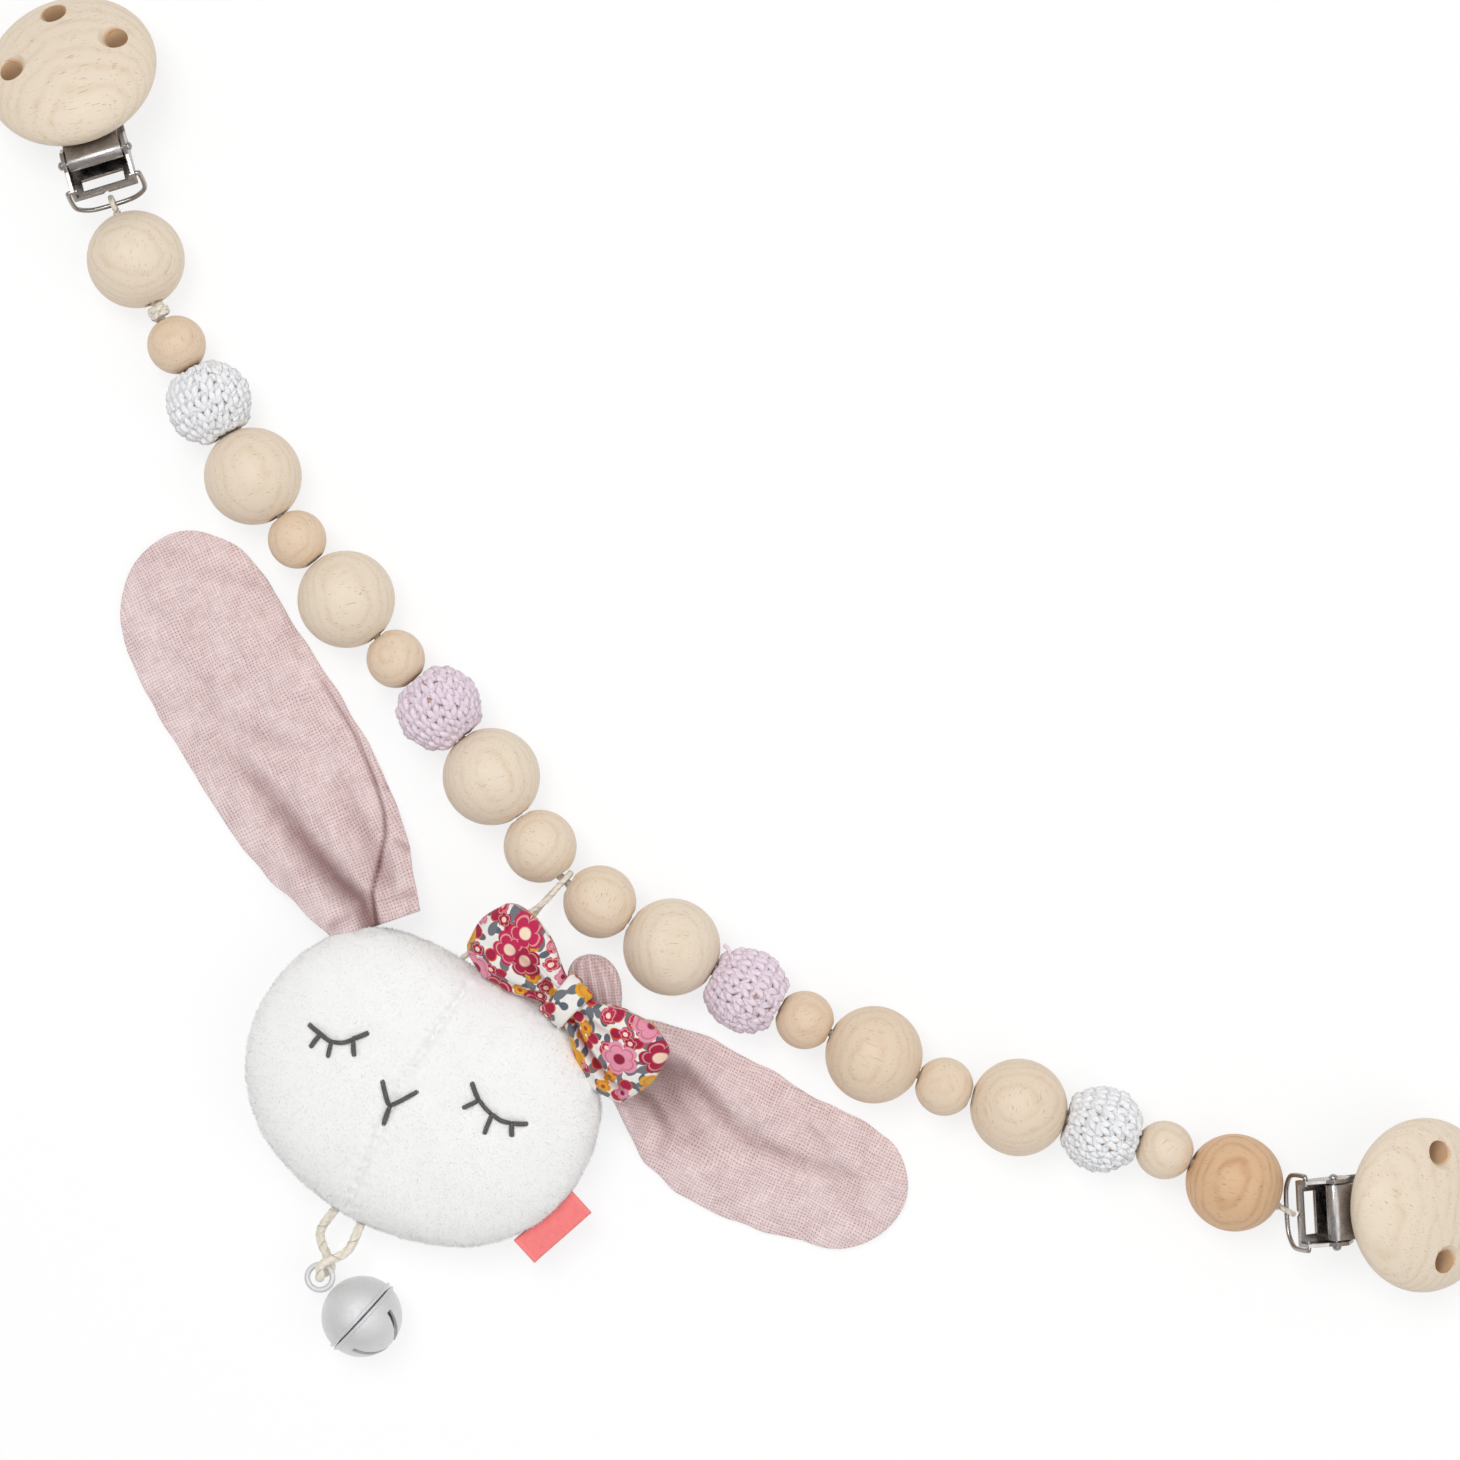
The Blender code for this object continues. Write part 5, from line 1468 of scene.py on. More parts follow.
@dataclass(frozen=True)
class WoodGrain:
    """Where a turned piece sat in the tree."""

    heading: float
    tilt: float
    pith_depth: float
    tone: float = 0.0
    pith_turn: float = 0.0

    def keep(self, obj: bpy.types.Object, centre: Vector) -> None:
        """Store the piece's place in the tree, in millimetres, and its shade.

        Args:
            obj: the wooden piece.
            centre: its centre, which the tree is placed round.
        """
        fibre = Euler((math.radians(self.pith_turn), math.radians(self.tilt), math.radians(self.heading))).to_matrix()
        local = (points_of(obj.data) - np.array(centre)) @ np.array(fibre) / MM
        local += np.array((self.heading * 3.1, 0.0, self.pith_depth))
        store(obj.data, "grain", local)
        store(obj.data, "tone", np.full(len(local), self.tone))


@dataclass
class WoodenBead:
    """A turned beech ball with a rounded hole."""

    number: int
    size: BeadSize
    grain: WoodGrain
    hole_radius: float = 1.9 * MM
    rim: float = 0.35 * MM

    def build(self) -> bpy.types.Object:
        """Turn the ball about its hole.

        Returns:
            The bead.
        """
        profile = bead_profile(self.size.value, self.hole_radius, self.rim)
        node = f"bead_{self.number:02d}_{self.size.name.lower()}"
        matrix = bead_frame(self.number) @ turned(0, 90, 0)
        bead = lathe(f"{node}_turned", profile, matrix, steps=72)
        self.grain.keep(bead, matrix.translation)
        return dress(bead, BEECH, f"bead_{self.number:02d}", [node])


def bead_profile(radius: float, hole_radius: float, rim: float) -> list[tuple[float, float]]:
    """A ball with a hole along Z, with a rounded rim, as a closed profile of (radius, height) points.

    Args:
        radius: the ball's radius.
        hole_radius: the hole's radius.
        rim: the size of the rounded rim.

    Returns:
        The profile's points, in order.
    """
    start = math.degrees(math.acos((hole_radius + rim) / radius))
    ball = arc((0.0, 0.0), radius, start, -start, 40)
    end = ball[0][1]
    corner = [(hole_radius, end - 2 * rim), (hole_radius, end - rim), (hole_radius + 0.3 * rim, end - 0.25 * rim)]
    return corner + ball + [(r, -h) for r, h in reversed(corner)] + [(hole_radius, 0.0)]


@dataclass
class CrochetBead:
    """A wooden ball in a crocheted jacket: rows of two-legged stitches round the cord, a half stitch apart."""

    number: int
    colour: str
    strand: Strand
    grain: WoodGrain
    radius: float = 8.75 * MM
    core_radius: float = 7.35 * MM
    hole_radius: float = 1.9 * MM
    stitch_width: float = 3.3 * MM
    row_height: float = 2.42 * MM
    rows: int = 7
    end_radius: float = 4.35 * MM
    end_wave: float = 0.12 * MM
    end_stitches: int = 8
    core_rim: float = 0.3 * MM
    place_spread: float = 0.05
    row_spread: float = 0.012
    lean_spread: float = 0.07
    height_spread: float = 0.03
    loft_spread: float = 0.12

    @property
    def middle(self) -> float:
        """The radius of the yarn's own middle."""
        return self.radius - self.strand.radius - 0.1 * MM

    def stitch_lines(self) -> list[list[Vector]]:
        """The lines of one stitch: two legs that lean apart, and the loop that they stand on.

        Returns:
            The lines' points, in the stitch's own frame.
        """
        w, h = self.stitch_width, self.row_height
        leg = [(-0.08, -0.66, -0.55), (-0.14, -0.44, -0.05), (-0.2, -0.16, 0.24), (-0.27, 0.12, 0.26),
               (-0.34, 0.38, 0.02), (-0.38, 0.58, -0.45)]
        bar = [(-0.5, -0.44, -0.55), (-0.3, -0.5, -0.3), (-0.1, -0.54, -0.25), (0.1, -0.54, -0.25),
               (0.3, -0.5, -0.3), (0.5, -0.44, -0.55)]
        lines = []
        for line in (leg, [(-x, y, z) for x, y, z in leg], bar):
            lines.append(smooth_route([(x * w, y * h, z * MM) for x, y, z in line], 4))
        return lines

    def places(self) -> tuple[np.ndarray, np.ndarray, np.ndarray]:
        """Where each stitch is, with its turn and stretch, a little uneven.

        Returns:
            Places in the row frame, XYZ turns and stretches, one row each.
        """
        chance = np.random.default_rng(self.number)
        matrix = bead_frame(self.number)
        places, turns, stretches = [], [], []
        for row in range(self.rows):
            rise = (row - (self.rows - 1) / 2) * self.row_height / self.middle
            count = round(math.tau * self.middle * math.cos(rise) / self.stitch_width)
            for step in range(count):
                turn = math.tau * (step + row * 0.5 + chance.normal(0, self.place_spread)) / count
                lift = rise + chance.normal(0, self.row_spread)
                out = Vector((math.sin(lift), math.cos(lift) * math.cos(turn), math.cos(lift) * math.sin(turn)))
                across = Vector((0, -math.sin(turn), math.cos(turn)))
                up = out.cross(across)
                local = Matrix((across, up, out)).transposed()
                lean = Matrix.Rotation(chance.normal(0, self.lean_spread), 3, "Z")
                places.append(matrix @ (out * self.middle))
                turns.append((matrix.to_3x3() @ local @ lean).to_euler())
                wide = math.tau * self.middle * math.cos(rise) / count / self.stitch_width
                stretches.append((wide, 1.0 + chance.normal(0, self.height_spread),
                                  1.0 + chance.normal(0, self.loft_spread)))
        return np.array(places), np.array([tuple(turn) for turn in turns]), np.array(stretches)

    def build(self, maker: Maker) -> None:
        """Turn the ball, and crochet the jacket.

        Args:
            maker: what sweeps the strands.
        """
        body = f"bead_{self.number:02d}"
        matrix = bead_frame(self.number)
        upright = matrix @ turned(0, 90, 0)
        core = lathe(f"{body}_ball", bead_profile(self.core_radius, self.hole_radius, self.core_rim), upright, 48)
        self.grain.keep(core, upright.translation)
        dress(core, BEECH, body, [f"{body}_{self.colour}_core"])
        stitch = maker.sweep("stitch", self.stitch_lines(), self.strand)
        jacket = maker.stitch(f"{body}_jacket", *self.places(), stitch, self.strand.finish)
        bpy.data.objects.remove(stitch, do_unlink=True)
        dress(jacket, self.strand.finish, body, [f"{body}_{self.colour}_cover"])
        rims = []
        for side in (-1, 1):
            reach = side * math.sqrt(self.middle ** 2 - self.end_radius ** 2)
            rims.append([matrix @ Vector((reach + self.end_wave * math.cos(self.end_stitches * turn),
                                          self.end_radius * math.cos(turn), self.end_radius * math.sin(turn)))
                         for turn in round_turns(48)])
        rim = maker.sweep(f"{body}_rims", rims, self.strand, closed=True)
        dress(rim, self.strand.finish, body)


@dataclass
class ChainCord:
    """The cord through the beads, in the stretches that bend at the joints, with its knot and its two eyes."""

    strand: Strand
    end_clearance: float = 0.16 * MM
    eye_radius: float = 1.55 * MM
    eye_strand_radius: float = 0.6 * MM
    eye_pitch: float = 3.0 * MM
    knot_half_gap: float = 1.8 * MM
    knot_strand_radius: float = 0.78 * MM
    knot_pitch: float = 3.4 * MM
    middle_reach: float = 7.3 * MM
    stretches: tuple = (
        ("cord_01_knotted", (1,)), ("cord_03_02", (3, 2)), ("cord_05_04", (5, 4)), ("cord_07_06", (7, 6)),
        ("cord_09_08", (9, 8)), ("cord_12_13", (12, 13)), ("cord_14_16", (14, 15, 16)),
        ("cord_17_18", (17, 18)), ("cord_19_20", (19, 20)),
    )

    def start_of(self, body: str) -> Vector:
        """Where a stretch starts."""
        return joint_place(f"{body}_bend")

    def route(self, body: str, beads: Sequence[int]) -> list[Vector]:
        """The stretch's line: from its joint through its beads to the next joint, or to its eye.

        Args:
            body: the stretch's body.
            beads: the numbers of its beads.

        Returns:
            The line's points, from one end to the other.
        """
        start = self.start_of(body)
        centres = [joint_place(f"bead_{number:02d}_spin") for number in beads]
        following = [joint for joint in frame["joints"] if joint["parent"] == body and joint["name"].endswith("_bend")]
        if following:
            end = Vector(following[0]["pos_m"])
        else:
            side = "left" if body == "cord_01_knotted" else "right"
            bar = joint_place(f"{side}_wire_loop_swing")
            end = bar - (bar - centres[-1]).normalized() * self.eye_radius
        first = start + (centres[0] - start).normalized() * self.end_clearance
        last = end - (end - centres[-1]).normalized() * self.end_clearance
        return [first, *centres, last]

    def knot_lines(self, centre: Vector, axis: Vector) -> list[list[Vector]]:
        """A pulled overhand knot: two turns round the cord, and the strand that locks them.

        Args:
            centre: the knot's centre.
            axis: the cord's direction there.

        Returns:
            The lines' points, one list for each strand.
        """
        side = Vector((0, 0, 1)).cross(axis)
        lines = []
        places = zip(np.linspace(-0.75, 0.75, 40) * MM, np.linspace(0.4, 2.3 * math.tau, 40))
        turns = [(x, 1.5 * MM, t) for x, t in places]
        tail = [(0.75 * MM + t * 0.9 * MM, (1.5 - 1.3 * t) * MM, 2.3 * math.tau + t * 0.8) for t in (0.3, 0.7, 1.0)]
        head = [(-0.75 * MM - t * 0.9 * MM, (1.5 - 1.3 * t) * MM, 0.4 - t * 0.8) for t in (1.0, 0.7, 0.3)]
        wound = [centre + axis * x + (side * math.cos(t) + Vector((0, 0, 1)) * math.sin(t)) * r
                 for x, r, t in head + turns + tail]
        lines.append(wound)
        lock = smooth_route([centre + axis * x * MM + side * y * MM + Vector((0, 0, z * MM)) for x, y, z in (
            (-1.3, 0.9, 0.2), (-0.8, 0.7, 1.5), (0.0, 0.1, 2.1), (0.8, -0.7, 1.6), (1.3, -1.0, 0.4))])
        lines.append(lock)
        return lines

    def eye_line(self, bar: Vector, axis: Vector) -> list[Vector]:
        """A ring of cord round the bar of a wire loop.

        Args:
            bar: the middle of the wire loop's bar.
            axis: the cord's direction there.

        Returns:
            The ring's points.
        """
        up = Vector((0, 0, 1))
        return [bar + (axis * math.cos(turn) + up * math.sin(turn)) * self.eye_radius
                for turn in round_turns(48)]

    def build(self, maker: Maker) -> None:
        """Lay each stretch, with the knot and the eyes.

        Args:
            maker: what sweeps the strands.
        """
        eye_strand = Strand(self.strand.finish, self.eye_strand_radius, pitch=self.eye_pitch)
        knot_strand = Strand(self.strand.finish, self.knot_strand_radius, pitch=self.knot_pitch)
        for body, beads in self.stretches:
            cord = maker.sweep(f"{body}_laid", [self.route(body, beads)], self.strand)
            dress(cord, self.strand.finish, body, [body])
        knotted = self.start_of("cord_01_knotted")
        axis = (joint_place("bead_01_spin") - knotted).normalized()
        knot = maker.sweep("knot", self.knot_lines(knotted + axis * self.knot_half_gap, axis), knot_strand)
        dress(knot, self.strand.finish, "cord_01_knotted")
        for side, bead, body in (("left", 1, "cord_01_knotted"), ("right", 20, "cord_19_20")):
            bar = joint_place(f"{side}_wire_loop_swing")
            axis = joint_axis(f"bead_{bead:02d}_spin")
            eye = maker.sweep(f"{side}_eye", [self.eye_line(bar, axis)], eye_strand, closed=True)
            dress(eye, self.strand.finish, body)
        beads = [joint_place(f"bead_{number}_spin") for number in (10, 11)]
        ends = [bead + joint_axis(f"bead_{number}_spin") * self.middle_reach for number, bead in zip((10, 11), beads)]
        line = smooth_route([ends[0], beads[0], joint_place("bunny_swing"), beads[1], ends[1]], 6)
        cord = maker.sweep("cord_10_11_laid", [line], self.strand)
        dress(cord, self.strand.finish, "chain_middle", ["cord_10_11"])


@dataclass
class Chain:
    """All the beads, and the cord through them."""

    maker: Maker
    yarn_radius: float = 0.85 * MM
    yarn_pitch: float = 3.2 * MM
    yarn_step: float = 0.32 * MM
    yarn_sides: int = 10
    cord_radius: float = 0.9 * MM
    tail_radius: float = 0.5 * MM
    tail_pitch: float = 2.6 * MM
    tail_route: tuple = ((-2.2, 6.0, 4.2), (-3.1, 7.6, 4.6), (-3.6, 8.8, 4.9), (-4.4, 9.6, 5.4))
    kinds: dict[int, BeadSize] = field(default_factory=lambda: {
        1: BeadSize.LARGE, 2: BeadSize.SMALL, 4: BeadSize.LARGE, 5: BeadSize.SMALL, 6: BeadSize.LARGE,
        7: BeadSize.SMALL, 9: BeadSize.LARGE, 10: BeadSize.MEDIUM, 11: BeadSize.MEDIUM, 12: BeadSize.LARGE,
        14: BeadSize.SMALL, 15: BeadSize.LARGE, 16: BeadSize.SMALL, 17: BeadSize.LARGE, 19: BeadSize.SMALL,
        20: BeadSize.LARGE,
    })
    covered: dict[int, str] = field(default_factory=lambda: {3: "white", 8: "lilac", 13: "lilac", 18: "white"})
    grains: dict[int, WoodGrain] = field(default_factory=lambda: {
        1: WoodGrain(80, 6, 14, 0.0), 2: WoodGrain(110, 12, 9, 0.35), 4: WoodGrain(15, 4, 9, 0.05),
        5: WoodGrain(165, 10, 12, 0.35), 6: WoodGrain(12, 8, 8, 0.0), 7: WoodGrain(140, 14, 11, 0.25),
        9: WoodGrain(20, 5, 12, 0.0), 10: WoodGrain(150, 8, 9, 0.1), 11: WoodGrain(60, 10, 12, 0.15),
        12: WoodGrain(0, 6, 7, 0.0), 14: WoodGrain(30, 10, 10, 0.35), 15: WoodGrain(160, 9, 12, 0.25),
        16: WoodGrain(120, 10, 8, 0.2), 17: WoodGrain(100, 12, 15, 0.15), 19: WoodGrain(40, 8, 9, 0.1),
        20: WoodGrain(170, 10, 9, 0.85),
    })

    def build(self) -> None:
        """Turn the wooden beads, crochet the others and lay the cord."""
        for number, size in self.kinds.items():
            WoodenBead(number, size, self.grains[number]).build()
        for number, colour in self.covered.items():
            finish = WHITE_YARN if colour == "white" else LILAC_YARN
            strand = Strand(finish, self.yarn_radius, pitch=self.yarn_pitch, step=self.yarn_step,
                            sides=self.yarn_sides)
            CrochetBead(number, colour, strand, WoodGrain(number * 40.0, 10, 12, 0.6)).build(self.maker)
        self.yarn_tail()
        ChainCord(Strand(COTTON_CORD, self.cord_radius)).build(self.maker)

    def yarn_tail(self) -> None:
        """The end of the yarn that pokes out of one lilac jacket."""
        centre = joint_place("bead_13_spin")
        line = smooth_route([centre + Vector(offset) * MM for offset in self.tail_route])
        strand = Strand(LILAC_YARN, self.tail_radius, pitch=self.tail_pitch)
        tail = self.maker.sweep("bead_13_yarn_tail", [line], strand)
        dress(tail, LILAC_YARN, "bead_13")


# The clips

class Side(Enum):
    """Which end of the chain a clip is on."""

    LEFT = "left"
    RIGHT = "right"


@dataclass
class Clip:
    """A sprung clip: a wooden cap on a steel lever, in a steel frame on a wire loop."""

    side: Side
    maker: Maker
    cap_grain: WoodGrain
    cap_radius: float = 17.8 * MM
    cap_height: float = 11.5 * MM
    cap_edge_height: float = 3.6 * MM
    cap_underside_radius: float = 15.2 * MM
    cap_from_pin: float = 18.6 * MM
    cap_seat: float = 2.0 * MM
    cap_turn: float = 4.0
    vent_radius: float = 2.2 * MM
    vent_circle: float = 11.3 * MM
    vent_chamfer: float = 0.75 * MM
    bore_tone: float = 1.3
    wire_hole_reach: float = 5.0 * MM
    wire_hole_depth: float = 2.8 * MM
    wire_radius: float = 0.5 * MM
    wire_length: float = 8.4 * MM
    wire_bar: float = 5.0 * MM
    wire_end: float = 1.2 * MM
    wire_bend: float = 0.25 * MM
    wire_step: float = 0.25 * MM
    ear_face: float = 6.8 * MM
    wire_clearance: float = 0.3 * MM
    pin_radius: float = 0.6 * MM
    pin_head_radius: float = 0.95 * MM
    pin_head_length: float = 0.8 * MM
    pin_head_clearance: float = 0.25 * MM
    edge_round: float = 0.12 * MM
    edge_segments: int = 3
    edge_angle: float = 28.0
    sharp_angle: float = 32.0

    @property
    def name(self) -> str:
        """The side's name, with which its bodies' names start."""
        return self.side.value

    def body_frame(self) -> Matrix:
        """The frame on the clip's pin, whose X axis points to its jaw.

        Returns:
            The frame's matrix.
        """
        y_axis = -joint_axis(f"{self.name}_clip_open")
        pin = joint_place(f"{self.name}_clip_open")
        hole = joint_place(f"{self.name}_clip_frame_swing")
        lean = math.atan2(self.wire_hole_depth, self.wire_hole_reach)
        sloped = (pin - hole).normalized()
        upright = sloped.cross(y_axis)
        return frame_of(pin, (sloped * math.cos(lean) - upright * math.sin(lean)).normalized(), y_axis)

    def loop_frame(self) -> Matrix:
        """The frame on the wire loop's bar, whose X axis points to the clip.

        Returns:
            The frame's matrix.
        """
        bar = joint_place(f"{self.name}_wire_loop_swing")
        hole = joint_place(f"{self.name}_clip_frame_swing")
        return frame_of(bar, (hole - bar).normalized(), -joint_axis(f"{self.name}_clip_open"))

    def build(self) -> None:
        """Build the cap, the stamped pieces, the pin and the wire."""
        self.build_cap()
        for part, body, finish, slot in (
            ("frame", "clip_frame", STEEL, "clip_steel"), ("lever", "clip_lever", STEEL, "clip_steel"),
            ("tongue", "clip_tongue", STEEL, "clip_steel"), ("jaw_pad", "clip_frame", JAW_PLASTIC, "jaw_plastic"),
        ):
            self.round_edges(f"clip_{self.name}_{part}", f"{self.name}_{body}", finish)
        self.build_pin()
        self.build_wire()

    def round_edges(self, node: str, body: str, finish: Finish) -> None:
        """A stamped or moulded piece, as the CAD has it, with its edges rounded.

        Args:
            node: the CAD node.
            body: the body that it rides on.
            finish: what it is made of.
        """
        mesh = frame["nodes"][node].data.copy()
        bm = bmesh.new()
        bm.from_mesh(mesh)
        bmesh.ops.remove_doubles(bm, verts=bm.verts, dist=0.002 * MM)
        bmesh.ops.dissolve_limit(bm, angle_limit=math.radians(1.0), verts=bm.verts, edges=bm.edges)
        bm.to_mesh(mesh)
        bm.free()
        mesh.name = f"{node}_pressed"
        piece = link(f"{node}_pressed", mesh)
        bevel = piece.modifiers.new("Rounded edge", "BEVEL")
        bevel.width = self.edge_round
        bevel.segments = self.edge_segments
        bevel.limit_method = "ANGLE"
        bevel.angle_limit = math.radians(self.edge_angle)
        bevel.harden_normals = False
        bake(piece)
        piece.data.shade_smooth()
        piece.data.set_sharp_from_angle(angle=math.radians(self.sharp_angle))
        dress(piece, finish, body, [node])

    def build_cap(self) -> None:
        """Turn the cap, and drill its three vents with a small chamfer."""
        dome = self.cap_height - self.cap_edge_height
        turns = np.radians(np.linspace(0, 90, 33))
        profile = [(0.0, self.cap_height)]
        profile += [(self.cap_radius * math.sin(turn), self.cap_edge_height + dome * math.cos(turn))
                    for turn in turns[1:]]
        edge = self.cap_radius - self.cap_underside_radius
        profile += [(self.cap_underside_radius + edge * math.cos(turn), self.cap_edge_height * (1 - math.sin(turn)))
                    for turn in np.radians(np.linspace(0, 90, 13))[1:]]
        profile += [(self.cap_underside_radius * 0.5, 0.0), (0.0, 0.0)]
        matrix = self.body_frame() @ frame_at((self.cap_from_pin, 0, self.cap_seat), (0, 0, self.cap_turn))
        node = f"clip_{self.name}_cap"
        cap = lathe(f"{node}_turned", profile, matrix, 128, closed=False)
        tools, places = [], []
        for heading in (-90.0, 0.0, 90.0):
            heading -= self.cap_turn
            top = self.cap_edge_height + dome * math.sqrt(1 - (self.vent_circle / self.cap_radius) ** 2)
            wide = self.vent_radius + self.vent_chamfer
            slope = [(0.0, -self.cap_height), (self.vent_radius, -self.cap_height),
                     (self.vent_radius, top - 1.1 * MM), (wide, top + 0.1 * MM), (wide * 1.7, top + 3 * MM),
                     (0.0, top + 3 * MM)]
            places.append(matrix @ frame_at(along(heading, self.vent_circle)))
            tools.append(lathe(f"vent_{heading:.0f}", slope, places[-1], 48, closed=False))
        cut(cap, tools)
        cap.data.shade_smooth()
        cap.data.set_sharp_from_angle(angle=math.radians(40))
        self.cap_grain.keep(cap, matrix.translation)
        points = points_of(cap.data)
        for place in places:
            inside = (points - np.array(place.translation)) @ np.array(place.to_3x3())
            for number in np.flatnonzero(np.hypot(inside[:, 0], inside[:, 1]) < self.vent_radius * 1.03):
                cap.data.attributes["tone"].data[int(number)].value = self.bore_tone
        dress(cap, BEECH, f"{self.name}_clip_lever", [node])

    def build_pin(self) -> None:
        """Turn the pin, with a domed head outside each ear."""
        start = self.ear_face + self.pin_head_clearance
        head = [(self.pin_head_radius * math.sin(turn), start + self.pin_head_length * math.cos(turn))
                for turn in np.radians(np.linspace(0, 90, 9))]
        half = head + [(self.pin_radius, start)]
        profile = half + [(radius, -height) for radius, height in reversed(half)]
        matrix = self.body_frame() @ turned(90, 0, 0)
        node = f"clip_{self.name}_pivot_pin"
        pin = lathe(f"{node}_turned", profile, matrix, 32, closed=False, sharp_deg=50)
        dress(pin, STEEL, f"{self.name}_clip_frame", [node])

    def build_wire(self) -> None:
        """Bend the wire loop, with its bar in the cord's eye and its ends in the frame's ears."""
        outside = self.ear_face + self.wire_clearance + self.wire_radius
        half = [
            (self.wire_length, self.ear_face - self.wire_end, 0.0), (self.wire_length, self.ear_face, 0.0),
            (self.wire_length, outside - self.wire_bend, 0.0), (self.wire_length - self.wire_radius, outside, 0.0),
            (self.wire_length / 2, outside, 0.0), (self.wire_length / 4, outside - self.wire_radius, 0.0),
            (self.wire_radius, (outside + self.wire_bar / 2) / 2, 0.0), (0.0, self.wire_bar / 2, 0.0),
        ]
        points = half + [(x, -y, z) for x, y, z in reversed(half)]
        line = smooth_route(placed(self.loop_frame(), points), 6)
        wire = plain_wire(STEEL, self.wire_radius, self.wire_step, 20)
        loop = self.maker.sweep(f"clip_{self.name}_wire_bent", [line], wire)
        dress(loop, STEEL, f"{self.name}_wire_loop", [f"clip_{self.name}_wire_loop"])


# The bunny

@dataclass
class Head:
    """The stuffed head: two pieces of velour with a seam down the face, and a sleeping face in thread."""

    maker: Maker
    heading: float = 241.5
    half_width: float = 37.3 * MM
    thickness: float = 25.0 * MM
    seam_height: float = 12.0 * MM
    seam_clearance: float = 0.35 * MM
    outline: tuple = (0.68, 0.71, 0.79, 0.89, 0.955, 0.985, 0.998, 1.0, 0.975, 0.935, 0.88, 0.845, 0.84)
    swell: float = 0.85
    seam_line: tuple = ((-26.0, -1.2), (-22.9, -1.7), (-11.7, -2.6), (1.1, -3.8), (14.3, -3.0), (29.5, -1.8))
    seam_depth: float = 0.75 * MM
    seam_ridge: float = 0.3 * MM
    seam_stitch_height: float = 0.12 * MM
    stitch_sink: float = 0.35 * MM
    stuffing: float = 0.16 * MM
    side_tuck: float = 0.45 * MM
    side_tuck_width: float = 0.8 * MM
    pucker_width: float = 4.5 * MM
    pile_length: float = 0.6 * MM
    pile_width: float = 0.07 * MM
    pile_fibres: int = 42000
    pile_lean: float = 0.6
    pile_seed: int = 7
    thread_radius: float = 0.25 * MM
    thread_places: tuple = (-0.27, 0.0, 0.27)
    thread_start: float = -0.55
    thread_rise: float = 0.85
    stitches: tuple = (
        ((-0.2, -26.2), (0.4, -23.1)), ((0.3, -23.3), (0.7, -20.3)), ((0.8, -20.6), (-0.4, -18.2), (-1.8, -16.8)),
        ((-1.7, -17.0), (-4.7, -14.5)), ((0.4, -23.1), (3.8, -23.6)), ((0.7, -20.4), (3.8, -19.5)),
        ((-1.6, -16.6), (1.0, -14.9)),
        ((2.3, -7.6), (6.4, -3.9)), ((0.7, 0.0), (6.5, -3.8)), ((6.4, -3.8), (10.5, -3.1)),
        ((-5.9, 8.5), (-3.2, 11.5)), ((-3.4, 11.3), (-1.9, 15.2)), ((-2.0, 15.0), (-1.8, 17.4), (-2.2, 19.7)),
        ((-2.2, 19.5), (-3.7, 22.5)), ((-3.0, 11.4), (-0.3, 9.4)), ((-1.7, 15.2), (2.3, 15.7)),
        ((-2.0, 19.7), (0.1, 20.9)),
    )

    def radius_at(self, angle_deg: np.ndarray | float) -> np.ndarray:
        """The outline's radius at an angle from the top seam.

        Args:
            angle_deg: the angle or angles.

        Returns:
            The radius at each, in metres.
        """
        angles = np.arange(-180.0, 541.0, 15.0)
        shares = [self.outline[round(abs((angle + 180.0) % 360.0 - 180.0) / 15.0)] for angle in angles]
        place = (np.asarray(angle_deg, float) + 180.0) % 360.0 - 180.0
        return self.half_width * table_at(place, angles, shares, 5.0)

    @property
    def frame(self) -> Matrix:
        """The head's own frame: its centre on the seam, with X towards the chin."""
        reach = self.half_width * self.outline[0] + self.seam_clearance
        return frame_at(joint_place("head_nod"), (0, 0, self.heading)) @ frame_at((reach, 0, 0))

    def point(self, angle_deg: float, outside: float = 0.0, height: float = 0.0) -> Vector:
        """A point near the seam, in the head's frame.

        Args:
            angle_deg: its angle from the top seam.
            outside: how far outside the outline it lies.
            height: its height over the seam.

        Returns:
            The point.
        """
        place = abs((angle_deg + 180.0) % 360.0 - 180.0) / 15.0
        radius = self.half_width * float(np.interp(place, range(len(self.outline)), self.outline))
        return along(180.0 - angle_deg, radius + outside) + Vector((0, 0, height))

    def height_at(self, x: np.ndarray, y: np.ndarray) -> np.ndarray:
        """The smooth face's height over the seam.

        Args:
            x: how far along X the points are.
            y: how far along Y the points are.

        Returns:
            The height at each point.
        """
        radius = self.radius_at(180.0 - np.degrees(np.arctan2(y, x)))
        across = np.clip(np.hypot(x, y) / radius, 0, 1) ** (1 / self.swell)
        return (self.thickness - self.seam_height) * np.sqrt(1 - across ** 2) ** self.swell

    def relief(self, x: np.ndarray, y: np.ndarray) -> np.ndarray:
        """How far seams, stitches and stuffing move the face up or down.

        Args:
            x: how far along X the points are.
            y: how far along Y the points are.

        Returns:
            The height to add at each point.
        """
        xm, ym = x / MM, y / MM
        far, share = distance_to_line(xm, ym, self.seam_line)
        height = -self.seam_depth * np.exp(-(far / 0.75) ** 2)
        height += self.seam_ridge * np.exp(-((far - 2.6) / 2.0) ** 2)
        height += self.seam_stitch_height * np.cos(share * 55.0 * math.tau / 2.4) * np.exp(-(far / 2.2) ** 2)
        for line in self.stitches:
            far, _ = distance_to_line(xm, ym, line)
            height -= self.stitch_sink * np.exp(-(far / 1.3) ** 2)
        return height + self.stuffing * ripple(xm, ym, 19.0, 5)

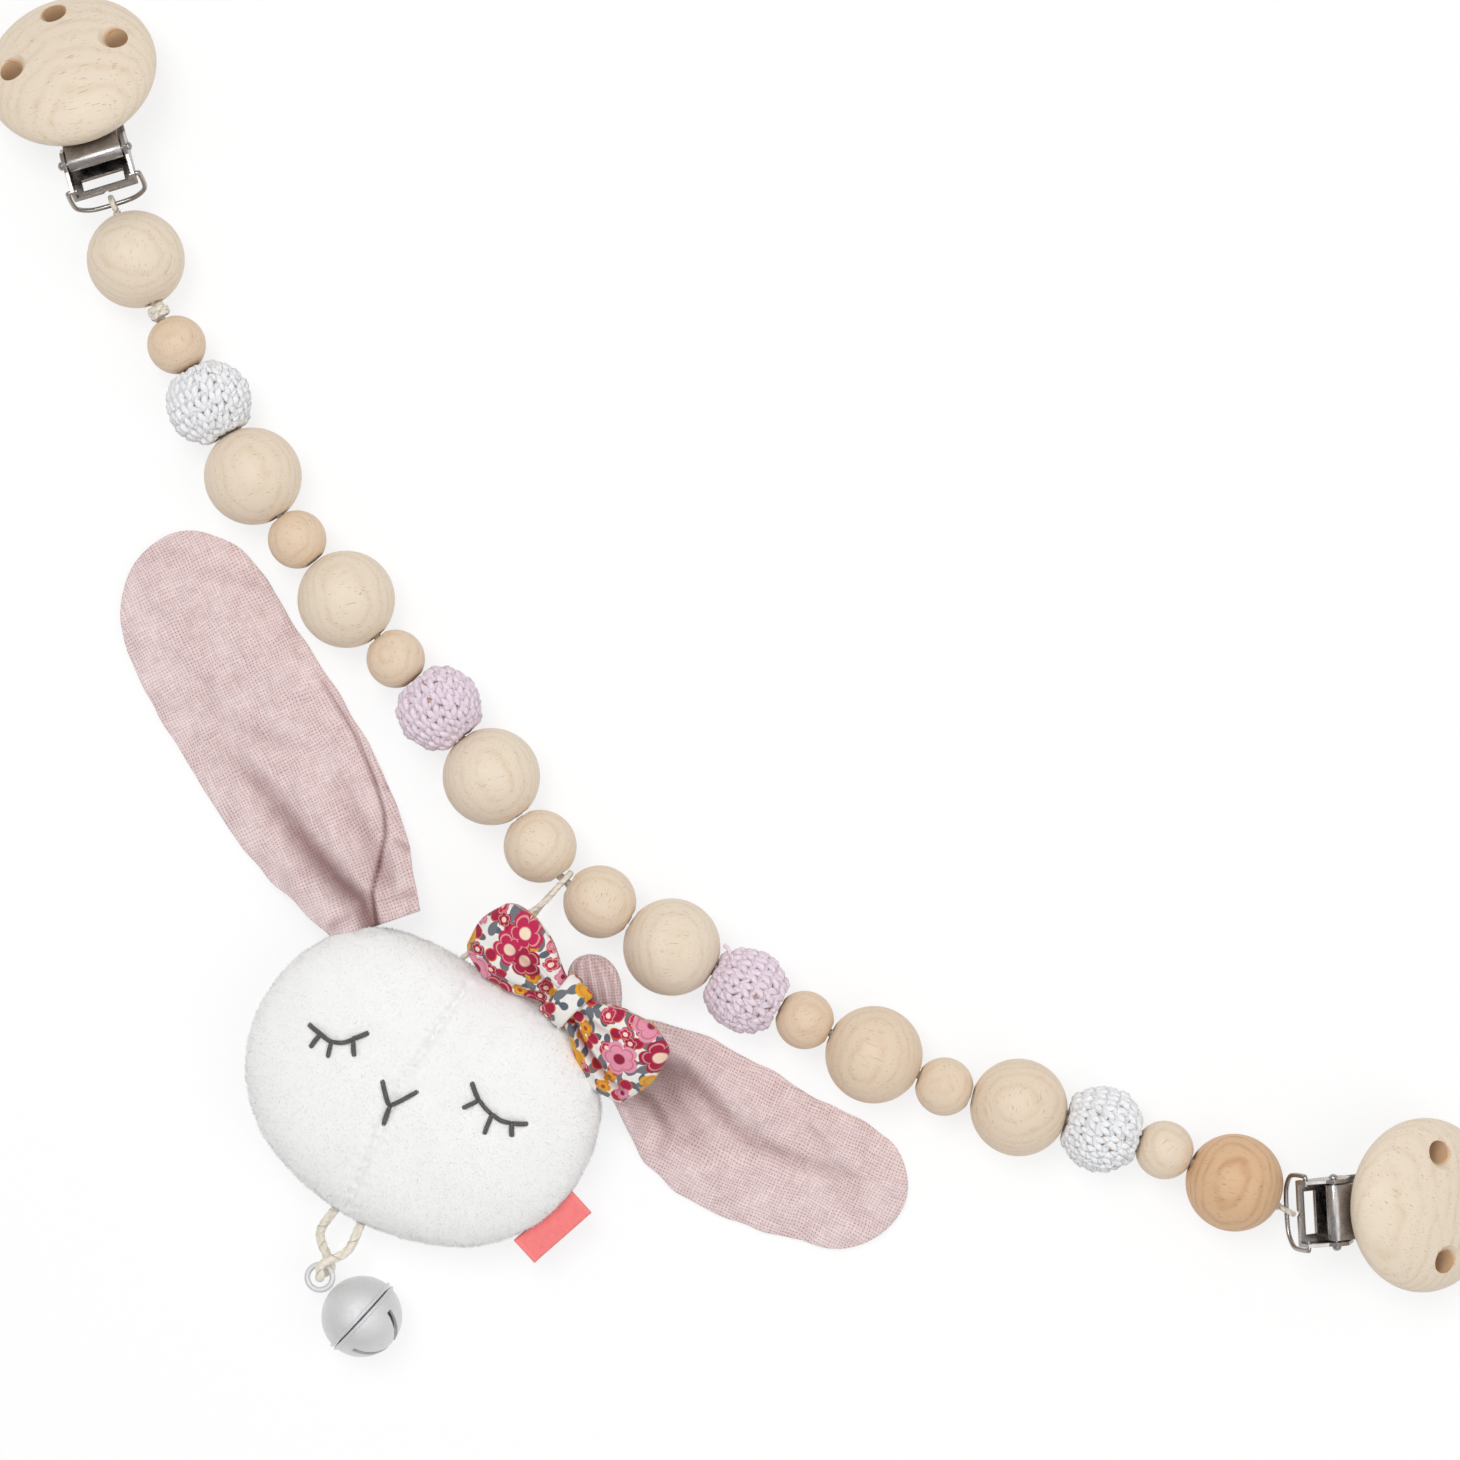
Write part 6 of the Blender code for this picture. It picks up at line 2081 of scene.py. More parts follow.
    def surface_point(self, x_mm: float, y_mm: float, lift: float) -> Vector:
        """A point over the face, in the head's frame."""
        x, y = np.array([x_mm * MM]), np.array([y_mm * MM])
        return Vector((x[0], y[0], float(self.height_at(x, y)[0] + self.relief(x, y)[0]) + lift))

    def build(self) -> None:
        """Sew and stuff the head, and stitch its face."""
        around, levels = 360, 140
        turns = round_turns(around)
        rises = np.linspace(-math.pi / 2, math.pi / 2, levels + 1)[1:-1]
        rise, turn = np.meshgrid(rises, turns, indexing="ij")
        angle = 180.0 - np.degrees(turn)
        reach = self.radius_at(angle) * np.cos(rise) ** self.swell
        side = np.where(rise > 0, self.thickness - self.seam_height, self.seam_height)
        z = np.sign(rise) * side * np.abs(np.sin(rise)) ** self.swell
        near = np.exp(-(z / self.side_tuck_width) ** 2)
        pucker = np.exp(-(z / self.pucker_width) ** 2) * ripple(np.degrees(turn), z / MM * 2, 7.0, 11)
        reach = reach - self.side_tuck * near + self.stuffing * pucker
        x, y = reach * np.cos(turn), reach * np.sin(turn)
        relief = self.relief(x, y) * np.clip(np.abs(np.sin(rise)) * 1.6, 0, 1)
        z = z + np.where(rise > 0, relief, -relief * 0.6)
        points = np.stack([x, y, z], axis=-1).reshape(-1, 3)
        faces: list[tuple[int, ...]] = list(ring_faces(len(rises), around, closed=False))
        top = self.surface_point(0.0, 0.0, 0.0)
        points = np.vstack([points, (0, 0, z[0].mean()), (top.x, top.y, z[-1].mean())])
        last = (len(rises) - 1) * around
        faces += [(step, (step + 1) % around, len(points) - 2) for step in range(around)]
        faces += [(last + step, last + (step + 1) % around, len(points) - 1) for step in range(around)]
        head = make_mesh("bunny_head_stuffed", points, faces, self.frame)
        pile = link("bunny_head_pile", head.data.copy())
        area = sum(face.area for face in head.data.polygons)
        self.maker.pile.grow(pile, {
            "Density": self.pile_fibres / area, "Length": self.pile_length, "Thickness": self.pile_width,
            "Lean": self.pile_lean, "Seed": self.pile_seed, "Material": PILE.material(),
        })
        dress(head, PILE, "head", ["bunny_head"])
        dress(pile, PILE, "head")
        self.build_face()

    def build_face(self) -> None:
        """Stitch the closed eyes and the nose, three strands to each stitch."""
        lines = []
        for number, stitch in enumerate(self.stitches):
            corners = [Vector((x, y, 0)) for x, y in stitch]
            way = (corners[-1] - corners[0]).normalized()
            side = Vector((-way.y, way.x, 0))
            for strand, shift in enumerate(self.thread_places):
                route = smooth_route([corner + side * shift * (1 + 0.2 * math.sin(number * 2 + strand))
                                      for corner in corners], 6)
                count = len(route) - 1
                line = []
                for step, point in enumerate(route):
                    share = step / count
                    lift = self.thread_start + self.thread_rise * min(1.0, 4.5 * share, 4.5 * (1 - share))
                    lift += 0.12 if strand == 1 else 0.0
                    line.append(self.frame @ self.surface_point(point.x, point.y, lift * MM + self.pile_length * 0.45))
                lines.append(line)
        thread = Strand(FACE_THREAD, self.thread_radius, depth=0.12, pitch=2.2 * MM, step=0.25 * MM, sides=12)
        dress(self.maker.sweep("face_stitches", lines, thread), FACE_THREAD, "head")


@dataclass(frozen=True)
class Fold:
    """A fold in a cloth: a line over it in millimetres, a height there and a width."""

    line: tuple
    height: float
    width: float
    # shade: how much painted shade the fold lays along its line
    shade: float = 0.0
    end: float = 0.9

    def form(self, x: np.ndarray, y: np.ndarray) -> np.ndarray:
        """The fold's shape, from 0 to 1, fading towards its end."""
        far, share = distance_to_line(x, y, self.line)
        return np.exp(-(far / self.width) ** 2) * (1 - self.end * share ** 2)


def fold_maps(folds: Sequence[Fold], x: np.ndarray, y: np.ndarray,
              where: np.ndarray | float = 1.0) -> tuple[np.ndarray, np.ndarray]:
    """How far folds lift a cloth, in millimetres, and how much painted shade they lay on it.

    Args:
        folds: the folds.
        x: places along the cloth, in millimetres.
        y: places across it.
        where: 0 where the cloth has no folds.

    Returns:
        The lift and the painted shade at each place.
    """
    forms = [fold.form(x, y) * where for fold in folds]
    lift = sum((fold.height * form for fold, form in zip(folds, forms)), np.zeros(x.shape))
    shade = sum((fold.shade * form for fold, form in zip(folds, forms)), np.zeros(x.shape))
    return lift, shade


@dataclass
class Ear:
    """A long ear of two layers of muslin, sewn round its edge, gathered into the head's seam."""

    side: Side
    length: float
    base_heading: float
    heading: float
    shares: tuple
    folds: tuple
    seed: int
    half_width: float = 17.8 * MM
    thickness: float = 2.2 * MM
    hinge_from_base: float = 2.0 * MM
    base_height: float = 11.3 * MM
    table_clearance: float = 0.15 * MM
    solid_thickness: float = 2.4 * MM
    fold_height: float = 1.5 * MM
    row_shares: tuple = (0.0, 0.08, 0.17, 0.28, 0.4, 0.52, 0.65, 0.78, 0.88, 0.95, 1.0)
    bend_share: float = 0.3
    drop_share: float = 0.26
    tip_share: float = 0.78
    gather_share: float = 0.55
    fold_start: float = 0.17
    fold_turn: float = 250.0
    edge_wave: float = 0.2 * MM
    crinkle: float = 0.3 * MM
    fine_crinkle: float = 0.16 * MM
    top_lift: float = 0.15 * MM
    least_gap: float = 0.12 * MM
    rows: int = 180
    columns: int = 110

    def middle_height(self, share: np.ndarray, across: np.ndarray) -> np.ndarray:
        """The middle of the cloth over its base, before the folds: it drops to the table.

        Args:
            share: how far along the ear, from 0 to 1.
            across: how far across it, from -1 to 1.

        Returns:
            The height at each point.
        """
        table = self.solid_thickness / 2 + self.table_clearance - self.base_height
        drop = eased(share / self.drop_share)
        gather = np.clip(1 - share / self.gather_share, 0, 1) ** 2 * np.clip(share / self.fold_start, 0, 1)
        ridge = np.cos(np.radians(self.fold_turn) * across) ** 2
        return table * drop + self.fold_height * gather * ridge

    def edges(self, share: np.ndarray) -> tuple[np.ndarray, np.ndarray]:
        """How far each edge is from the ear's line, with a round tip.

        Args:
            share: how far along the ear, from 0 to 1.

        Returns:
            The distances of its left and its right edge.
        """
        tip = (self.shares[0][-1] - self.shares[1][-1]) / 2
        rounding = np.sqrt(1 - np.clip((share - self.tip_share) / (1 - self.tip_share), 0, 1) ** 2)
        before_tip = np.minimum(share, self.tip_share)
        sides = []
        for table, centre in zip(self.shares, (tip, -tip)):
            value = table_at(before_tip, self.row_shares, table, 0.022)
            sides.append((centre + (value - centre) * rounding) * self.half_width)
        return sides[0], sides[1]

    def spine(self, share: np.ndarray) -> tuple[np.ndarray, np.ndarray, np.ndarray, np.ndarray]:
        """The ear's line, which bends from its base's heading to its own.

        Args:
            share: how far along the ear, from 0 to 1.

        Returns:
            The line's X, its Y, its turn and the length of each of its steps.
        """
        turn = np.radians((self.heading - self.base_heading) * (1 - np.clip(1 - share / self.bend_share, 0, 1) ** 2))
        steps = np.diff(share, prepend=0.0) * self.length
        x = -self.hinge_from_base + np.cumsum(steps * np.cos(turn))
        return x, np.cumsum(steps * np.sin(turn)), turn, steps

    def heights(self, s: np.ndarray, t: np.ndarray, x: np.ndarray, y: np.ndarray,
                lift: np.ndarray) -> tuple[np.ndarray, np.ndarray]:
        """The heights of the two layers, which meet at the ear's rim.

        Args:
            s: how far along the ear, from 0 to 1.
            t: how far across it, from -1 to 1.
            x: places along X, in millimetres.
            y: places along Y.
            lift: how far the folds lift the cloth.

        Returns:
            The heights of the upper and the lower layer.
        """
        crinkle = self.crinkle * ripple(x * 0.9, y * 1.3, 6.0, self.seed)
        crinkle = crinkle + self.fine_crinkle * ripple(x, y, 2.8, self.seed + 2)
        puff = np.clip(1 - np.abs(t) ** 6, 0, 1) ** 0.5 * np.clip((1 - s) / 0.02, 0, 1) ** 0.5
        middle = self.middle_height(s, t)
        half = self.thickness / 2 * puff
        upper = middle + half + lift + crinkle * puff + self.top_lift
        lower = middle - half + lift * np.clip(1 - s / 0.3, 0, 1) + crinkle * 0.4 * puff
        lower = np.maximum(lower, self.table_clearance - self.base_height)
        upper = np.maximum(upper, lower + self.least_gap * (puff > 0) + half * 0.6)
        rim = (np.abs(t) > 0.9999) | (s > 0.9999)
        return np.where(rim, (upper + lower) / 2, upper), lower

    def sewn_faces(self) -> list[tuple[int, ...]]:
        """The faces of both layers, which share the points of the rim, and of the open base.

        Returns:
            The faces.
        """
        names = np.arange((self.rows + 1) * (self.columns + 1)).reshape(self.rows + 1, self.columns + 1)
        under = names + names.size
        under[:, 0], under[:, -1], under[-1, :] = names[:, 0], names[:, -1], names[-1, :]
        faces = grid_faces(names) + grid_faces(under, flip=True) + band_faces(names[0, 1:-1], under[0, 1:-1])
        return faces + [(names[0, 0], names[0, 1], under[0, 1]), (names[0, -2], names[0, -1], under[0, -2])]

    def build(self) -> bpy.types.Object:
        """Sew the ear, lay it down and put its folds in.

        Returns:
            The ear.
        """
        share = np.linspace(0.0, 1.0, self.rows + 1)
        share = 1 - (1 - share) ** 1.7
        spine_x, spine_y, turn, steps = self.spine(share)
        left, right = self.edges(share)
        across = np.sin(np.linspace(-math.pi / 2, math.pi / 2, self.columns + 1))
        s, t = np.meshgrid(share, across, indexing="ij")
        place = ((left - right) / 2)[:, None] + t * ((left + right) / 2)[:, None]
        wave = self.edge_wave * ripple(s * self.length / MM, t * 3, 9.0, self.seed + 1) * np.abs(t) ** 3
        place = place + np.sign(t) * wave
        x = spine_x[:, None] - np.sin(turn)[:, None] * place
        y = spine_y[:, None] + np.cos(turn)[:, None] * place
        lift, shade = fold_maps(self.folds, x / MM, y / MM)
        layers = [np.stack([x, y, height], axis=-1).reshape(-1, 3)
                  for height in self.heights(s, t, x / MM, y / MM, lift * MM)]
        cloth = np.stack([s * self.length / MM, place / MM, np.zeros(x.shape)], axis=-1).reshape(-1, 3)
        node = f"ear_{self.side.value}"
        flop = frame_at(joint_place(f"{self.side.value}_ear_flop"), (0, 0, self.base_heading))
        ear = make_mesh(f"{node}_muslin", np.vstack(layers), self.sewn_faces(), flop)
        store(ear.data, "cloth", np.vstack([cloth, cloth + (200.0, 100.0, 0.0)]))
        # Painted shade along the folds, on the upper layer only, for the muslin to darken.
        store(ear.data, "fold_shade", np.concatenate([shade.ravel(), np.zeros(shade.size)]))
        loose = bmesh.new()
        loose.from_mesh(ear.data)
        bmesh.ops.delete(loose, geom=[vert for vert in loose.verts if not vert.link_faces], context="VERTS")
        loose.to_mesh(ear.data)
        loose.free()
        dress(ear, EAR_MUSLIN, f"{self.side.value}_ear", [node])
        return ear


def left_ear() -> Ear:
    """The longer ear, which lies to the left, with its outline and its folds.

    Returns:
        The ear, to be built.
    """
    return Ear(
        Side.LEFT, 92.0 * MM, 109.0, 117.0,
        ((0.54, 0.74, 0.96, 1.13, 1.21, 1.25, 1.31, 1.31, 1.18, 0.92, 0.44),
         (0.5, 0.58, 0.66, 0.72, 0.73, 0.68, 0.6, 0.55, 0.44, 0.2, -0.14)),
        (
            Fold(((-2.0, 1.5), (4.1, 2.0), (8.9, 5.2), (17.7, 9.5), (25.3, 11.9), (32.3, 14.4), (43.9, 19.6)),
                 -2.4, 2.1, 0.95),
            Fold(((-2.0, 6.0), (2.1, 6.8), (12.8, 12.8), (20.7, 16.2), (30.0, 20.0)), 2.4, 3.0),
            Fold(((-2.0, -1.5), (7.8, 0.4), (16.0, 3.0), (25.5, 5.0), (36.0, 9.0)), 2.6, 2.9),
            Fold(((6.0, -4.2), (13.9, -3.2), (21.1, -2.0), (30.8, -0.5)), -1.4, 1.7, 0.4),
            Fold(((-2.0, 0.2), (4.7, -0.9), (10.1, -3.8), (15.0, -6.6), (19.5, -7.8), (26.2, -8.0), (36.4, -7.4),
                  (49.6, -4.4)), -0.7, 0.5, 0.9, 0.6),
            Fold(((-2.0, -5.5), (8.0, -7.4), (15.0, -9.0), (36.0, -9.2)), 0.9, 1.5),
            Fold(((2.0, -8.6), (2.4, -1.5)), -0.8, 0.8, 0.45),
            Fold(((11.0, -10.4), (14.4, -7.6)), -0.7, 0.7, 0.4),
            Fold(((24.0, -10.6), (25.0, -8.4)), -0.5, 0.7, 0.35),
            Fold(((1.0, 9.5), (2.0, 4.0)), -0.9, 1.0, 0.4),
            Fold(((40.0, 8.0), (48.0, 17.0), (60.0, 21.0)), -0.8, 2.2, 0.18),
            Fold(((52.0, 2.0), (60.0, 6.0), (80.0, 10.0)), 0.8, 4.0),
        ), 31)


def right_ear() -> Ear:
    """The shorter ear, which comes out under the bow, with its outline and its folds.

    Returns:
        The ear, to be built.
    """
    return Ear(
        Side.RIGHT, 72.5 * MM, 6.0, -25.5,
        ((0.42, 0.42, 0.46, 0.5, 0.5, 0.46, 0.4, 0.4, 0.36, 0.2, -0.14),
         (0.42, 0.55, 0.86, 1.16, 1.29, 1.32, 1.28, 1.18, 1.0, 0.78, 0.46)),
        (
            Fold(((8.0, -1.5), (10.5, -3.6), (17.6, -8.5), (23.0, -15.9), (26.1, -19.7), (32.4, -24.5),
                  (42.9, -29.7), (50.2, -32.5)), -1.6, 1.9, 0.5, 0.75),
            Fold(((7.0, -4.5), (12.5, -9.5), (16.0, -18.0), (19.7, -26.0)), -1.8, 3.8, 0.55),
            Fold(((4.5, -6.0), (6.5, -9.4), (8.9, -12.4), (11.8, -18.2), (9.1, -23.4)), -1.4, 1.3, 0.6, 0.7),
            Fold(((3.0, -12.0), (4.6, -17.0), (7.0, -22.5)), 2.0, 1.9),
            Fold(((9.0, 2.6), (13.1, 0.6), (19.2, -5.0), (25.3, -12.2), (36.0, -19.5)), 2.4, 3.0),
            Fold(((14.0, -25.0), (24.0, -31.0), (36.0, -38.0)), 1.2, 3.6),
            Fold(((40.0, -20.0), (44.0, -26.0), (46.0, -36.0)), -0.7, 1.8, 0.15),
        ), 47)


@dataclass
class EarGather:
    """The gathered corner of the right ear's base, which stands out behind the bow."""

    base_heading: float = 6.0
    base: tuple = (0.8, 6.0)
    reach: float = 14.4
    half_width: float = 6.2
    height: float = 1.9
    pleats: float = 4.5
    pleat_depth: float = 0.45
    cloth: float = 0.9
    # painted shade laid evenly over the whole gather
    shade: float = 0.1

    def build(self) -> None:
        """Gather the corner into pleats that run to the bow, two layers thick."""
        rows, columns = 44, 56
        out, across = np.meshgrid(np.linspace(0, 1, rows + 1), np.linspace(-1, 1, columns + 1), indexing="ij")
        half = self.half_width * (1 - 0.45 * (1 - out) ** 2) * np.sqrt(np.clip(1.0001 - out ** 4, 0, 1))
        x = self.base[0] + across * half - 1.6 * out
        y = self.base[1] + self.reach * out
        puff = np.sqrt(np.clip(1 - across ** 4, 0, 1) * np.clip(1 - out ** 6, 0, 1))
        folds = self.pleat_depth * np.cos(math.pi * self.pleats * across + 0.7 * out)
        middle = -1.2 + self.height * np.cos(1.2 * across) * np.sin(0.5 + 2.0 * out)
        grids = [middle + puff * (self.cloth / 2 + folds), middle - puff * self.cloth / 2]
        # Painted shade in the pleats' valleys and towards the gather's rim.
        valley = np.clip(-folds / self.pleat_depth, 0, 1) * puff + 0.5 * (1 - puff)
        points = np.vstack([np.stack([x, y, z], axis=-1).reshape(-1, 3) for z in grids]) * MM
        count = (rows + 1) * (columns + 1)
        names = np.arange(count).reshape(rows + 1, columns + 1)
        faces = grid_faces(names) + grid_faces(names + count, flip=True)
        flop = frame_at(joint_place("right_ear_flop"), (0, 0, self.base_heading))
        gather = make_mesh("ear_right_gather", points, faces, flop)
        store(gather.data, "cloth", np.vstack([np.stack([x, y, 0 * x], axis=-1).reshape(-1, 3)] * 2))
        store(gather.data, "fold_shade", np.tile((self.shade + 0.35 * valley).ravel(), 2))
        dress(gather, EAR_MUSLIN, "right_ear")


@dataclass
class Bow:
    """The bow: one pinched piece of printed cotton with pleats, and a band round its middle."""

    head: Head
    head_angle: float = 31.0
    from_seam: float = 4.2 * MM
    height: float = 19.5 * MM
    heading: float = -44.0
    tilt: float = 24.0
    half_length: float = 24.0 * MM
    half_width: float = 9.0 * MM
    half_thickness: float = 4.6 * MM
    length_shares: tuple = (-1.0, -0.9, -0.66, -0.4, -0.17, 0.0, 0.17, 0.4, 0.66, 0.9, 1.0)
    width_shares: tuple = (0.5, 0.84, 0.98, 0.78, 0.42, 0.34, 0.44, 0.84, 1.08, 0.98, 0.6)
    thickness_shares: tuple = (0.25, 0.66, 0.98, 0.9, 0.6, 0.52, 0.6, 0.92, 1.0, 0.7, 0.28)
    wrap_width: float = 6.4 * MM
    wrap_thickness: float = 1.0 * MM
    wrap_clearance: float = 0.3 * MM
    wrap_lift: float = 0.28 * MM
    wrap_fold: float = 0.3 * MM
    wrap_flare: float = 0.35 * MM
    pleats: float = 4.5
    pleat_share: float = 0.2
    crease_share: float = 0.035
    crease_seed: int = 21
    folds: tuple = (
        Fold(((4.0, -1.6), (12.0, -3.6), (20.5, -5.0)), -1.7, 0.9, 1.0, 0.5),
        Fold(((4.0, 1.2), (9.0, 2.6), (14.0, 4.4)), -1.0, 0.8, 0.5),
        Fold(((-4.0, 0.4), (-10.0, 1.8), (-17.0, 1.6)), -1.2, 0.9, 0.6),
        Fold(((-4.0, -1.4), (-8.0, -3.4), (-13.0, -5.4)), -0.9, 0.8, 0.4),
    )

    @property
    def frame(self) -> Matrix:
        """The bow's frame, with X along it and Z away from the head."""
        place = self.head.point(self.head_angle, self.from_seam, self.height - self.head.seam_height)
        return self.head.frame @ frame_at(place, (self.tilt, 0, self.heading - self.head.heading))

    def build(self) -> None:
        """Pinch the loops, and put the band round them."""
        around, levels = 168, 150
        turns = round_turns(around)
        places = np.sin(np.linspace(-math.pi / 2, math.pi / 2, levels + 1))[1:-1]
        place, turn = np.meshgrid(places, turns, indexing="ij")
        width = self.half_width * table_at(place, self.length_shares, self.width_shares, 0.05)
        thick = self.half_thickness * table_at(place, self.length_shares, self.thickness_shares, 0.05)
        closing = np.clip((1 - np.abs(place)) / 0.06, 0, 1) ** 0.5
        fade = np.clip(1.15 - np.abs(place), 0, 1) * np.clip(np.abs(place) / 0.1, 0.35, 1)
        uneven = 0.35 * np.sin(3 * place + turn) + 0.25 * np.sin(7 * place)
        pleated = np.abs(np.cos(self.pleats * turn + uneven)) ** 0.7 - 0.6
        creased = ripple(place * 24, turn * 6, 6.0, self.crease_seed)
        swell = 1 + self.pleat_share * fade * pleated + self.crease_share * creased
        flat = np.sign(np.sin(turn)) * np.abs(np.sin(turn)) ** 0.8
        x = self.half_length * place
        y = width * closing * np.cos(turn) * (0.55 + 0.45 * swell)
        z = thick * closing * flat * swell
        lift, shade = fold_maps(self.folds, x / MM, y / MM, flat > 0)
        z = z + lift * MM * closing
        points = np.stack([x, y, z], axis=-1).reshape(-1, 3)
        faces: list[tuple[int, ...]] = list(ring_faces(len(places), around, closed=False))
        last = (len(places) - 1) * around
        faces += [tuple(range(around)), tuple(last + step for step in range(around))]
        loops = make_mesh("bow_loops_pleated", points, faces, self.frame)
        spread = np.where(np.sin(turn) >= 0, 1.0, -1.0) * 60.0
        cloth = np.stack([x / MM, y / MM * (1.0 + 0.4 * (1 - np.abs(place))) + spread,
                          np.zeros(x.shape)], axis=-1).reshape(-1, 3)
        store(loops.data, "cloth", cloth)
        # Painted shade along the bow's folds, on its upper side.
        store(loops.data, "fold_shade", shade.ravel())
        dress(loops, BOW_COTTON, "head", ["bow_loops"])
        self.build_wrap()

    def build_wrap(self) -> None:
        """The band, which is folded along its length."""
        beside = len(self.length_shares) // 2 + 1
        width = self.half_width * self.width_shares[beside] + self.wrap_clearance + self.wrap_lift
        thick = self.half_thickness * self.thickness_shares[beside] + self.wrap_clearance + self.wrap_lift
        around, rows = 120, 28
        turns = round_turns(around)
        across = np.linspace(-1, 1, rows + 1)
        a, turn = np.meshgrid(across, turns, indexing="ij")
        fold = self.wrap_fold * np.abs(np.sin(math.tau * 0.8 * a + 0.5 * np.sin(2 * turn)))
        rise = self.wrap_thickness * np.sqrt(np.clip(1 - a ** 8, 0, 1)) * 0.7 + fold * (1 - a ** 4)
        x = a * self.wrap_width / 2 * (0.94 + 0.06 * np.cos(2 * turn))
        flare = self.wrap_flare * a ** 2
        outer = np.stack([x, (width + rise + flare) * np.cos(turn), (thick + rise + flare) * np.sin(turn)], axis=-1)
        inner = np.stack([x, (width + flare) * np.cos(turn), (thick + flare) * np.sin(turn)], axis=-1)[::-1]
        points = np.vstack([outer.reshape(-1, 3), inner.reshape(-1, 3)])
        wrap = make_mesh("bow_wrap_folded", points, ring_faces(2 * (rows + 1), around, closed=True), self.frame)
        cloth = np.stack([a * self.wrap_width / 2 / MM + 31.0, turn * 4.5, np.zeros(a.shape)], axis=-1).reshape(-1, 3)
        store(wrap.data, "cloth", np.vstack([cloth, cloth[::-1]]))
        dress(wrap, BOW_COTTON, "head", ["bow_wrap"])


@dataclass
class Tag:
    """A plain ribbon folded into the head's seam."""

    head: Head
    head_angle: float = 110.0
    seam_clearance: float = -0.7 * MM
    droop: float = 8.0
    width: float = 15.6 * MM
    reach: float = 6.4 * MM
    thickness: float = 1.2 * MM
    cloth: float = 0.4 * MM
    edge_rise: float = 0.35
    sag: float = 0.12 * MM
    columns: int = 48

    def build(self) -> None:
        """Fold the ribbon, with a slightly thicker woven edge."""
        seam = self.head.point(self.head_angle, self.seam_clearance)
        matrix = self.head.frame @ frame_at(seam, (0, self.droop, 180.0 - self.head_angle))
        bend = (self.thickness - self.cloth) / 2
        straight = self.reach - bend - self.cloth / 2
        path = [(x, bend) for x in np.linspace(0, straight, 14)]
        path += [(straight + bend * math.sin(turn), bend * math.cos(turn))
                 for turn in np.linspace(0, math.pi, 13)[1:-1]]
        path += [(x, -bend) for x in np.linspace(straight, 0, 14)]
        line = np.array(path)
        way = np.gradient(line, axis=0)
        way /= np.linalg.norm(way, axis=1)[:, None]
        normal = np.stack([way[:, 1] * -1, way[:, 0]], axis=-1)
        lengths = np.concatenate([[0], np.cumsum(np.linalg.norm(np.diff(line, axis=0), axis=1))])
        place = np.linspace(-1, 1, self.columns + 1)
        half = self.cloth / 2 * (1 + self.edge_rise * np.exp(-((np.abs(place) - 0.95) / 0.03) ** 2))
        sag = self.sag * np.sin(place * 2.6 + 0.5)
        across = place * self.width / 2
        layers = []
        for side in (1, -1):
            shift = side * half
            x = line[:, :1] + normal[:, :1] * shift
            z = line[:, 1:] + normal[:, 1:] * shift + sag * line[:, :1] / self.reach
            layers.append(np.stack(np.broadcast_arrays(x, across, z), axis=-1).reshape(-1, 3))
        cloth = np.stack(np.broadcast_arrays(lengths[:, None] / MM, across / MM, 0.0), axis=-1).reshape(-1, 3)
        grid = np.arange(len(cloth)).reshape(len(line), len(place))
        rim = np.concatenate([grid[0, :], grid[1:, -1], grid[-1, -2::-1], grid[-2::-1, 0]])
        faces = grid_faces(grid) + grid_faces(grid + len(cloth), flip=True) + band_faces(rim, rim + len(cloth))
        tag = make_mesh("side_tag_folded", np.vstack(layers), faces, matrix)
        store(tag.data, "cloth", np.vstack([cloth, cloth]))
        dress(tag, CORAL, "head", ["side_tag"])


@dataclass
class Hanger:
    """The cord that the head hangs on, which passes round the chain's cord."""

    head: Head
    maker: Maker
    heading: float = 227.0
    head_angles: tuple = (-12.0, 2.0)
    neck: float = 6.5 * MM
    dip: float = 2.6 * MM
    sag_share: float = 0.4
    wrap: float = 2.0 * MM
    radius: float = 0.65 * MM

    def build(self) -> None:
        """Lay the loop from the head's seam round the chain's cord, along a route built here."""
        swing = frame_at(joint_place("bunny_swing"), (0, 0, self.heading))
        to_swing = swing.inverted() @ self.head.frame
        left, right = (to_swing @ self.head.point(angle, self.head.seam_clearance) for angle in self.head_angles)
        dip = Vector((0, 0, self.dip))
        over, under = Vector((self.neck, 0, self.wrap)), Vector((self.neck, 0, -self.wrap))
        w = self.wrap
        route = [
            left, left.lerp(over, self.sag_share) - dip, over, Vector((w, 0, w)), Vector((0, 0, w)),
            Vector((-w, 0, 0)), Vector((0, 0, -w)), Vector((w, 0, -w)), under,
            right.lerp(under, self.sag_share) - dip, right,
        ]
        line = placed(swing, smooth_route(route, 6))
        strand = Strand(COTTON_CORD, self.radius, depth=0.06, pitch=3.4 * MM)
        cord = self.maker.sweep("hanger_loop_laid", [line], strand)
        dress(cord, COTTON_CORD, "hanger", ["hanger_loop"])
        LOG.info("the hanger's cord is %.1f mm long", length_of(line) / MM)


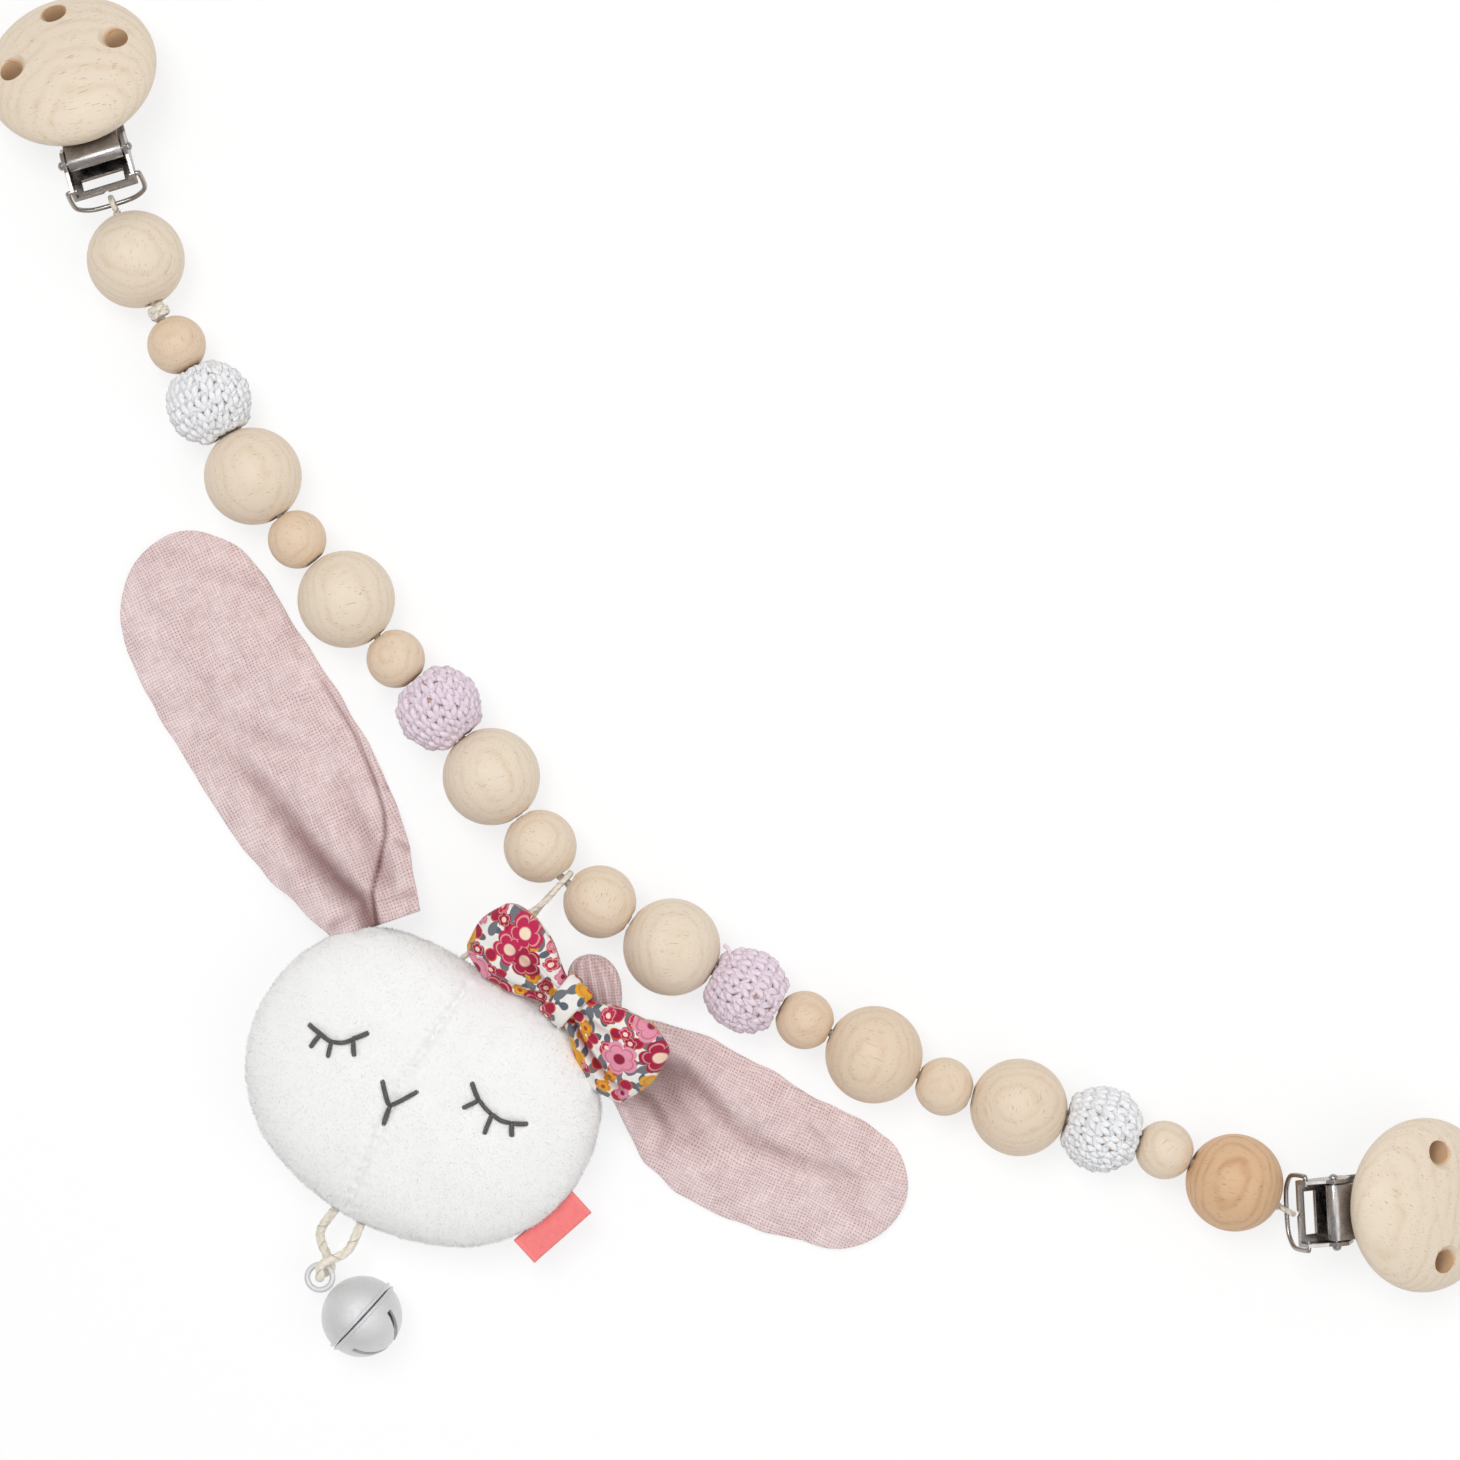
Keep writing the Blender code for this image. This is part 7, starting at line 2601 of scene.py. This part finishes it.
@dataclass
class Bell:
    """The bell: two steel shells with a ring, a ball inside, and the cord loop that holds it at the chin."""

    head: Head
    maker: Maker
    heading: float = -43.0
    radius: float = 8.3 * MM
    wall: float = 0.7 * MM
    halves_clearance: float = 0.3 * MM
    lip: float = 0.45 * MM
    lip_height: float = 0.7 * MM
    lip_start: float = 4.5
    slot_width: float = 1.3 * MM
    slot_depth: float = 5.2 * MM
    slot_turn: float = 45.0
    ring_hole_radius: float = 2.0 * MM
    ring_wire: float = 0.6 * MM
    ring_clearance: float = 0.3 * MM
    clapper_radius: float = 2.6 * MM
    cord_radius: float = 1.0 * MM
    cord_clearance: float = 0.35 * MM
    drop: float = 14.2 * MM
    side: float = 1.7 * MM
    drop_shares: tuple = (0.45, 0.8, 0.96)
    spread_share: float = 1.1
    rise_share: float = 0.65
    head_angles: tuple = (176.0, -173.0)

    @property
    def ring_height(self) -> float:
        """The ring's height from the head's seam, with the bell on the table."""
        return self.radius + self.lip - self.head.seam_height

    def build(self) -> None:
        """Build the cord, the shells, the ring and the ball."""
        self.build_cord()
        bell = frame_at(joint_place("bell_swing"), (0, 0, self.heading))
        ring_radius = self.ring_hole_radius + self.ring_wire
        reach = ring_radius + self.ring_wire + self.ring_clearance + self.radius
        self.build_shells(bell @ frame_at((reach, 0, 0)))
        circle = [bell @ Vector((ring_radius * math.cos(turn), ring_radius * math.sin(turn), 0))
                  for turn in round_turns(72)]
        wire = plain_wire(BELL_METAL, self.ring_wire, 0.2 * MM, 24)
        ring = self.maker.sweep("bell_ring_bent", [circle], wire, closed=True)
        dress(ring, BELL_METAL, "bell", ["bell_ring"])
        clapper = lathe("bell_clapper_ball", arc((0.0, 0.0), self.clapper_radius, 90, -90, 32),
                        frame_at(joint_place_of_clapper()), 48, closed=False)
        dress(clapper, BELL_METAL, "clapper", ["bell_clapper"])

    def build_shells(self, centre: Matrix) -> None:
        """Press the two halves with a rolled lip, and cut the cross of slots in the lower one.

        Args:
            centre: the frame in the bell's middle.
        """
        inner = self.radius - self.wall
        start = self.halves_clearance / 2
        low = math.degrees(math.asin(start / self.radius))
        outer_arc = arc((0.0, 0.0), self.radius, 90, low + self.lip_start, 40)
        edge = self.radius + self.lip
        r = self.lip_height / 2
        lip = [(self.radius + 0.05 * MM, start + self.lip_height)]
        lip += [(edge - r + r * math.cos(turn), start + r + r * math.sin(turn))
                for turn in np.radians(np.linspace(80, -90, 9))]
        inner_arc = arc((0.0, 0.0), inner, math.degrees(math.asin(start / inner)), 90, 30)
        profile = [(0.0, self.radius)] + outer_arc[1:] + lip + inner_arc[:-1] + [(0.0, inner)]
        for name, sign in (("bell_upper_shell", 1), ("bell_lower_shell", -1)):
            matrix = centre @ turned(0, -sign * 90, 0)
            shell = lathe(f"{name}_pressed", profile, matrix, 128, closed=False)
            if sign < 0:
                tools = []
                far = 2 * self.radius
                for turn in (self.slot_turn, -self.slot_turn):
                    tools.append(self.slot_tool(centre @ turned(turn, 0, 0), far))
                cut(shell, tools)
            shell.data.shade_smooth()
            shell.data.set_sharp_from_angle(angle=math.radians(50))
            dress(shell, BELL_METAL, "bell", [name])

    def slot_tool(self, matrix: Matrix, far: float) -> bpy.types.Object:
        """A bar that cuts one slot, with round ends.

        Args:
            matrix: the slot's frame.
            far: how far past the shell the tool reaches.

        Returns:
            The tool, to be used up by the cut.
        """
        half = self.slot_width / 2
        near = self.radius - self.slot_depth
        corners = [(near, -half), (far, -half), (far, half), (near, half)]
        points = [(x, y, z) for y in (-far, far) for x, z in corners]
        return make_mesh("slot", points, BOX_FACES, matrix)

    def build_cord(self) -> None:
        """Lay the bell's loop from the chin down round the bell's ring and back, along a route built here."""
        swing = frame_at(joint_place("bell_loop_swing"), (0, 0, self.head.heading))
        chin = self.head.point(180.0, self.head.seam_clearance)
        first, second, last = (self.drop * share for share in self.drop_shares)
        ends = [self.head.point(angle, self.head.seam_clearance) - chin for angle in self.head_angles]
        gap = self.ring_wire + self.cord_radius + self.cord_clearance
        high, low = self.ring_height + gap, self.ring_height - gap
        left, right = (end.y * self.spread_share for end in ends)
        route = [
            ends[0], (first, left, high * self.rise_share), (second, -self.side / 2, high), (last, 0, high),
            (self.drop, 0, self.ring_height), (last, 0, low), (second, self.side / 2, low),
            (first, right, low * self.rise_share), ends[1],
        ]
        line = placed(swing, smooth_route(route, 6))
        strand = Strand(COTTON_CORD, self.cord_radius, depth=0.05, pitch=5.0 * MM)
        cord = self.maker.sweep("bell_loop_laid", [line], strand)
        dress(cord, COTTON_CORD, "bell_loop", ["bell_loop"])
        LOG.info("the bell's cord is %.1f mm long", length_of(line) / MM)


def joint_place_of_clapper() -> Vector:
    """The middle of the clapper at rest, from its own solid."""
    low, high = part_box("bell_clapper")
    return (low + high) / 2


@dataclass
class Bunny:
    """The bunny's head with its ears, bow, tag, hanger and bell."""

    maker: Maker

    def build(self) -> None:
        """Build each piece of the bunny."""
        head = Head(self.maker)
        Hanger(head, self.maker).build()
        bell = Bell(head, self.maker)
        bell.build()
        head.build()
        for ear in (left_ear(), right_ear()):
            ear.build()
        EarGather().build()
        Bow(head).build()
        Tag(head).build()


# The studio

@dataclass(frozen=True)
class Lamp:
    """A square soft lamp that faces the toy, with its place and width in metres."""

    name: str
    place: tuple[float, float, float]
    size: float
    watts: float

    def build(self) -> None:
        """Put the lamp up."""
        data = bpy.data.lights.new(self.name, "AREA")
        data.size = self.size
        data.energy = self.watts
        lamp = bpy.data.objects.new(self.name, data)
        lamp.location = self.place
        lamp.rotation_euler = (-Vector(self.place)).to_track_quat("-Z", "Y").to_euler()
        bpy.context.scene.collection.objects.link(lamp)


@dataclass
class Studio:
    """The floor, the soft lamps and the camera straight above."""

    camera_offset: tuple = (34.1 * MM, 30.9 * MM)
    camera_height: float = 900.0 * MM
    lens: float = 106.8
    sensor_width: float = 36.0
    clip_start: float = 0.01
    floor_half: float = 1.2
    floor_depth: float = 0.01
    sky: float = 0.47
    lamps: tuple = (Lamp("key", (-0.27, 0.36, 1.3), 0.6, 7.9), Lamp("fill", (0.42, -0.2, 0.8), 0.6, 1.9))

    def build(self) -> None:
        """Set up the floor, the light and the camera."""
        bpy.context.scene.view_settings.view_transform = "Standard"
        self.build_floor()
        self.build_light()
        self.build_camera()

    def build_floor(self) -> None:
        """Lay the table that the toy lies on."""
        half = self.floor_half
        corners = ((-half, -half), (half, -half), (half, half), (-half, half))
        points = [(x, y, z) for z in (0, -self.floor_depth) for x, y in corners]
        floor = make_mesh("table", points, BOX_FACES)
        for face in floor.data.polygons:
            face.use_smooth = False
        floor.data.materials.append(Tabletop("Pale table").material())

    def build_light(self) -> None:
        """Light the table from a pale room, which the camera sees as white, and from the lamps."""
        world = bpy.data.worlds.new("Soft room")
        world.use_nodes = True
        background = world.node_tree.nodes["Background"]
        background.inputs["Color"].default_value = (1.0, 1.0, 1.0, 1.0)
        nodes = NodeWriter(world.node_tree)
        seen = nodes.add("ShaderNodeLightPath").outputs["Is Camera Ray"]
        nodes.put(background.inputs["Strength"], nodes.remap(seen, 0.0, 1.0, self.sky, 1.0))
        bpy.context.scene.world = world
        for lamp in self.lamps:
            lamp.build()

    def build_camera(self) -> None:
        """Hang the camera straight over the table, a little off the bunny's loop."""
        scene = bpy.context.scene
        centre = joint_place("bunny_swing")
        data = bpy.data.cameras.new("camera")
        data.lens = self.lens
        data.sensor_width = self.sensor_width
        data.clip_start = self.clip_start
        camera = bpy.data.objects.new("camera", data)
        camera.location = (centre.x + self.camera_offset[0], centre.y + self.camera_offset[1], self.camera_height)
        scene.collection.objects.link(camera)
        scene.camera = camera


def main() -> None:
    """Build the studio and the toy, part by part. Each piece is reported when it gets its body."""
    logging.basicConfig(level=logging.INFO, format="%(name)s: %(message)s")
    maker = Maker()
    parts = (
        Studio(), Bunny(maker), Chain(maker),
        Clip(Side.LEFT, maker, WoodGrain(20, 4, 30, 0.0)),
        Clip(Side.RIGHT, maker, WoodGrain(150, 5, 34, 0.0)),
    )
    for part in parts:
        part.build()
        LOG.info("%s is done", type(part).__name__)


if __name__ == "__main__":
    main()
